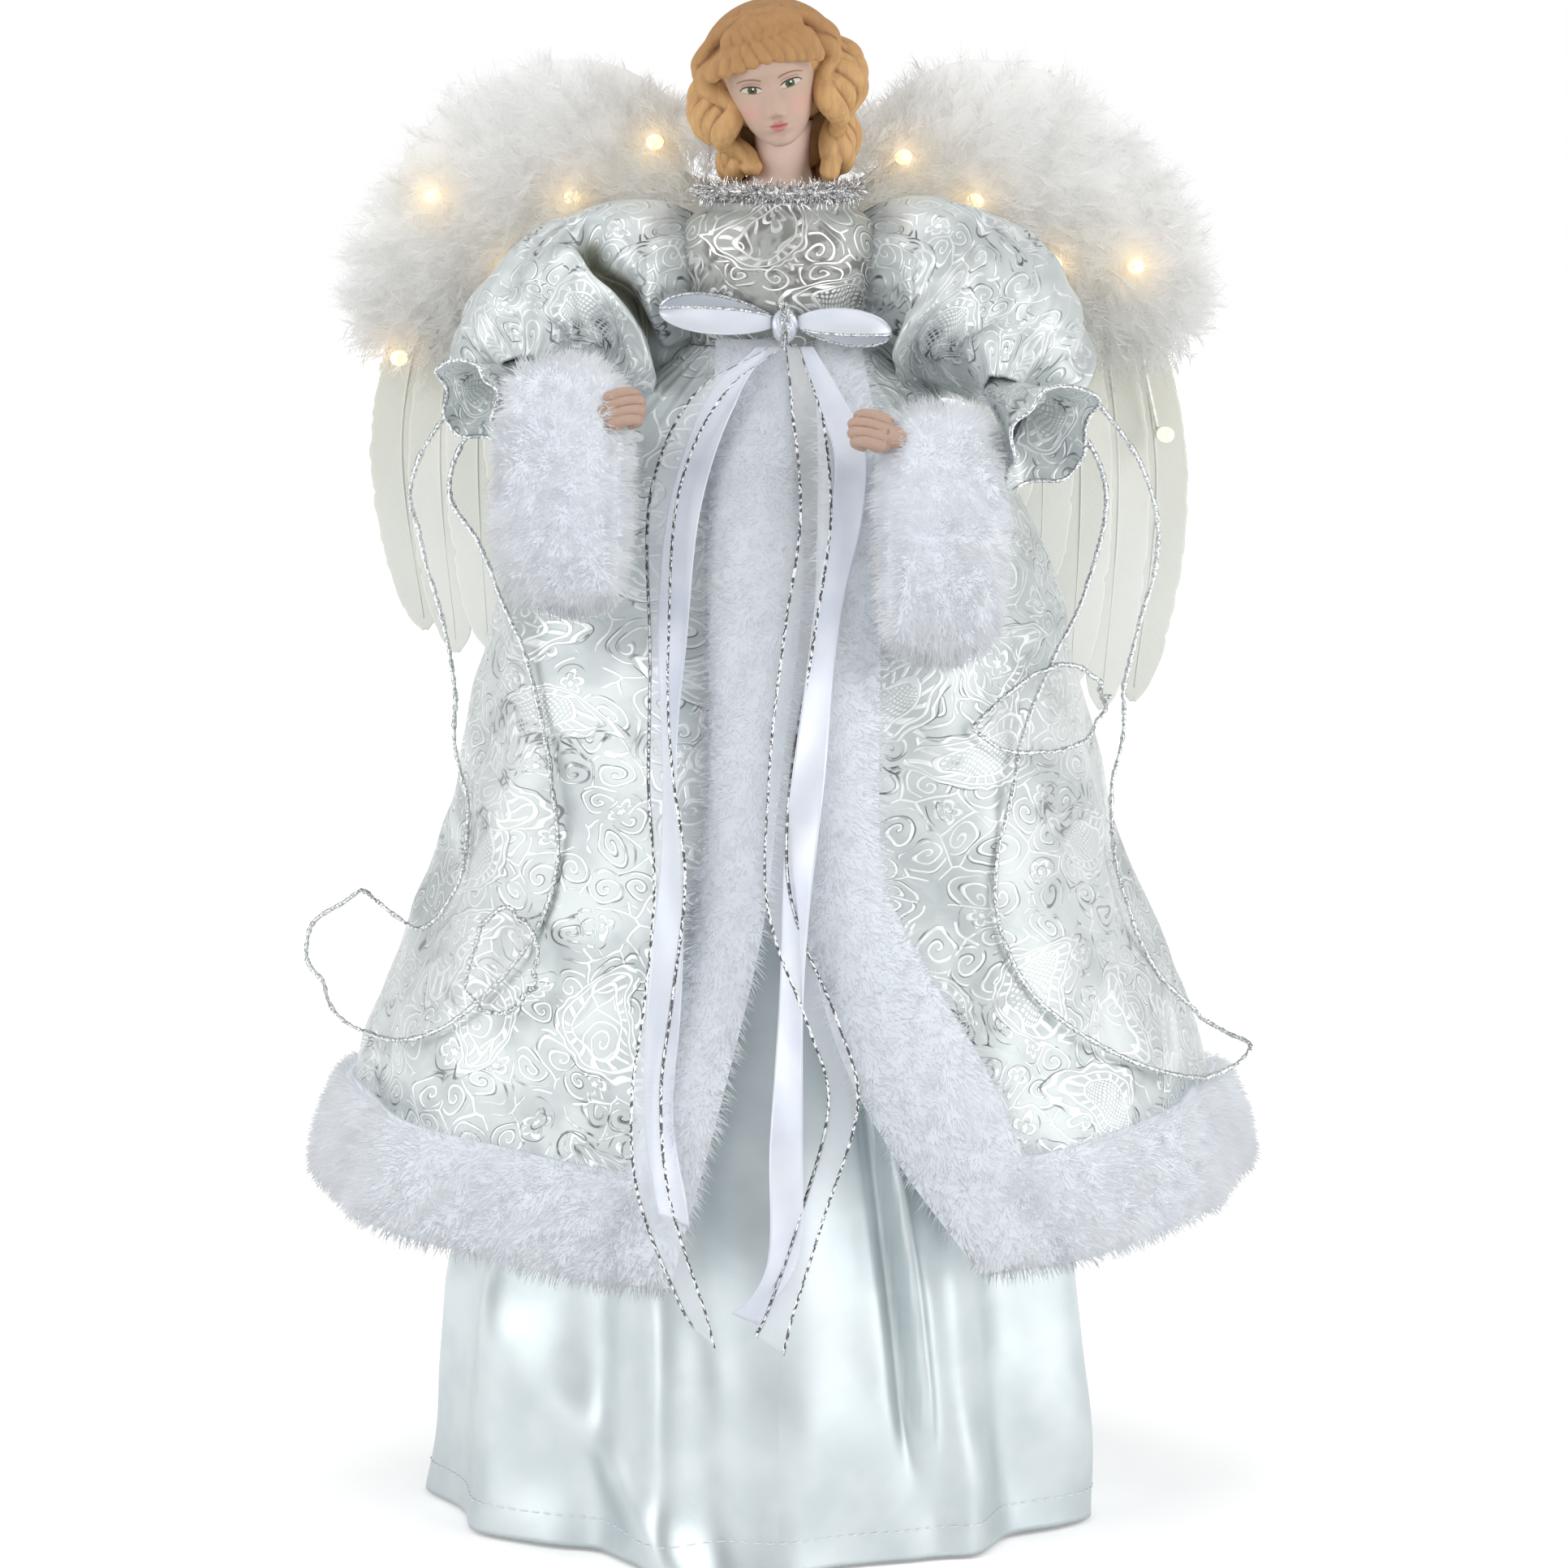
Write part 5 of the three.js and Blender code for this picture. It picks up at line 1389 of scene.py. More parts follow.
        pelt = Pelt(surface, self.outward, self.hem_hairs, self.hem_hair, self.fur_backing,
                    rows=16, columns=300)
        finish_piece(pelt.shape(35).build("hem_fur", self.finishes.fur), "figure", "fur", "fur_hem")


@dataclass
class Bodice:
    """The brocade bodice and the tinsel collar on its neckline."""

    finishes: Finishes
    waist_height: float = 314.3
    torso_top: float = 350.0
    top: float = 352.0
    offset: float = 1.4
    cloth: float = 0.9
    tinsel_radius: float = 3.3
    tinsel_ring: tuple[float, float] = (20.2, 16.2)
    tinsel_blades: int = 6200
    half_width: Curve = through([(265.3, 17), (314, 23), (335.6, 26), (346, 24.5), (350, 19)])
    half_depth: Curve = through([(265.3, 15.3), (314, 18.5), (332, 22), (346, 19), (350, 15)])

    def point(self, angle: Array, height: Array, offset: float) -> Array:
        """A point of the bodice: an oval whose half sizes follow the torso."""
        level = np.minimum(height, self.torso_top)
        x = (self.half_width(level) + offset) * np.sin(angle)
        y = -(self.half_depth(level) + offset) * np.cos(angle)
        return np.stack([x, y, height], -1)

    def build(self) -> None:
        """Makes the bodice and the collar."""
        rows, columns = 60, 160
        turn, v = lattice(rows, columns, closed=True)
        angle, height = (turn + 0.5) * TURN, self.waist_height + v * (self.top - self.waist_height)
        outer = self.point(angle, height, self.offset)
        outer = outer * (1 + 0.012 * ripple(outer, 18.0, 41)[..., None] * np.array([1, 1, 0]))
        uv = uv_grid(155.0, 42.0, rows, columns + 1)
        bodice = shell(outer, self.point(angle, height, self.offset - self.cloth), uv, closed=True)
        piece = bodice.build("bodice_cloth", self.finishes.bodice)
        finish_piece(piece, "figure", "brocade", "bodice")
        collar = self.collar().build("tinsel_collar", self.finishes.tinsel)
        finish_piece(collar, "figure", "tinsel", "neck_tinsel")

    def collar(self) -> Shape:
        """The collar: a twisted core ring, and foil blades that stand off it all round."""
        rng = np.random.default_rng(47)
        count = self.tinsel_blades
        height = self.top - 0.6 + self.tinsel_radius

        def ring(angle: Array) -> Array:
            """Points of the ring that the foil stands on."""
            wide, deep = self.tinsel_ring
            return np.stack([wide * np.sin(angle), -deep * np.cos(angle), 0 * angle + height], -1)

        core = tube(ring(np.linspace(0, TURN, 121)), 1.1, 8)
        angle = rng.uniform(0, TURN, count)
        turn = rng.uniform(0, TURN, count)
        out = np.stack([np.sin(angle) * np.cos(turn), -np.cos(angle) * np.cos(turn), np.sin(turn)], -1)
        roots = ring(angle) + 0.6 * out
        spread = rng.normal(size=(count, 3)) * 0.5
        tips = roots + unit(out + spread - np.array([0.0, 0.0, 0.3])) * rng.uniform(2.0, 4.2, (count, 1))
        blades = Blades(roots, tips, out, 0.46, rng.normal(size=(count, 3)) * 0.5, facing=0.0, tilt=3.0)
        return Shape.join(core, blades.shape(rng))


@dataclass(frozen=True)
class Tail:
    """One ribbon tail: its finish, its layer off the fur, its start under the knot and its trace."""

    node: str
    sheer: bool
    layer: int
    start: Vec
    trace: tuple[tuple[float, float], ...]


@dataclass
class Bow:
    """The bow at the waist: knot, loops and four tails."""

    finishes: Finishes
    robe: Robe
    height: float = 320.0
    front: float = 21.9
    knot: Vec = (4.0, 3.0, 4.6)
    aside: float = 1.5
    ribbon: float = 0.4
    width: float = 8.6
    foil_blades: int = 420
    tails: tuple[Tail, ...] = (
        Tail("tail_sheer_right", True, 2, (-2, 3.8, 5.2),
             ((-18, 11), (-29, 34), (-30.5, 75), (-30, 107), (-28, 132), (-31, 162), (-34, 186), (-32, 210),
              (-18.7, 246))),
        Tail("tail_satin_right", False, 0, (-5.7, 2.4, 5.4),
             ((-14.5, 12), (-24.5, 40), (-27.5, 80), (-27.5, 135), (-29.5, 166), (-31, 192), (-27, 218))),
        Tail("tail_sheer_left", True, 1, (1.9, 3.8, 5.2),
             ((7.6, 18), (9.5, 42), (5.2, 71), (0, 105), (-1, 132), (2.1, 146), (11.4, 168), (16.6, 186),
              (8.3, 217), (-2.1, 248))),
        Tail("tail_satin_left", False, 0, (5.7, 2.4, 5.4),
             ((13, 12), (18.3, 26), (17.3, 43), (13.4, 60), (10.8, 77), (8, 102), (5.5, 128), (4, 154),
              (2.1, 196), (0, 229), (-9, 242))),
    )

    def build(self) -> None:
        """Makes the knot, the loops and the tails."""
        self.make_knot()
        self.make_loop(Side.LEFT, 24.0, -1.5)
        self.make_loop(Side.RIGHT, 29.0, 4.5)
        for tail in self.tails:
            self.make_tail(tail)

    def make_knot(self) -> None:
        """The knot: a wrapped ribbon with pinched folds, bound with tinsel."""
        centre = np.array([self.aside, -self.front - self.knot[1], self.height])
        body = ball((0, 0, 0), self.knot, 40, 28)
        pinch = 1 + 0.1 * np.cos(9 * np.arctan2(body.points[:, 1], body.points[:, 0]) + body.points[:, 2])
        body.points = body.points * pinch[:, None] * np.array([0.82, 0.95, 0.9]) + centre
        finish_piece(body.build("bow_knot_wrap", self.finishes.bow), "figure", "ribbon", "bow_knot")
        rng = np.random.default_rng(53)
        count = self.foil_blades
        turn = rng.uniform(0, TURN, count)
        ring = np.stack([0.35 * rng.normal(size=count), -np.sin(turn) * 3.0, np.cos(turn) * 4.3], -1)
        tips = centre + ring * 1.08 + unit(ring + rng.normal(size=(count, 3)) * 2.5) * 1.9
        blades = Blades(centre + ring, tips, ring, 0.45, facing=0.0, tilt=3.0)
        finish_piece(blades.shape(rng).build("bow_tinsel", self.finishes.tinsel), "figure", "tinsel")

    def make_loop(self, side: Side, length: float, rise: float) -> None:
        """One loop: a ribbon bent back on itself, with silver thread on the edge that shows its inside.

        Args:
            side: the side it lies on. The left one opens downwards and the right one upwards.
            length: its reach from the knot.
            rise: the height of its tip over its root.
        """
        rows, columns = 13, 100
        u, v = lattice(rows, columns, closed=True)

        def surface(inset: float) -> Array:
            """The loop's face, moved into it by an inset."""
            angle = TURN * u
            out = 0.5 * (1 - np.cos(angle))
            x = self.aside + side.value * (self.knot[0] - 0.6 + inset + (length + 0.6 - 2 * inset) * out)
            y = -self.front - self.knot[1] - (4 - inset) * np.sin(angle) * (0.55 + 0.45 * out)
            half = 3.5 * np.sqrt(np.maximum(1 - ((out - 0.48) / 0.53) ** 2, 0.02))
            apart = 2.1 * np.sin(angle) * np.sqrt(np.maximum(out, 0))
            sag = 1.0 - 1.2 * out ** 2 + rise * out + side.value * apart
            curl = 0.7 * (2 * v - 1) ** 2 * out
            return np.stack([x, y - curl, self.height + sag + half * (2 * v - 1)], -1)

        uv = uv_grid(10.0, 10.0, rows, columns + 1)
        uv = np.stack([uv[..., 1], uv[..., 0] * length / 5], -1)
        loop = shell(surface(0.0), surface(self.ribbon), uv, closed=True)
        piece = loop.build(f"bow_loop_satin_{side.word}", self.finishes.bow)
        finish_piece(piece, "figure", "ribbon", f"bow_loop_{side.word}")
        rim = surface(0.5 * self.ribbon)[0 if side is Side.LEFT else -1]
        edge = tube(np.concatenate([rim, rim[:1]]), 0.42, 6)
        thread = edge.build(f"bow_edge_{side.word}", self.finishes.glitter)
        finish_piece(thread, "figure", "tinsel")

    def make_tail(self, tail: Tail) -> None:
        """One tail: a ribbon that hangs from under the knot, over the fur and the skirt."""
        stand = 10.2 + 2.6 * tail.layer
        x, drop = np.array(tail.trace, float).T
        height = self.robe.waist_height - drop
        v = np.minimum(self.robe.reach(0.0, height), 1.065)
        y = self.robe.point(self.robe.angle(x, v), v, stand)[..., 1]
        start = [self.aside + tail.start[0], -self.front - tail.start[1], self.height - tail.start[2]]
        path = Path([start, *np.stack([x, y, height], -1)])
        rows, columns = 200, 15
        u, t = lattice(rows, columns)
        place = path.along(t)
        twist = 0.85 * np.sin(8 * t + 2.1 * tail.layer + tail.start[0]) * smooth(t, 0.08, 0.5)
        angle = np.clip(place[..., 0] / 90, -0.6, 0.6) + twist
        across = np.stack([np.cos(angle), np.sin(angle), 0 * angle], -1)
        out = np.stack([np.sin(angle), -np.cos(angle), 0 * angle], -1)
        width = self.width * np.clip(0.4 + 7 * t, 0, 1)
        slant = 4.0 * (u - 0.5) * smooth(t, 0.975, 1.0)
        bow = 0.45 * (2 * u - 1) ** 2
        face = place + (width * (u - 0.5))[..., None] * across + bow[..., None] * out
        face[..., 2] -= slant
        uv = uv_grid(self.width, path.length, rows, columns)
        cloth = shell(face + self.ribbon * out, face, uv)
        cloth.values["edge"] = np.tile(np.abs(u - 0.5).ravel(), 2)
        finish = self.finishes.sheer_ribbon if tail.sheer else self.finishes.ribbon
        slot = "organza" if tail.sheer else "ribbon"
        piece = cloth.build(tail.node.replace("tail", "ribbon_tail"), finish)
        finish_piece(piece, "figure", slot, tail.node)


@dataclass
class Streamer:
    """A wide organza ribbon down one side of the robe, with a glittered wire in each edge.

    Each edge is a list of (angle in degrees, drop below the waist, stand-off from the robe).
    """

    finishes: Finishes
    robe: Robe
    side: Side
    edges: Edges
    frill: Edges
    flat: tuple[float, float] = (0.07, 0.2)
    blend_place: tuple[float, float] = (0.07, -0.03)
    blend_heights: tuple[float, float] = (0.245, 0.285)
    cloth: float = 0.3
    wire: float = 0.62

    @property
    def arm_start(self) -> Vec:
        """A place, in metres, on the streamer's side at the lower blend height."""
        return (self.side.value * self.blend_place[0], self.blend_place[1], self.blend_heights[0])

    @property
    def arm_end(self) -> Vec:
        """A place, in metres, on the streamer's side at the upper blend height."""
        return (self.side.value * self.blend_place[0], self.blend_place[1], self.blend_heights[1])

    def strip(self, edges: Edges, rows: int, columns: int, bulge: float) -> tuple[Shape, Shape, float]:
        """Cloth between two edges, and the wire round it.

        The cloth waves across its width, bellies off the robe, and rounds out at its end.

        Args:
            edges: both edges, as for the streamer.
            rows: points along.
            columns: points across.
            bulge: how far the end rounds out.

        Returns:
            The cloth, its wire and the cloth's area in square millimetres.
        """
        u, v = lattice(rows, columns)
        first, second = (Path(edge).at(v) for edge in edges)
        place = first + (second - first) * u[..., None]
        belly = np.sin(math.pi * u)
        end = belly * smooth(v, 0.85, 1.0)
        angle = np.radians(place[..., 0] + self.side.value * 0.4 * bulge * end)
        reach = self.robe.reach(angle, self.robe.waist_height - place[..., 1])
        flutter = 1.2 * np.sin(30 * v + 5 * u) + 0.8 * np.sin(11 * u + 17 * v)
        wave = 1.6 * belly + flutter * smooth(v, 0.05, 0.3)
        stand = place[..., 2] + np.maximum(wave, 0.2) + bulge * end
        outer = self.robe.point(angle, reach, stand + self.cloth)
        inner = self.robe.point(angle, reach, stand)
        span = np.linalg.norm(outer[:, 0] - outer[:, -1], axis=1)
        length = float(np.linalg.norm(np.diff(outer[:, columns // 2], axis=0), axis=1).sum())
        cloth = shell(outer, inner, uv_grid(span, length, rows, columns))
        cloth.values["edge"] = np.tile(np.abs(u - 0.5).ravel(), 2)
        middle = 0.5 * (outer + inner)
        line = np.concatenate([middle[:, 0], middle[-1, 1:-1], middle[::-1, -1]])
        grains = np.random.default_rng(61).uniform(0.65, 1.35, len(line))
        return cloth, tube(line, self.wire * grains, 6), float(span.mean() * length)

    def build(self) -> None:
        """Makes the ribbon with its frill, and their wires."""
        cloth, wire, area = self.strip(self.edges, 260, 33, 7.0)
        fold, rim, more = self.strip(self.frill, 90, 17, 0.0)
        ribbon = Shape.join(cloth, fold).build(f"organza_streamer_{self.side.word}", self.finishes.organza)
        edging = Shape.join(wire, rim).build(f"streamer_wire_{self.side.word}", self.finishes.glitter)
        for piece in (ribbon, edging):
            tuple(self.arm_start)
            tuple(self.arm_end)
            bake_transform(piece)
        finish_piece(ribbon, None, "organza", f"streamer_{self.side.word}")
        finish_piece(edging, None, "wire")
        total = (area + more) * MM * MM
        LOG.info("streamer %s: %.4f square metres", self.side.word, total)


@dataclass
class Arm:
    """One arm: sleeve, flounce, fur cuff and fist.

    Places are out from the middle, back, and up from the shoulder's height.
    """

    finishes: Finishes
    side: Side
    cuff_outer: Vec
    cuff_inner: Vec
    hand: Vec
    sleeve_line: tuple[Vec, ...]
    pleat: float
    flounce_root: Vec
    flounce_rim: Vec
    flounce_radius: float
    shoulder_height: float = 337.0
    cuff_half: tuple[float, float] = (33.0, 11.0)
    cuff_lean: float = math.radians(17)
    cuff_wall: float = 3.6
    cuff_hairs: int = 24000
    cuff_hair: float = 5.0
    cuff_backing: float = 0.85
    cloth: float = 0.7
    skin: Rgb = (180, 152, 136)
    # Skin colour for the painted shade in the fist's grooves.
    skin_crease_shade: Rgb = (134, 96, 78)
    up_radius: Curve = through([(0, 13), (0.12, 16.5), (0.35, 18), (0.6, 18.5), (0.85, 15), (1, 6)])
    down_radius: Curve = through([(0, 22), (0.1, 28), (0.22, 32), (0.4, 35.5), (0.6, 33), (0.85, 22), (1, 6)])

    @property
    def body(self) -> str:
        """The CAD body that the arm rides on."""
        return f"{self.side.word}_arm"

    def world(self, places: Array | Sequence) -> Array:
        """Places on the arm as points of the object."""
        mirror = np.array([self.side.value, 1, 1])
        return np.asarray(places, float) * mirror + np.array([0, 0, self.shoulder_height])

    def build(self) -> None:
        """Makes the arm's pieces."""
        self.make_sleeve()
        self.make_flounce()
        self.make_cuff()
        self.make_hand()

    def sleeve_point(self, turn: Array, v: Array, offset: float) -> Array:
        """A point of the sleeve: an oval carried along the arm, fuller below than above.

        Folds run along it, gathers crowd its root, and a deep pleat crosses its front where the cloth
        bunches.

        Args:
            turn: share of a turn about the arm, from the top towards the front.
            v: share of the way from the shoulder to the open end.
            offset: distance outwards.

        Returns:
            Points.
        """
        path = Path(self.world(self.sleeve_line))
        angle = TURN * turn
        notch, lip = self.bunch(angle, v)
        held = np.clip(v - 0.075 * self.pleat * lip, 0, 1)
        place, along = path.along(held), path.heading(held)
        up = unit(np.array([0.0, 0.0, 1.0]) - along * along[..., 2:])
        front = self.side.value * np.cross(along, up)
        lower = 0.5 - 0.5 * np.cos(angle)
        radius = self.up_radius(v) + (self.down_radius(v) - self.up_radius(v)) * lower ** 1.5
        folds = 0.045 * np.cos(5 * angle + 1 + 3 * v) + 0.03 * np.cos(9 * angle - 4 * v)
        gather = 0.035 * np.cos(22 * angle + 2 * np.sin(3 * angle)) * np.exp(-v / 0.1)
        flat = 0.36 * self.pleat * np.exp(-(((v - 0.66) / 0.2) ** 2)) * np.maximum(np.cos(angle), 0)
        pleats = 0.28 * self.pleat * lip - self.pleat * notch - flat
        radius = radius * (1 + smooth(v, 0.1, 0.5) * folds + gather + pleats)
        radius = radius + offset
        forth = np.sin(angle) * (0.6 + 0.4 * smooth(v, 0.0, 0.2))
        return place + radius[..., None] * (np.cos(angle)[..., None] * up + forth[..., None] * front)

    def bunch(self, angle: Array, v: Array) -> tuple[Array, Array]:
        """The deep pleat and the lobe beside it: bell curves about a line that slants down the front."""
        facing = smooth(angle, 0.3, 1.0) * (1 - smooth(angle, 2.5, 3.1))
        line = 0.43 - 0.2 * smooth(angle, 1.2, 2.7)
        notch = np.exp(-(((v - line) / 0.078) ** 2)) * facing
        lip = np.exp(-(((v - line - 0.14) / 0.08) ** 2)) * facing
        return notch, lip

    def make_sleeve(self) -> None:
        """The sleeve, sewn to the bodice and open at its end."""
        rows, columns = 170, 200
        turn, v = lattice(rows, columns, closed=True)
        outer = self.sleeve_point(turn, v, 0.0)
        crease = 0.5 * ripple(outer, 14.0, 70 + self.side.value)[..., None]
        outer = outer + crease * smooth(v, 0.1, 0.4)[..., None]
        inner = self.sleeve_point(turn, v, -self.cloth)
        uv = uv_grid(125.0, 80.0, rows, columns + 1)
        cloth = shell(outer, inner, uv, closed=True)
        notch, _ = self.bunch(TURN * turn, v)
        # Painted shade with the lining's olive: the deepest part of the pleat is marked for a darker colour.
        lining = smooth(notch, 0.35, 0.75) * min(2 * self.pleat, 1.0) ** 2
        cloth.values["lining"] = np.tile(lining.ravel(), 2)
        sleeve = cloth.build(f"sleeve_cloth_{self.side.word}", self.finishes.brocade)
        self.body
        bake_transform(sleeve)
        finish_piece(sleeve, None, "brocade", f"sleeve_{self.side.word}")

    def make_flounce(self) -> None:
        """The wired flounce: a trumpet of cloth, drawn shut at its root, whose wired rim waves."""
        rows, columns = 44, 150
        turn, v = lattice(rows, columns, closed=True)
        root, rim = self.world(self.flounce_root), self.world(self.flounce_rim)
        along = unit(rim - root)
        up = unit(np.array([0.0, 0.0, 1.0]) - along * along[2])
        front = self.side.value * np.cross(along, up)
        angle = TURN * turn
        flare = 0.26 + 0.74 * v ** 1.6
        drawn = np.sqrt(np.clip(v / 0.07, 0, 1))
        wave = v ** 2 * (0.12 * np.cos(2 * angle + 0.6) + 0.08 * np.cos(5 * angle - 1.1))
        push = v ** 2 * (2.2 * np.cos(3 * angle + 0.4) + 0.9 * np.cos(7 * angle))
        place = root + (rim - root) * v[..., None] + push[..., None] * along
        spoke = np.cos(angle)[..., None] * up + np.sin(angle)[..., None] * front

        def surface(offset: float) -> Array:
            """The trumpet's face, moved outwards by an offset."""
            radius = np.maximum(self.flounce_radius * (flare + wave) * drawn + offset, 0.15 + 0.1 * offset)
            return place + radius[..., None] * spoke

        uv = uv_grid(80.0, 26.0, rows, columns + 1)
        cloth = shell(surface(0.0), surface(-0.5), uv, closed=True)
        flounce = cloth.build(f"flounce_cloth_{self.side.word}", self.finishes.brocade)
        finish_piece(flounce, self.body, "brocade", f"sleeve_flounce_{self.side.word}")
        line = surface(-0.25)[-1]
        edge = tube(np.concatenate([line, line[:1]]), 0.6, 6)
        wire = edge.build(f"flounce_wire_{self.side.word}", self.finishes.glitter)
        finish_piece(wire, self.body, "wire")

    def cuff_point(self, turn: Array, t: Array, inset: Array | float) -> Array:
        """A point of the cuff: an upright oval that leans with the robe under it, carried to the hand."""
        outer, inner = self.world(self.cuff_outer), self.world(self.cuff_inner)
        axis = inner - outer
        up = np.array([0.0, math.sin(self.cuff_lean), math.cos(self.cuff_lean)])
        depth = unit(np.cross(axis, up))
        angle = TURN * np.asarray(turn)
        shrink = 1 - np.where(t > 0.5, 0.04, 0.14) * np.abs(2 * np.clip(t, 0, 1) - 1) ** 3
        height, width = self.cuff_half[0] * shrink - inset, self.cuff_half[1] * shrink - inset
        place = outer + np.asarray(t)[..., None] * axis
        return place + (height * np.cos(angle))[..., None] * up + (width * np.sin(angle))[..., None] * depth

    def make_cuff(self) -> None:
        """The fur cuff: a ring that is rolled in at both ends, with fur all over."""

        def surface(u: Array, v: Array, share: Array | float) -> Array:
            """The ring's section, rolled from the inside of one end over the outside to the other."""
            roll = math.pi * (np.asarray(v) - 0.5) * 1.5
            thick = self.cuff_wall + 1.4
            inset = thick * (1 - np.cos(roll) * (0.45 + 0.55 * np.asarray(share)))
            swing = np.sin(np.clip(roll, -math.pi / 2, math.pi / 2))
            t = 0.5 + 0.52 * swing * (0.92 + 0.08 * np.asarray(share))
            return self.cuff_point(u, t, inset)

        middle = 0.5 * (self.world(self.cuff_outer) + self.world(self.cuff_inner))

        def outward(points: Array) -> Array:
            """Directions away from the cuff's middle."""
            return points - middle

        comb = (-0.25 * self.side.value, 0.0, -0.4)
        pelt = Pelt(surface, outward, self.cuff_hairs, self.cuff_hair, self.cuff_backing, comb=comb,
                    closed=True, rows=40, columns=64)
        cuff = pelt.shape(80 + self.side.value).build(f"cuff_fur_{self.side.word}", self.finishes.fur)
        finish_piece(cuff, self.body, "fur", f"fur_cuff_{self.side.word}")

    def make_hand(self) -> None:
        """The fist: palm, wrist, thumb and four bent fingers under one cast skin."""

        def finger(sideways: float, reach: float) -> Shape:
            """A bent finger."""
            line = Path([
                (3.4, sideways, 1.5), (8.3, sideways * 1.05, 1.7), (reach, sideways, -0.6),
                (reach - 1.5, sideways * 0.95, -3.4), (reach - 4.2, sideways * 0.9, -4.0),
            ]).along(np.linspace(0, 1, 16))
            return tube(line, np.linspace(1.62, 1.3, 16), 10)

        bend = Path([(1.5, -3.6, -1.0), (5.2, -5.4, -2.6), (8.6, -4.4, -4.2)])
        thumb = tube(bend.along(np.linspace(0, 1, 10)), np.linspace(1.8, 1.25, 10), 10)
        run = np.array([[-2.4, 0, 0], [-1.2, 0, 0], [0.6, 0, 0], [3, 0, 0]])
        wrist = tube(run, np.array([2.2, 3.0, 3.3, 3.4]), 16)
        fingers = [finger(*pair) for pair in ((-3.6, 10.6), (-1.2, 11.8), (1.2, 11.5), (3.5, 10.4))]
        skin = fuse([ball((4.6, 0, -0.6), (5.2, 4.9, 3.6)), wrist, thumb, *fingers], 0.22, 2)
        x = self.side.value
        if x < 0:
            skin.points[:, 1] *= -1
        spin = euler(0.0, 0.0, 0.4 * x) @ euler(1.25, 0.0, math.pi - 0.3 if x > 0 else 0.3)
        skin.moved(spin, self.world(self.hand) + np.array([0.0, 0.0, 2.0 if x > 0 else 1.5]))
        skin.outward()
        # Painted shade: the grooves between the fingers, thumb and palm turn darker.
        base, deep = linear(self.skin), linear(self.skin_crease_shade)
        share = smooth(skin.values.pop("hollow"), 0.0, 0.14)[:, None]
        skin.values["paint"] = base + (deep - base) * share
        finish_piece(skin.build(f"fist_{self.side.word}", self.finishes.skin), self.body, "bisque",
                     f"hand_{self.side.word}")


def euler(x: float, y: float, z: float) -> Array:
    """The turn about x, then y, then z, each about the axes as turned so far, as a matrix."""
    cx, sx, cy, sy, cz, sz = math.cos(x), math.sin(x), math.cos(y), math.sin(y), math.cos(z), math.sin(z)
    about_x = np.array([[1, 0, 0], [0, cx, -sx], [0, sx, cx]])
    about_y = np.array([[cy, 0, sy], [0, 1, 0], [-sy, 0, cy]])
    about_z = np.array([[cz, -sz, 0], [sz, cz, 0], [0, 0, 1]])
    return about_x @ about_y @ about_z


@dataclass(frozen=True)
class Lump:
    """A rise or a hollow of the face: its push forwards, its place across and up, and its half sizes."""

    push: float
    across: float
    up: float
    width: float
    height: float

    def at(self, x: Array, z: Array, sign: int = 1) -> Array:
        """Its push at places on the face, with its own place mirrored by a sign."""
        return self.push * bell(x, z, sign * self.across, self.up, self.width, self.height)


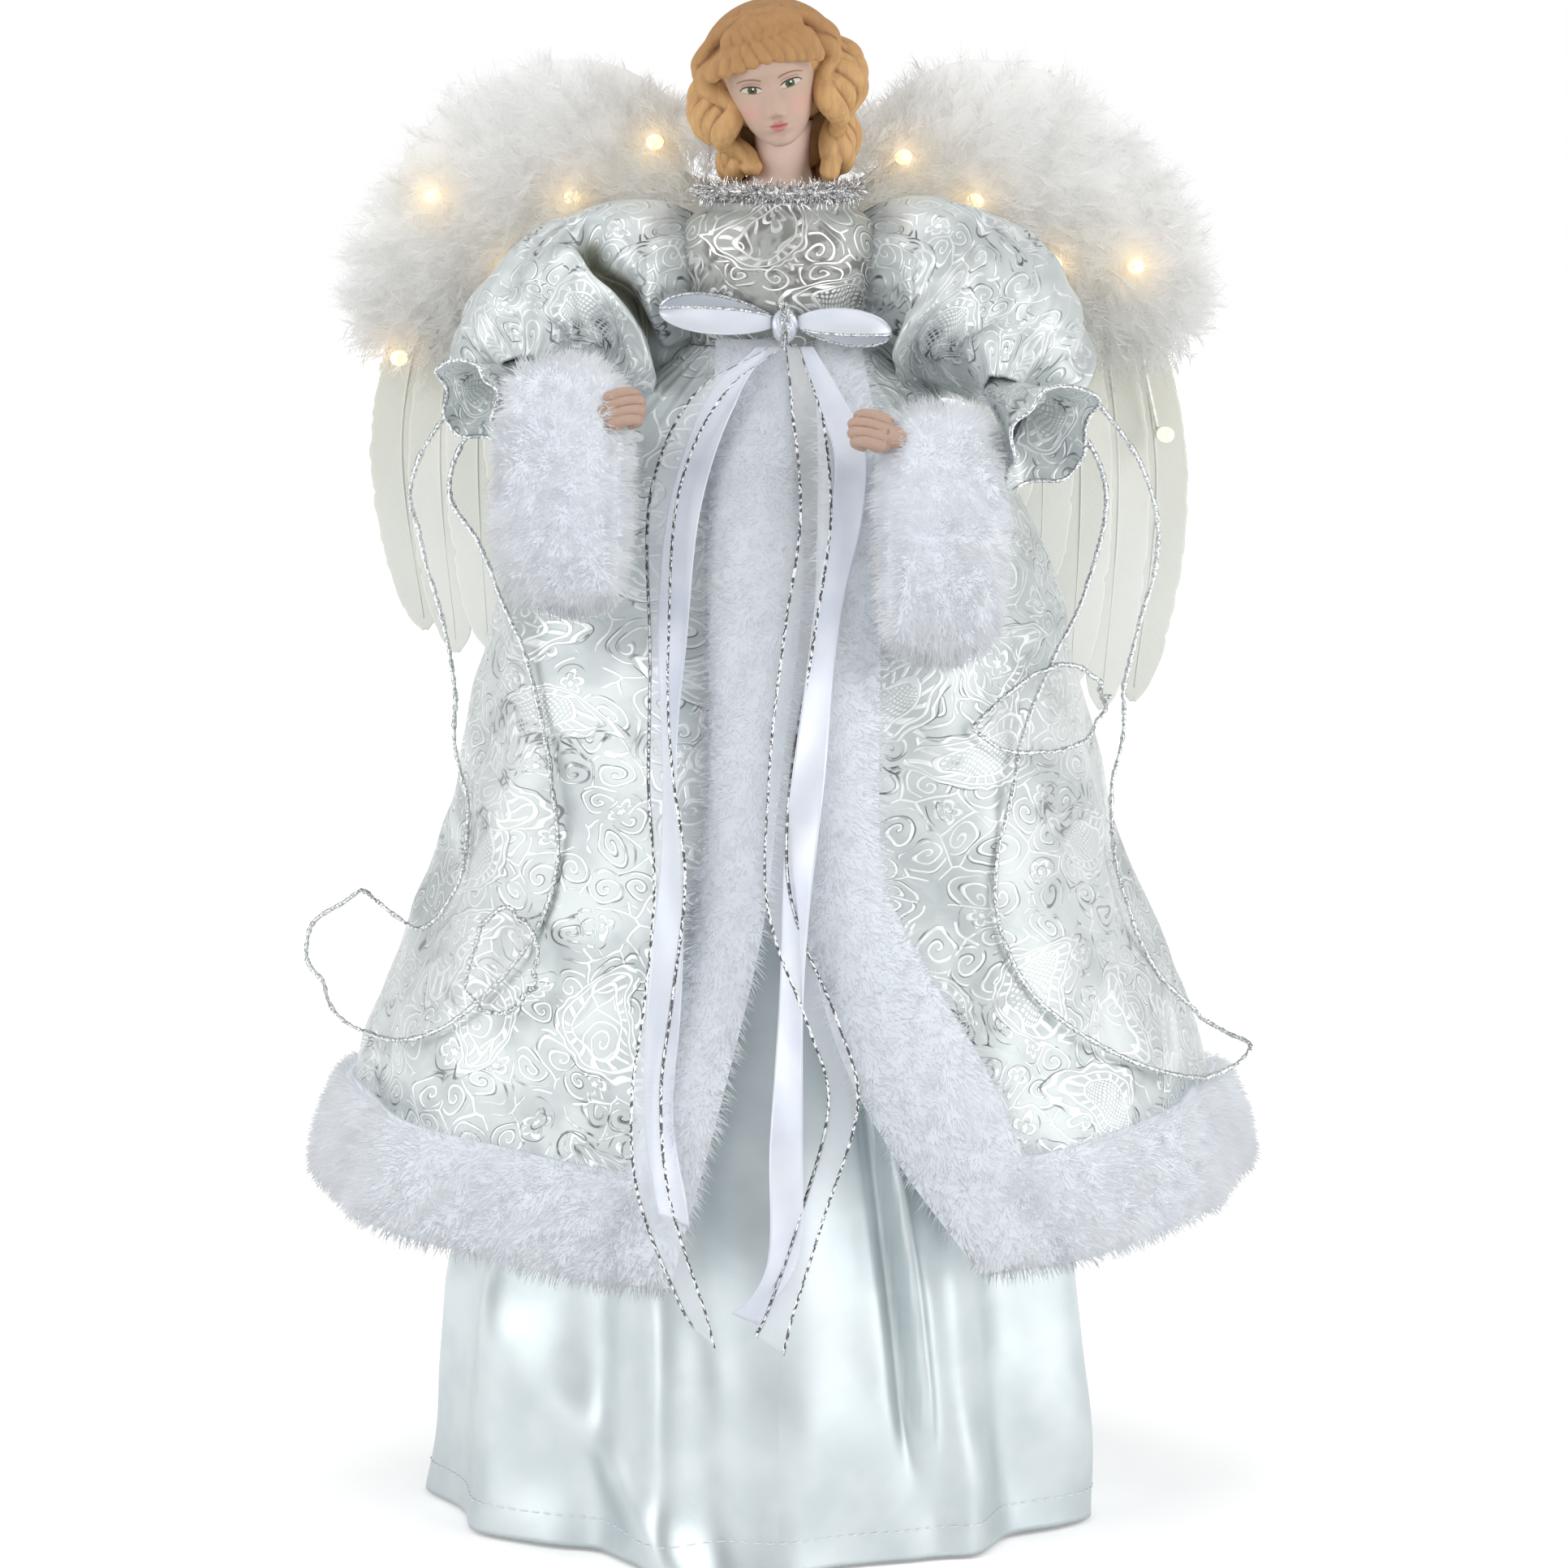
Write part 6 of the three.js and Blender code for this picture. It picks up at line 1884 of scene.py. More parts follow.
@dataclass
class Head:
    """The bisque head: a painted face with neck and shoulder plate, and moulded hair."""

    finishes: Finishes
    centre: Vec = (-1.3, -6.0, 384.0)
    roll: float = math.radians(-11.5)
    nod: float = math.radians(8)
    plate_foot: float = 350.3
    hair_half: float = 19.4
    face_drop: float = 2.9
    skin: Rgb = (192, 165, 149)
    # The neck's skin is painted lighter than the face's, as painted light where the neck stands in shade.
    neck_skin_painted_light: Rgb = (226, 200, 186)
    # Hair colours: towards the crown, towards the curls' ends, and in the grooves, where it is painted shade.
    hair_tones: tuple[Rgb, Rgb, Rgb] = ((172, 130, 84), (204, 162, 110), (124, 86, 52))
    half_width: Curve = through(
        [(-0.2, 6.0), (-0.1, 5.0), (0, 3.3), (0.06, 5.2), (0.2, 7.9), (0.45, 10.8), (0.62, 11.9), (0.8, 12.4),
         (1, 11.5)]
    )
    front: Curve = through(
        [(-0.2, -6.0), (-0.1, -11.5), (-0.03, -16.6), (0.03, -18.7), (0.09, -19.2), (0.16, -19.2),
         (0.24, -19.9), (0.36, -19.9), (0.54, -19.6), (0.62, -19.5), (0.76, -20.2), (0.9, -19.3), (1, -17.6)]
    )
    level: Curve = through(
        [(-0.2, -10.4), (-0.1, -11.6), (-0.03, -12.2), (0.03, -11.6), (0.09, -10.4), (0.16, -8.8),
         (0.24, -6.8), (0.36, -3.6), (0.54, 2.0), (0.62, 4.4), (0.76, 8.4), (0.9, 12.4), (1, 15)]
    )
    nose: Curve = through(
        [(-5.0, 0), (-4.1, 0.25), (-3.4, 1.7), (-2.5, 2.5), (-1.0, 2.0), (1.5, 1.1), (4, 0.45), (6.5, 0)]
    )
    pairs: tuple[Lump, ...] = (
        Lump(0.35, 1.5, -3.2, 0.7, 0.8), Lump(-1.0, 5.2, 4.0, 3.0, 1.9), Lump(0.75, 5.2, 3.8, 2.0, 1.15),
        Lump(0.45, 6.6, -1.5, 3.4, 3.0), Lump(0.25, 4.8, 7.2, 3.2, 1.0),
    )
    middles: tuple[Lump, ...] = (
        Lump(0.75, 0, -5.55, 2.2, 0.62), Lump(0.85, 0, -7.0, 1.9, 0.7), Lump(-0.5, 0, -6.25, 2.6, 0.3),
        Lump(-0.35, 0, -8.4, 2.4, 0.6), Lump(0.6, 0, -10.3, 2.6, 1.5), Lump(-0.2, 0, -4.7, 0.5, 0.6),
    )

    @property
    def tilt(self) -> Array:
        """The head's nod and lean."""
        return euler(self.nod, self.roll, 0.0)

    def build(self) -> None:
        """Makes the face with its neck, and the hair."""
        face = self.face().moved(self.tilt, np.array(self.centre) - np.array([0.0, 0.0, self.face_drop]))
        neck = self.neck()
        # Painted light: the neck takes the lighter skin.
        neck.values["paint"] = np.tile(linear(self.neck_skin_painted_light), (len(neck.points), 1))
        piece = Shape.join(face, neck).build("bisque_face", self.finishes.skin)
        finish_piece(piece, "figure", "bisque", "bisque_head")
        hair = self.hair()
        # The hair is darker towards the crown and lighter towards the curls' ends; its grooves are darkened
        # as painted shade.
        top, low, deep = (linear(tone) for tone in self.hair_tones)
        light = top + (low - top) * smooth(hair.points[:, 2], 16.0, -6.0)[:, None]
        share = smooth(hair.values.pop("hollow"), -0.02, 0.1)[:, None]
        hair.values["paint"] = light + (deep - light) * share
        hair.moved(self.tilt, np.array(self.centre))
        finish_piece(hair.build("moulded_hair", self.finishes.hair), "figure", "bisque")

    def neck(self) -> Shape:
        """The neck and the shoulder plate, turned about Z and leaning forward."""
        foot = self.plate_foot
        profile = [(18.4, foot), (18.4, foot + 1.2), (15.5, foot + 3), (11.5, foot + 5), (8.9, foot + 7.5),
                   (7.7, foot + 11), (7.3, foot + 15), (7.4, foot + 19), (8.2, foot + 23)]
        shape = lathe(profile, 64)
        share = smooth(shape.points[:, 2], foot + 4, foot + 20)
        plate = 1 - smooth(shape.points[:, 2], foot, foot + 7)
        shape.points[:, 1] *= 1 - 0.2 * plate
        shape.points[:, :2] += share[:, None] * np.array([0.9, -5.2])
        return shape

    def face(self) -> Shape:
        """The face: rows of half ovals from under the chin to the brow, with modelled features.

        The features are bell curves pushed forwards: nose, lids, cheeks, lips and chin.

        Returns:
            The surface in the head's own frame, with its paint.
        """
        rows, columns = 300, 230
        turn, v = np.meshgrid(np.linspace(-1.62, 1.62, columns), np.linspace(-0.2, 1, rows))
        x = self.half_width(v) * np.sin(turn)
        back = -4.0
        y = back + (self.front(v) - back) * np.maximum(np.cos(turn), 0) ** 0.72
        z = self.level(v)
        width = 0.95 + 0.75 * smooth(z, 3.0, -2.8)
        push = np.where((z > -5) & (z < 6.5), self.nose(z), 0) * np.exp(-((x / width) ** 2))
        for sign in (-1, 1):
            push = push + sum(lump.at(x, z, sign) for lump in self.pairs)
        push = push + sum(lump.at(x, z) for lump in self.middles)
        flat = np.maximum(np.cos(turn), 0.2)
        surface = np.stack([x, y - push * flat, z], -1)
        uv = np.stack([x, z], -1) / UV_UNIT
        shape = grid(surface, uv)
        shape.values["paint"] = self.paint(x.ravel(), z.ravel())
        return shape

    def paint(self, x: Array, z: Array) -> Array:
        """The face's paint: blush, eyes with lids and lashes, brows and lips.

        Each eye has a painted highlight, and painted shade lies in the nostrils and under the lower lip.

        Args:
            x: places across the face.
            z: places up the face.

        Returns:
            Linear colours.
        """
        colour = np.tile(linear(self.skin), (len(x), 1))

        def lay(share: Array, tint: Rgb) -> None:
            """Lays a tint over the paint."""
            nonlocal colour
            colour = colour + np.clip(share, 0, 1)[:, None] * (linear(tint) - colour)

        for sign in (-1, 1):
            lay(0.4 * bell(x, z, 6.6 * sign, -2.2, 2.9, 2.4), (222, 158, 144))
            ex, ez = sign * (x - 5.15 * sign), z - 3.75
            arch = np.sqrt(np.maximum(1 - (ex / 2.75) ** 2, 0))
            upper, lower = 1.05 * arch + 0.12 * ex, -0.8 * arch + 0.1 * ex
            inside = smooth(upper - ez, -0.05, 0.12) * smooth(ez - lower, -0.05, 0.12) * (np.abs(ex) < 2.75)
            lay(0.3 * bell(ex, ez, 0.0, 1.5, 2.6, 0.9), (176, 138, 122))
            lay(inside, (206, 196, 182))
            iris = np.hypot(ex + 0.1, ez - 0.12)
            lay(inside * smooth(iris, 1.3, 1.1), (60, 80, 46))
            lay(inside * smooth(iris, 1.3, 1.15) * smooth(iris, 0.95, 1.12), (30, 36, 26))
            lay(inside * smooth(iris, 0.62, 0.48), (16, 16, 14))
            # A painted highlight in each eye, on the same side of both.
            lay(inside * smooth(np.hypot(ex - 0.3 * sign + 0.1, ez - 0.5), 0.3, 0.2), (250, 250, 246))
            reach = smooth(np.abs(ex - 0.25), 3.1, 2.7)
            lash = np.where(np.abs(ex) < 2.75, upper, 0.12 * ex)
            lay(reach * smooth(np.abs(ez - lash - 0.08), 0.3, 0.14), (52, 36, 28))
            lay(0.55 * smooth(np.abs(ex), 2.6, 2.2) * smooth(np.abs(ez - lower), 0.2, 0.06), (120, 86, 70))
            crease = 1.05 * np.sqrt(np.maximum(1 - (ex / 3.1) ** 2, 0)) + 0.85 + 0.1 * ex
            lay(0.6 * smooth(np.abs(ex), 2.7, 2.1) * smooth(np.abs(ez - crease), 0.22, 0.07), (134, 96, 78))
            brow = 3.15 - 0.075 * (ex - 0.5) ** 2
            taper = 0.25 - 0.03 * np.clip(ex, -1, 3)
            hairs = smooth(np.abs(ex - 0.4), 3.5, 3.0) * smooth(np.abs(ez - brow), taper + 0.12, 0.05)
            lay(0.85 * hairs, (112, 80, 58))
            # Painted shade in the nostrils.
            lay(0.55 * bell(x, z, 0.95 * sign, -3.95, 0.4, 0.25), (170, 120, 106))
        bow = -5.2 + 0.32 * np.cos(np.clip(x, -1.6, 1.6) * 3.4) * -0.5 - 0.16 * x ** 2
        pout = -7.75 + 0.22 * x ** 2
        lips = smooth(bow - z, -0.15, 0.12) * smooth(z - pout, -0.15, 0.12) * smooth(np.abs(x), 2.85, 2.3)
        lay(0.9 * lips, (192, 122, 116))
        parting = smooth(np.abs(x), 2.5, 1.9) * smooth(np.abs(z + 6.3 - 0.05 * x ** 2), 0.26, 0.08)
        lay(0.6 * parting, (150, 76, 74))
        # Painted shade in the hollow under the lower lip.
        lay(0.25 * bell(x, z, 0.0, -8.6, 3.0, 0.5), (190, 146, 132))
        return colour

    def hair(self) -> Shape:
        """The moulded hair: waved locks over a cap, a rolled fringe, and curls at the ends, as one cast."""
        half = self.hair_half
        crown = ball((0, 4.5, 3.6), (0.99 * half, 0.94 * half, 0.9 * half), 48, 30)
        brow = ball((0, -5.5, 7.5), (14.5, 12.0, 11.2), 48, 30)
        nape = ball((0, 7.5, -12.0), (15.0, 6.5, 15.0), 48, 30)
        locks = [crown, brow, nape]
        rng = np.random.default_rng(91)
        for i in range(13):
            for sign in (-1, 1):
                turn = sign * (0.86 + 0.19 * i)
                drop = 25.5 + 2.0 * sign + 5 * smooth(abs(turn), 1.3, 2.2)
                drop = drop + rng.uniform(-1.5, 1.0) - 1.5 * (i % 2)
                locks.append(self.lock(turn, 1.3 * i + 1.7 * sign, drop, 0.94 if i % 2 else 1.02))
        for i in range(10):
            share = (i / 9 * 2 - 1) * 1.12
            locks.append(self.fringe(share, 0.5 * i, 0.0))
            locks.append(self.fringe(share + 0.12, 0.5 * i + 1.6, 1.0))
        over = np.linspace(-1.35, 1.35, 40)
        rise = np.cos(over)
        roll = np.stack([18.2 * np.sin(over), -2.0 - 10.0 * rise ** 1.2, 4.5 + 14.4 * rise], -1)
        locks.append(tube(roll, 2.1 + 0.35 * np.sin(9 * over), 14))
        return fuse(locks, 0.42, 6)

    def lock(self, turn: float, wave: float, drop: float, stand: float) -> Shape:
        """A waved lock from the crown over the side and down to the collar, with a curl at its end."""
        i = np.linspace(0, 6, 60)
        over, down = np.clip(i / 3, 0, 1), np.maximum(i / 3 - 1, 0)
        fall = 0.25 + over * (0.5 * math.pi - 0.25)
        angle = turn + 0.17 * np.sin(2.6 * i + wave) * smooth(i, 0.8, 2.4)
        waves = 0.1 * np.sin(3.2 * i + 0.9 + 0.4 * wave) * smooth(i, 1.2, 2.8)
        tuck = 0.32 + 0.14 * max(math.sin(turn), 0.0)
        reach = self.hair_half * stand * (np.sin(fall) - tuck * down ** 2 + waves)
        line = np.stack([
            reach * np.sin(angle), 2 - 0.92 * reach * np.cos(angle),
            0.94 * self.hair_half * np.cos(fall) - drop * down,
        ], -1)
        swell = 1 + 0.2 * np.sin(3.2 * i + 0.4 * wave + 1.4) * smooth(i, 1.5, 3)
        end = 1 - 0.3 * down ** 3 - 0.5 * smooth(down, 0.93, 1.0)
        return tube(line, (1.7 + 1.25 * smooth(i, 0.8, 3)) * swell * end, 14)

    def fringe(self, share: float, wave: float, tier: float) -> Shape:
        """A lock of the fringe, swept in waves from the crown down and aside over the brow."""
        run = np.linspace(-0.6, 1, 46)
        t, back = np.maximum(run, 0), np.maximum(-run, 0) / 0.6
        x = 3.0 * share + (10.4 - 2.5 * tier) * share * t + 1.5 * np.sin(6 * t + wave) * smooth(t, 0.0, 0.3)
        y = -12.6 - 6.9 * np.sin(1.45 * t) * (1 - 0.42 * (share * t) ** 2) + 1.6 * tier + 13 * back
        z = 17.4 + 1.4 * tier - (10.2 - 4.6 * tier) * t ** 1.3 - 1.8 * abs(share) * t - back ** 2
        radius = (2.2 + 0.3 * np.sin(8 * t + wave)) * (1 - 0.4 * smooth(t, 0.9, 1))
        return tube(np.stack([x, y, z], -1), radius, 12)


@dataclass
class Wing:
    """One wing: flight feathers, a marabou pad and its lamps, in the wing's own frame.

    Places are across from the hinge line, back, and up from the shoulder's height; [across, up] pairs are
    in shares of the span.
    """

    finishes: Finishes
    side: Side
    lift: float
    lamps: tuple[tuple[float, float], ...]
    span: float = 100.0
    sweep: float = math.radians(12)
    hinge: Vec = (10.0, 26.8, 337.0)
    feather_count: int = 5
    feather_half: float = 9.5
    feather_pitch: float = 1.0
    feather_tips: tuple[float, ...] = (-1.25, -1.27, -1.21, -0.95, -0.75)
    lamp_base: float = -7.0
    lamp_radius: float = 2.1
    lamp_length: float = 11.0
    plumes: int = 940
    front_plumes: int = 760
    barbs: int = 40
    vane: Curve = through([(0, 0.25), (0.2, 0.75), (0.55, 1), (0.85, 0.8), (0.96, 0.42), (1, 0.1)])
    pad_half: Curve = through([(0, 0.2), (0.25, 0.25), (0.5, 0.25), (0.75, 0.21), (0.9, 0.16), (1, 0.09)])

    @property
    def body(self) -> str:
        """The CAD body that the wing rides on."""
        return f"{self.side.word}_wing"

    def world(self, places: Array) -> Array:
        """Places in the wing's frame as points of the object."""
        x, y, z = np.moveaxis(np.asarray(places, float), -1, 0)
        cos, sin = math.cos(self.sweep), math.sin(self.sweep)
        return np.stack([
            self.side.value * (self.hinge[0] + x * cos - y * sin),
            self.hinge[1] + x * sin + y * cos,
            self.hinge[2] + z,
        ], -1)

    def build(self) -> None:
        """Makes the feathers, the down and the lamps."""
        for index in range(self.feather_count):
            self.make_feather(index)
        self.make_down()
        for index, place in enumerate(self.lamps):
            self.make_lamp(index, place)

    def make_feather(self, index: int) -> None:
        """One flight feather: a cambered vane with split edges on a tapered shaft."""
        rng = np.random.default_rng(100 + index + 10 * self.side.value)
        root = (0.86 - 0.1 * index, 0.15 - 0.14 * (1 - index / (self.feather_count - 1)) ** 2)
        tip = (0.9 - 0.092 * index, self.feather_tips[index] + self.lift * (1 - 0.2 * index))
        middle = (0.45 * root[0] + 0.55 * tip[0] + 0.08 - 0.016 * index, 0.5 * (root[1] + tip[1]))
        path = Path([(a * self.span, 0.0, b * self.span) for a, b in (root, middle, tip)])
        layer = -0.3 - index * self.feather_pitch - 0.35
        rows, columns = 190, 23
        u, v = np.meshgrid(np.linspace(-1, 1, columns), np.linspace(0, 1, rows))
        along = path.heading(v)
        across = np.stack([-along[..., 2], 0 * v, along[..., 0]], -1)
        split = np.interp(v, np.linspace(0, 1, 60), rng.uniform(0.93, 1.0, 60))
        split = split - 0.1 * np.exp(-(((v - rng.uniform(0.5, 0.85)) / 0.008) ** 2)) * (u > 0)
        split = split - 0.1 * np.exp(-(((v - rng.uniform(0.4, 0.8)) / 0.008) ** 2)) * (u < 0)
        half = self.feather_half * self.vane(v) * (1 + (split - 1) * np.abs(u) ** 3)
        place = path.along(v) + (half * u)[..., None] * across
        place = place + along * (0.28 * half * np.abs(u))[..., None]
        camber = 0.3 * (1 - u ** 2) + 0.08 * np.sin(18 * v + 3 * u)
        place[..., 1] = layer - camber
        back = place + np.array([0.0, 0.22, 0.0])
        uv = np.stack([half * u, v * path.length], -1) / UV_UNIT
        vane = shell(self.world(place), self.world(back), uv)
        vane.values["along"] = np.tile(v.ravel(), 2)
        line = path.along(np.linspace(0, 0.97, 60))
        line[:, 1] = layer - 0.3
        shaft = tube(self.world(line), np.linspace(0.55, 0.12, 60), 8)
        shaft.values["along"] = np.repeat(np.linspace(0.3, 1, 60), 8)
        name = f"flight_feather_{index + 1}_{self.side.word}"
        feather = Shape.join(vane, shaft).build(f"plume_{index + 1}_{self.side.word}", self.finishes.plume)
        finish_piece(feather, self.body, "feather", name)

    def lamp_glow(self, places: Array) -> Array:
        """How strongly the lamps light each place in the wing's frame: bell curves of the distance."""
        ahead = self.lamp_base - 0.6 * self.lamp_length
        lamps = np.array([(a * self.span, ahead, b * self.span) for a, b in self.lamps])
        apart = np.linalg.norm((places[:, None] - lamps[None]) * np.array([1, 0.45, 1]), axis=-1)
        return np.exp(-((apart / 6.5) ** 2)).sum(axis=1) + 0.35 * np.exp(-((apart / 15.0) ** 2)).sum(axis=1)

    def pad(self, u: Array, v: Array, share: Array | float) -> Array:
        """The marabou's backing, u from the lower to the upper edge and v from the root to the tip."""
        curve = Path([(a * self.span, 0.0, b * self.span)
                      for a, b in ((0.22, 0.22), (0.42, 0.29), (0.66, 0.2), (0.84, 0.0), (0.95, -0.21))])
        along = curve.heading(v)
        across = np.stack([-along[..., 2], 0 * along[..., 0], along[..., 0]], -1)
        half = self.span * self.pad_half(v) * 0.93
        place = curve.along(v) + (half * (2 * u - 1))[..., None] * across
        crown = np.sqrt(np.maximum(1 - (2 * u - 1) ** 2, 0)) * np.clip(6 * np.minimum(v, 1 - v), 0, 1)
        place[..., 1] = -7.2 - share * (1.2 + 4.5 * crown)
        return place

    def make_down(self) -> None:
        """The marabou: a thin backing and many plumes, each a bent shaft with barbs on both sides."""
        rng = np.random.default_rng(120 + self.side.value)
        u, v = lattice(61, 21)
        uv = np.zeros((61, 21, 2))
        uv[..., 1] = 0.5
        backing = shell(self.pad(u, v, 1.0), self.pad(u, v, 0.0), uv)
        backing.values["glow"] = self.lamp_glow(backing.points)
        plumes, barbs = self.plumes, self.barbs
        behind = np.arange(plumes) >= self.front_plumes
        u, v = rng.uniform(0.0, 0.86, plumes), rng.uniform(-0.15, 1.0, plumes)
        u = np.where(behind, 0.56 + 0.3 * u, u)
        face = np.where(behind, -1.0, 1.0)[:, None] * np.array([0.0, 1.0, 0.0]) + np.array([1.0, 0.0, 1.0])
        within = np.clip(v, 0, 1)
        root = self.pad(np.clip(u, 0, 1), within, np.where(behind, 0.0, 0.8))
        root = root - np.maximum(-v, 0)[:, None] * np.array([95.0, 0.0, 35.0])
        upper = self.pad(np.clip(u + 0.02, 0, 1), within, 0.8)
        lower = self.pad(np.clip(u - 0.02, 0, 1), within, 0.8)
        out = unit((upper - lower) * np.array([1, 0, 1]))
        side = np.stack([out[:, 2], 0 * u, -out[:, 0]], -1)
        fan = (1.9 * u - 0.55)[:, None] * out + 0.55 * side + np.array([0.0, -0.28, -0.12]) * face
        fan = unit(fan + rng.normal(size=(plumes, 3)) * np.array([0.36, 0.22, 0.36]))
        long = rng.uniform(10, 17, (plumes, 1)) * (1.05 - 0.45 * smooth(u, 0.5, 0.93))[:, None]
        share = rng.uniform(0, 1, (plumes, barbs))
        bend = rng.normal(size=(plumes, 3)) * np.array([2.4, 1.0, 2.4]) + np.array([0, -1.5, 0]) * face
        place = root[:, None] + share[..., None] * (fan * long)[:, None]
        place = place + (share * (1 - share))[..., None] * bend[:, None]
        wide = unit(np.cross(fan, np.array([0.0, 1.0, 0.0])) + 0.5 * rng.normal(size=(plumes, 3)))
        turn = rng.choice([-1.0, 1.0], (plumes, barbs, 1))
        heading = unit(fan[:, None] * 0.95 + turn * wide[:, None] * rng.uniform(0.45, 1.0, (plumes, barbs, 1))
                       + rng.normal(size=(plumes, barbs, 3)) * 0.2)
        reach = rng.uniform(4.5, 9.5, (plumes, barbs, 1)) * (1.1 - 0.45 * share[..., None])
        roots, tips = place.reshape(-1, 3), (place + heading * reach).reshape(-1, 3)
        lift = (fan[:, None] * 0.9 + rng.normal(size=(plumes, barbs, 3)) * 0.5).reshape(-1, 3)
        normal = np.where(behind[:, None], [0.0, 0.15, 0.3], [0.0, -1.0, 0.15])
        normal = normal + np.where(behind, 1.0, u - 0.5)[:, None] * out
        normal = np.repeat(normal, barbs, axis=0)
        glow = self.lamp_glow(0.5 * (roots + tips))
        normal = normal * np.array([self.side.value, 1, 1])
        blades = Blades(self.world(roots), self.world(tips), normal, 0.22, self.turned(lift))
        backing.points = self.world(backing.points)
        down = Shape.join(backing.outward(), blades.shape(rng, glow=glow))
        piece = down.build(f"marabou_down_{self.side.word}", self.finishes.down)
        finish_piece(piece, self.body, "marabou", f"marabou_{self.side.word}")

    def turned(self, directions: Array) -> Array:
        """Directions in the wing's frame as directions of the object."""
        return self.world(directions) - self.world(np.zeros(3))

    def make_lamp(self, index: int, place: tuple[float, float]) -> None:
        """One lamp: a socket and a rounded glass that points forwards."""
        radius, length = self.lamp_radius, self.lamp_length
        profile = [
            (0.3, 0), (0.8 * radius, 0.02), (0.84 * radius, 0.34 * length), (0.72 * radius, 0.36 * length),
            (0.9 * radius, 0.44 * length), (radius, 0.6 * length), (0.97 * radius, 0.75 * length),
            (0.75 * radius, 0.9 * length), (0.4 * radius, 0.97 * length), (0.05, length),
        ]
        shape = lathe(profile, 24)
        lit = smooth(shape.points[:, 2], 0.34 * length, 0.4 * length)
        shape.points = np.stack([shape.points[:, 0], -shape.points[:, 2], shape.points[:, 1]], -1)
        seat = np.array([place[0] * self.span, self.lamp_base, place[1] * self.span])
        shape.points = self.world(shape.points + seat)
        shape.values["lit"] = lit
        name = f"lamp_{index + 1}_{self.side.word}"
        finish_piece(shape.outward().build(f"lit_{name}", self.finishes.lamp), self.body, "lamp", name)


@dataclass(frozen=True)
class Softbox:
    """A square soft light: its place and size in metres, and its power in watts."""

    name: str
    place: Vec
    size: float
    power: float


@dataclass
class Studio:
    """The pale floor, the soft lights and the camera at the photograph's angle."""

    distance: float = 1.5
    elevation: float = math.radians(8)
    target_height: float = 0.195
    aim_aside: float = 0.0013
    frame_width: float = 0.4239
    sensor: float = 36.0
    surround: float = 0.46
    floor_tones: tuple[Rgb, Rgb] = ((248, 248, 248), (251, 251, 251))
    lights: tuple[Softbox, ...] = (
        Softbox("left_softbox", (-1.6, -0.88, 1.0), 1.4, 19.2),
        Softbox("right_softbox", (1.6, -0.78, 0.9), 1.4, 20.4),
        Softbox("top_softbox", (-0.2, 0.0, 1.9), 1.0, 7.0),
    )

    def build(self) -> None:
        """Makes the camera, the floor, the world and the lights."""
        scene = bpy.context.scene
        scene.view_settings.view_transform = "Standard"
        lens = bpy.data.cameras.new("camera")
        lens.sensor_width = self.sensor
        lens.lens = self.sensor * self.distance / self.frame_width
        lens.clip_end = 50.0
        camera = bpy.data.objects.new("camera", lens)
        scene.collection.objects.link(camera)
        back = np.array([0.0, -math.cos(self.elevation), math.sin(self.elevation)])
        camera.location = np.array([self.aim_aside, 0.0, self.target_height]) + self.distance * back
        camera.rotation_euler = (math.pi / 2 - self.elevation, 0.0, 0.0)
        scene.camera = camera
        self.make_floor()
        self.make_world()
        for box in self.lights:
            self.make_light(box)

    def make_light(self, box: Softbox) -> None:
        """A square soft light that faces the object's middle."""
        light = bpy.data.lights.new(box.name, "AREA")
        light.size = box.size
        light.energy = box.power
        lamp = bpy.data.objects.new(box.name, light)
        bpy.context.scene.collection.objects.link(lamp)
        lamp.location = box.place
        x, y, z = np.array([0, 0, self.target_height]) - np.array(box.place)
        lamp.rotation_euler = (math.pi / 2 + math.atan2(z, math.hypot(x, y)), 0.0, math.atan2(-x, y))

    def make_floor(self) -> None:
        """A round pale floor that fades to white away from the object."""
        angle = np.linspace(0, TURN, 97)[None]
        radius = np.array([[0.001], [0.2], [0.5], [1.2], [6.0]]) / MM
        points = np.stack([radius * np.cos(angle), radius * np.sin(angle), 0 * radius * angle - 0.4], -1)
        floor = grid(points, points[..., :2]).build("floor")
        s = Shader("pale_floor", Roughness=0.9, Specular_IOR_Level=0.1)
        away = s.vector("LENGTH", s.place("Object")).outputs["Value"]
        mottle = s.noise(s.place("Object"), 30.0)
        low, high = (srgb(tone) for tone in self.floor_tones)
        s.link("Base Color", s.mix(s.step(mottle, 0.3, 0.7), low, high))
        s.surface.inputs["Emission Color"].default_value = (1.0, 1.0, 1.0, 1.0)
        path = s.node("LightPath")
        seen = s.math("MAXIMUM", path.outputs["Is Camera Ray"], path.outputs["Is Glossy Ray"])
        lift = s.affine(s.step(away, 0.1, 0.7), 0.6, 0.3)
        s.link("Emission Strength", s.times(lift, seen))
        floor.data.materials.append(s.material)

    def make_world(self) -> None:
        """A white surround, seen as white and softer as light."""
        world = bpy.data.worlds.new("studio")
        world.use_nodes = True
        bpy.context.scene.world = world
        nodes, links = world.node_tree.nodes, world.node_tree.links
        path = nodes.new("ShaderNodeLightPath")
        seen = nodes.new("ShaderNodeMath")
        seen.operation = "ADD"
        seen.use_clamp = True
        links.new(path.outputs["Is Camera Ray"], seen.inputs[0])
        links.new(path.outputs["Is Transmission Ray"], seen.inputs[1])
        level = nodes.new("ShaderNodeMapRange")
        level.inputs["To Min"].default_value = self.surround
        level.inputs["To Max"].default_value = 1.0
        links.new(seen.outputs[0], level.inputs["Value"])
        links.new(level.outputs[0], nodes["Background"].inputs["Strength"])
        nodes["Background"].inputs["Color"].default_value = (1.0, 1.0, 1.0, 1.0)


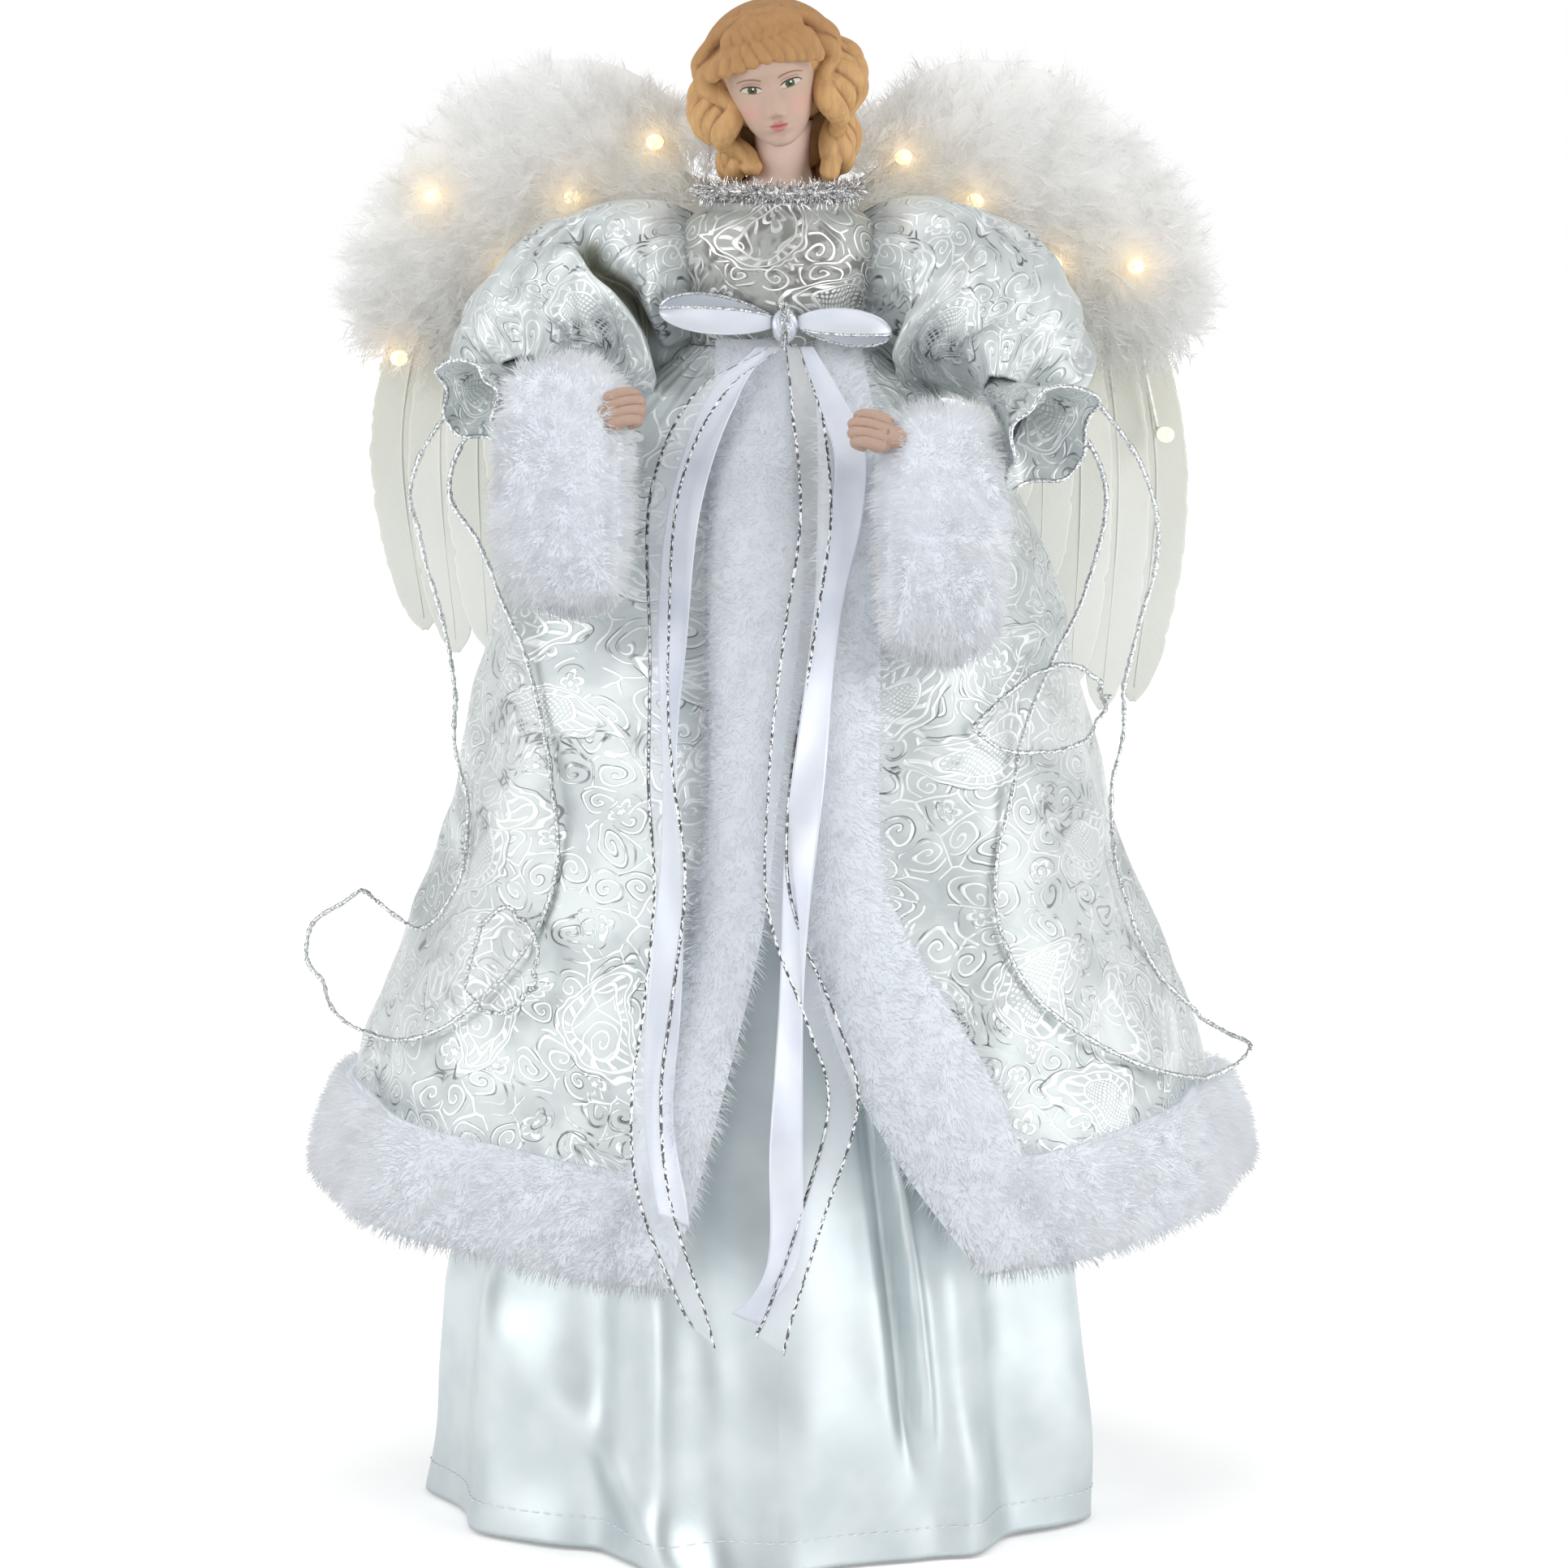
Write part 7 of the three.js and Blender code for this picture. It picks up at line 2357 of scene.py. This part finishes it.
LEFT_STREAMER = (
    ((80, 8, 44), (84, 34, 38), (92, 56, 30), (92, 78, 18), (88, 100, 8), (80, 122, 3), (72, 144, 1.5),
     (72, 164, 1.5), (80, 178, 4), (87, 185, 7)),
    ((66, 8, 40), (68, 35, 32), (66, 56, 20), (58, 78, 9), (48, 100, 3), (40, 122, 1.5), (36, 146, 1.5),
     (40, 168, 1.5), (58, 188, 3), (77, 196, 5)),
)
RIGHT_STREAMER = (
    ((-80, 8, 46), (-80, 36, 38), (-88, 50, 28), (-84, 78, 12), (-76, 102, 5), (-66, 124, 1.5),
     (-62, 142, 1.5), (-70, 154, 3), (-83, 148, 12), (-90, 148, 16)),
    ((-68, 8, 42), (-68, 37, 32), (-64, 52, 18), (-54, 76, 6), (-46, 102, 1.5), (-40, 124, 1.5),
     (-42, 154, 1.5), (-54, 178, 3), (-72, 181, 8), (-86, 172, 16)),
)
LEFT_FRILL = (
    ((36, 97, 3), (43, 88, 8), (53, 82, 11), (62, 84, 12), (69, 92, 11)),
    ((36, 97, 3), (42, 103, 4), (51, 104, 7), (61, 102, 9), (69, 92, 11)),
)
RIGHT_FRILL = (
    ((-50, 149, 4), (-44, 143, 8), (-38, 150, 8), (-37, 163, 5)),
    ((-50, 149, 4), (-47, 166, 6), (-41, 170, 6), (-37, 163, 5)),
)
LEFT_SLEEVE = ((21.5, 1, -2), (42, 0, -2), (58, -8, -12), (63, -19, -26), (59, -28, -34))
RIGHT_SLEEVE = ((21.5, 1, -2), (43, 0, -3), (61, -7, -11), (69, -19, -22), (68, -28, -29))
LEFT_LAMPS = ((0.21, 0.26), (0.41, 0.14), (0.63, -0.03), (0.86, -0.04), (0.95, -0.5))
RIGHT_LAMPS = ((0.21, 0.3), (0.44, 0.15), (0.61, -0.05), (0.83, 0.15), (0.93, -0.29))


def main() -> None:
    logging.basicConfig(level=logging.INFO, format="%(name)s %(message)s")
    Studio().build()
    finishes = Finishes()
    Core(finishes).dress()
    robe = Robe(finishes)
    Underskirt(finishes).build()
    robe.build()
    Bodice(finishes).build()
    Bow(finishes, robe).build()
    Streamer(finishes, robe, Side.LEFT, LEFT_STREAMER, LEFT_FRILL).build()
    Streamer(finishes, robe, Side.RIGHT, RIGHT_STREAMER, RIGHT_FRILL).build()
    Arm(
        finishes, Side.LEFT, cuff_outer=(55, -48, -69), cuff_inner=(30, -62, -68), hand=(30, -57.5, -46),
        sleeve_line=LEFT_SLEEVE, pleat=0.1, flounce_root=(56, -22, -32), flounce_rim=(71, -41, -45),
        flounce_radius=15.0,
    ).build()
    Arm(
        finishes, Side.RIGHT, cuff_outer=(70, -45, -56), cuff_inner=(43, -60, -56), hand=(46.5, -56, -40),
        sleeve_line=RIGHT_SLEEVE, pleat=0.62, flounce_root=(68, -22, -28), flounce_rim=(81, -36, -36),
        flounce_radius=11.5,
    ).build()
    Head(finishes).build()
    Wing(finishes, Side.LEFT, 0.0, LEFT_LAMPS).build()
    Wing(finishes, Side.RIGHT, 0.2, RIGHT_LAMPS).build()


if __name__ == "__main__":
    main()
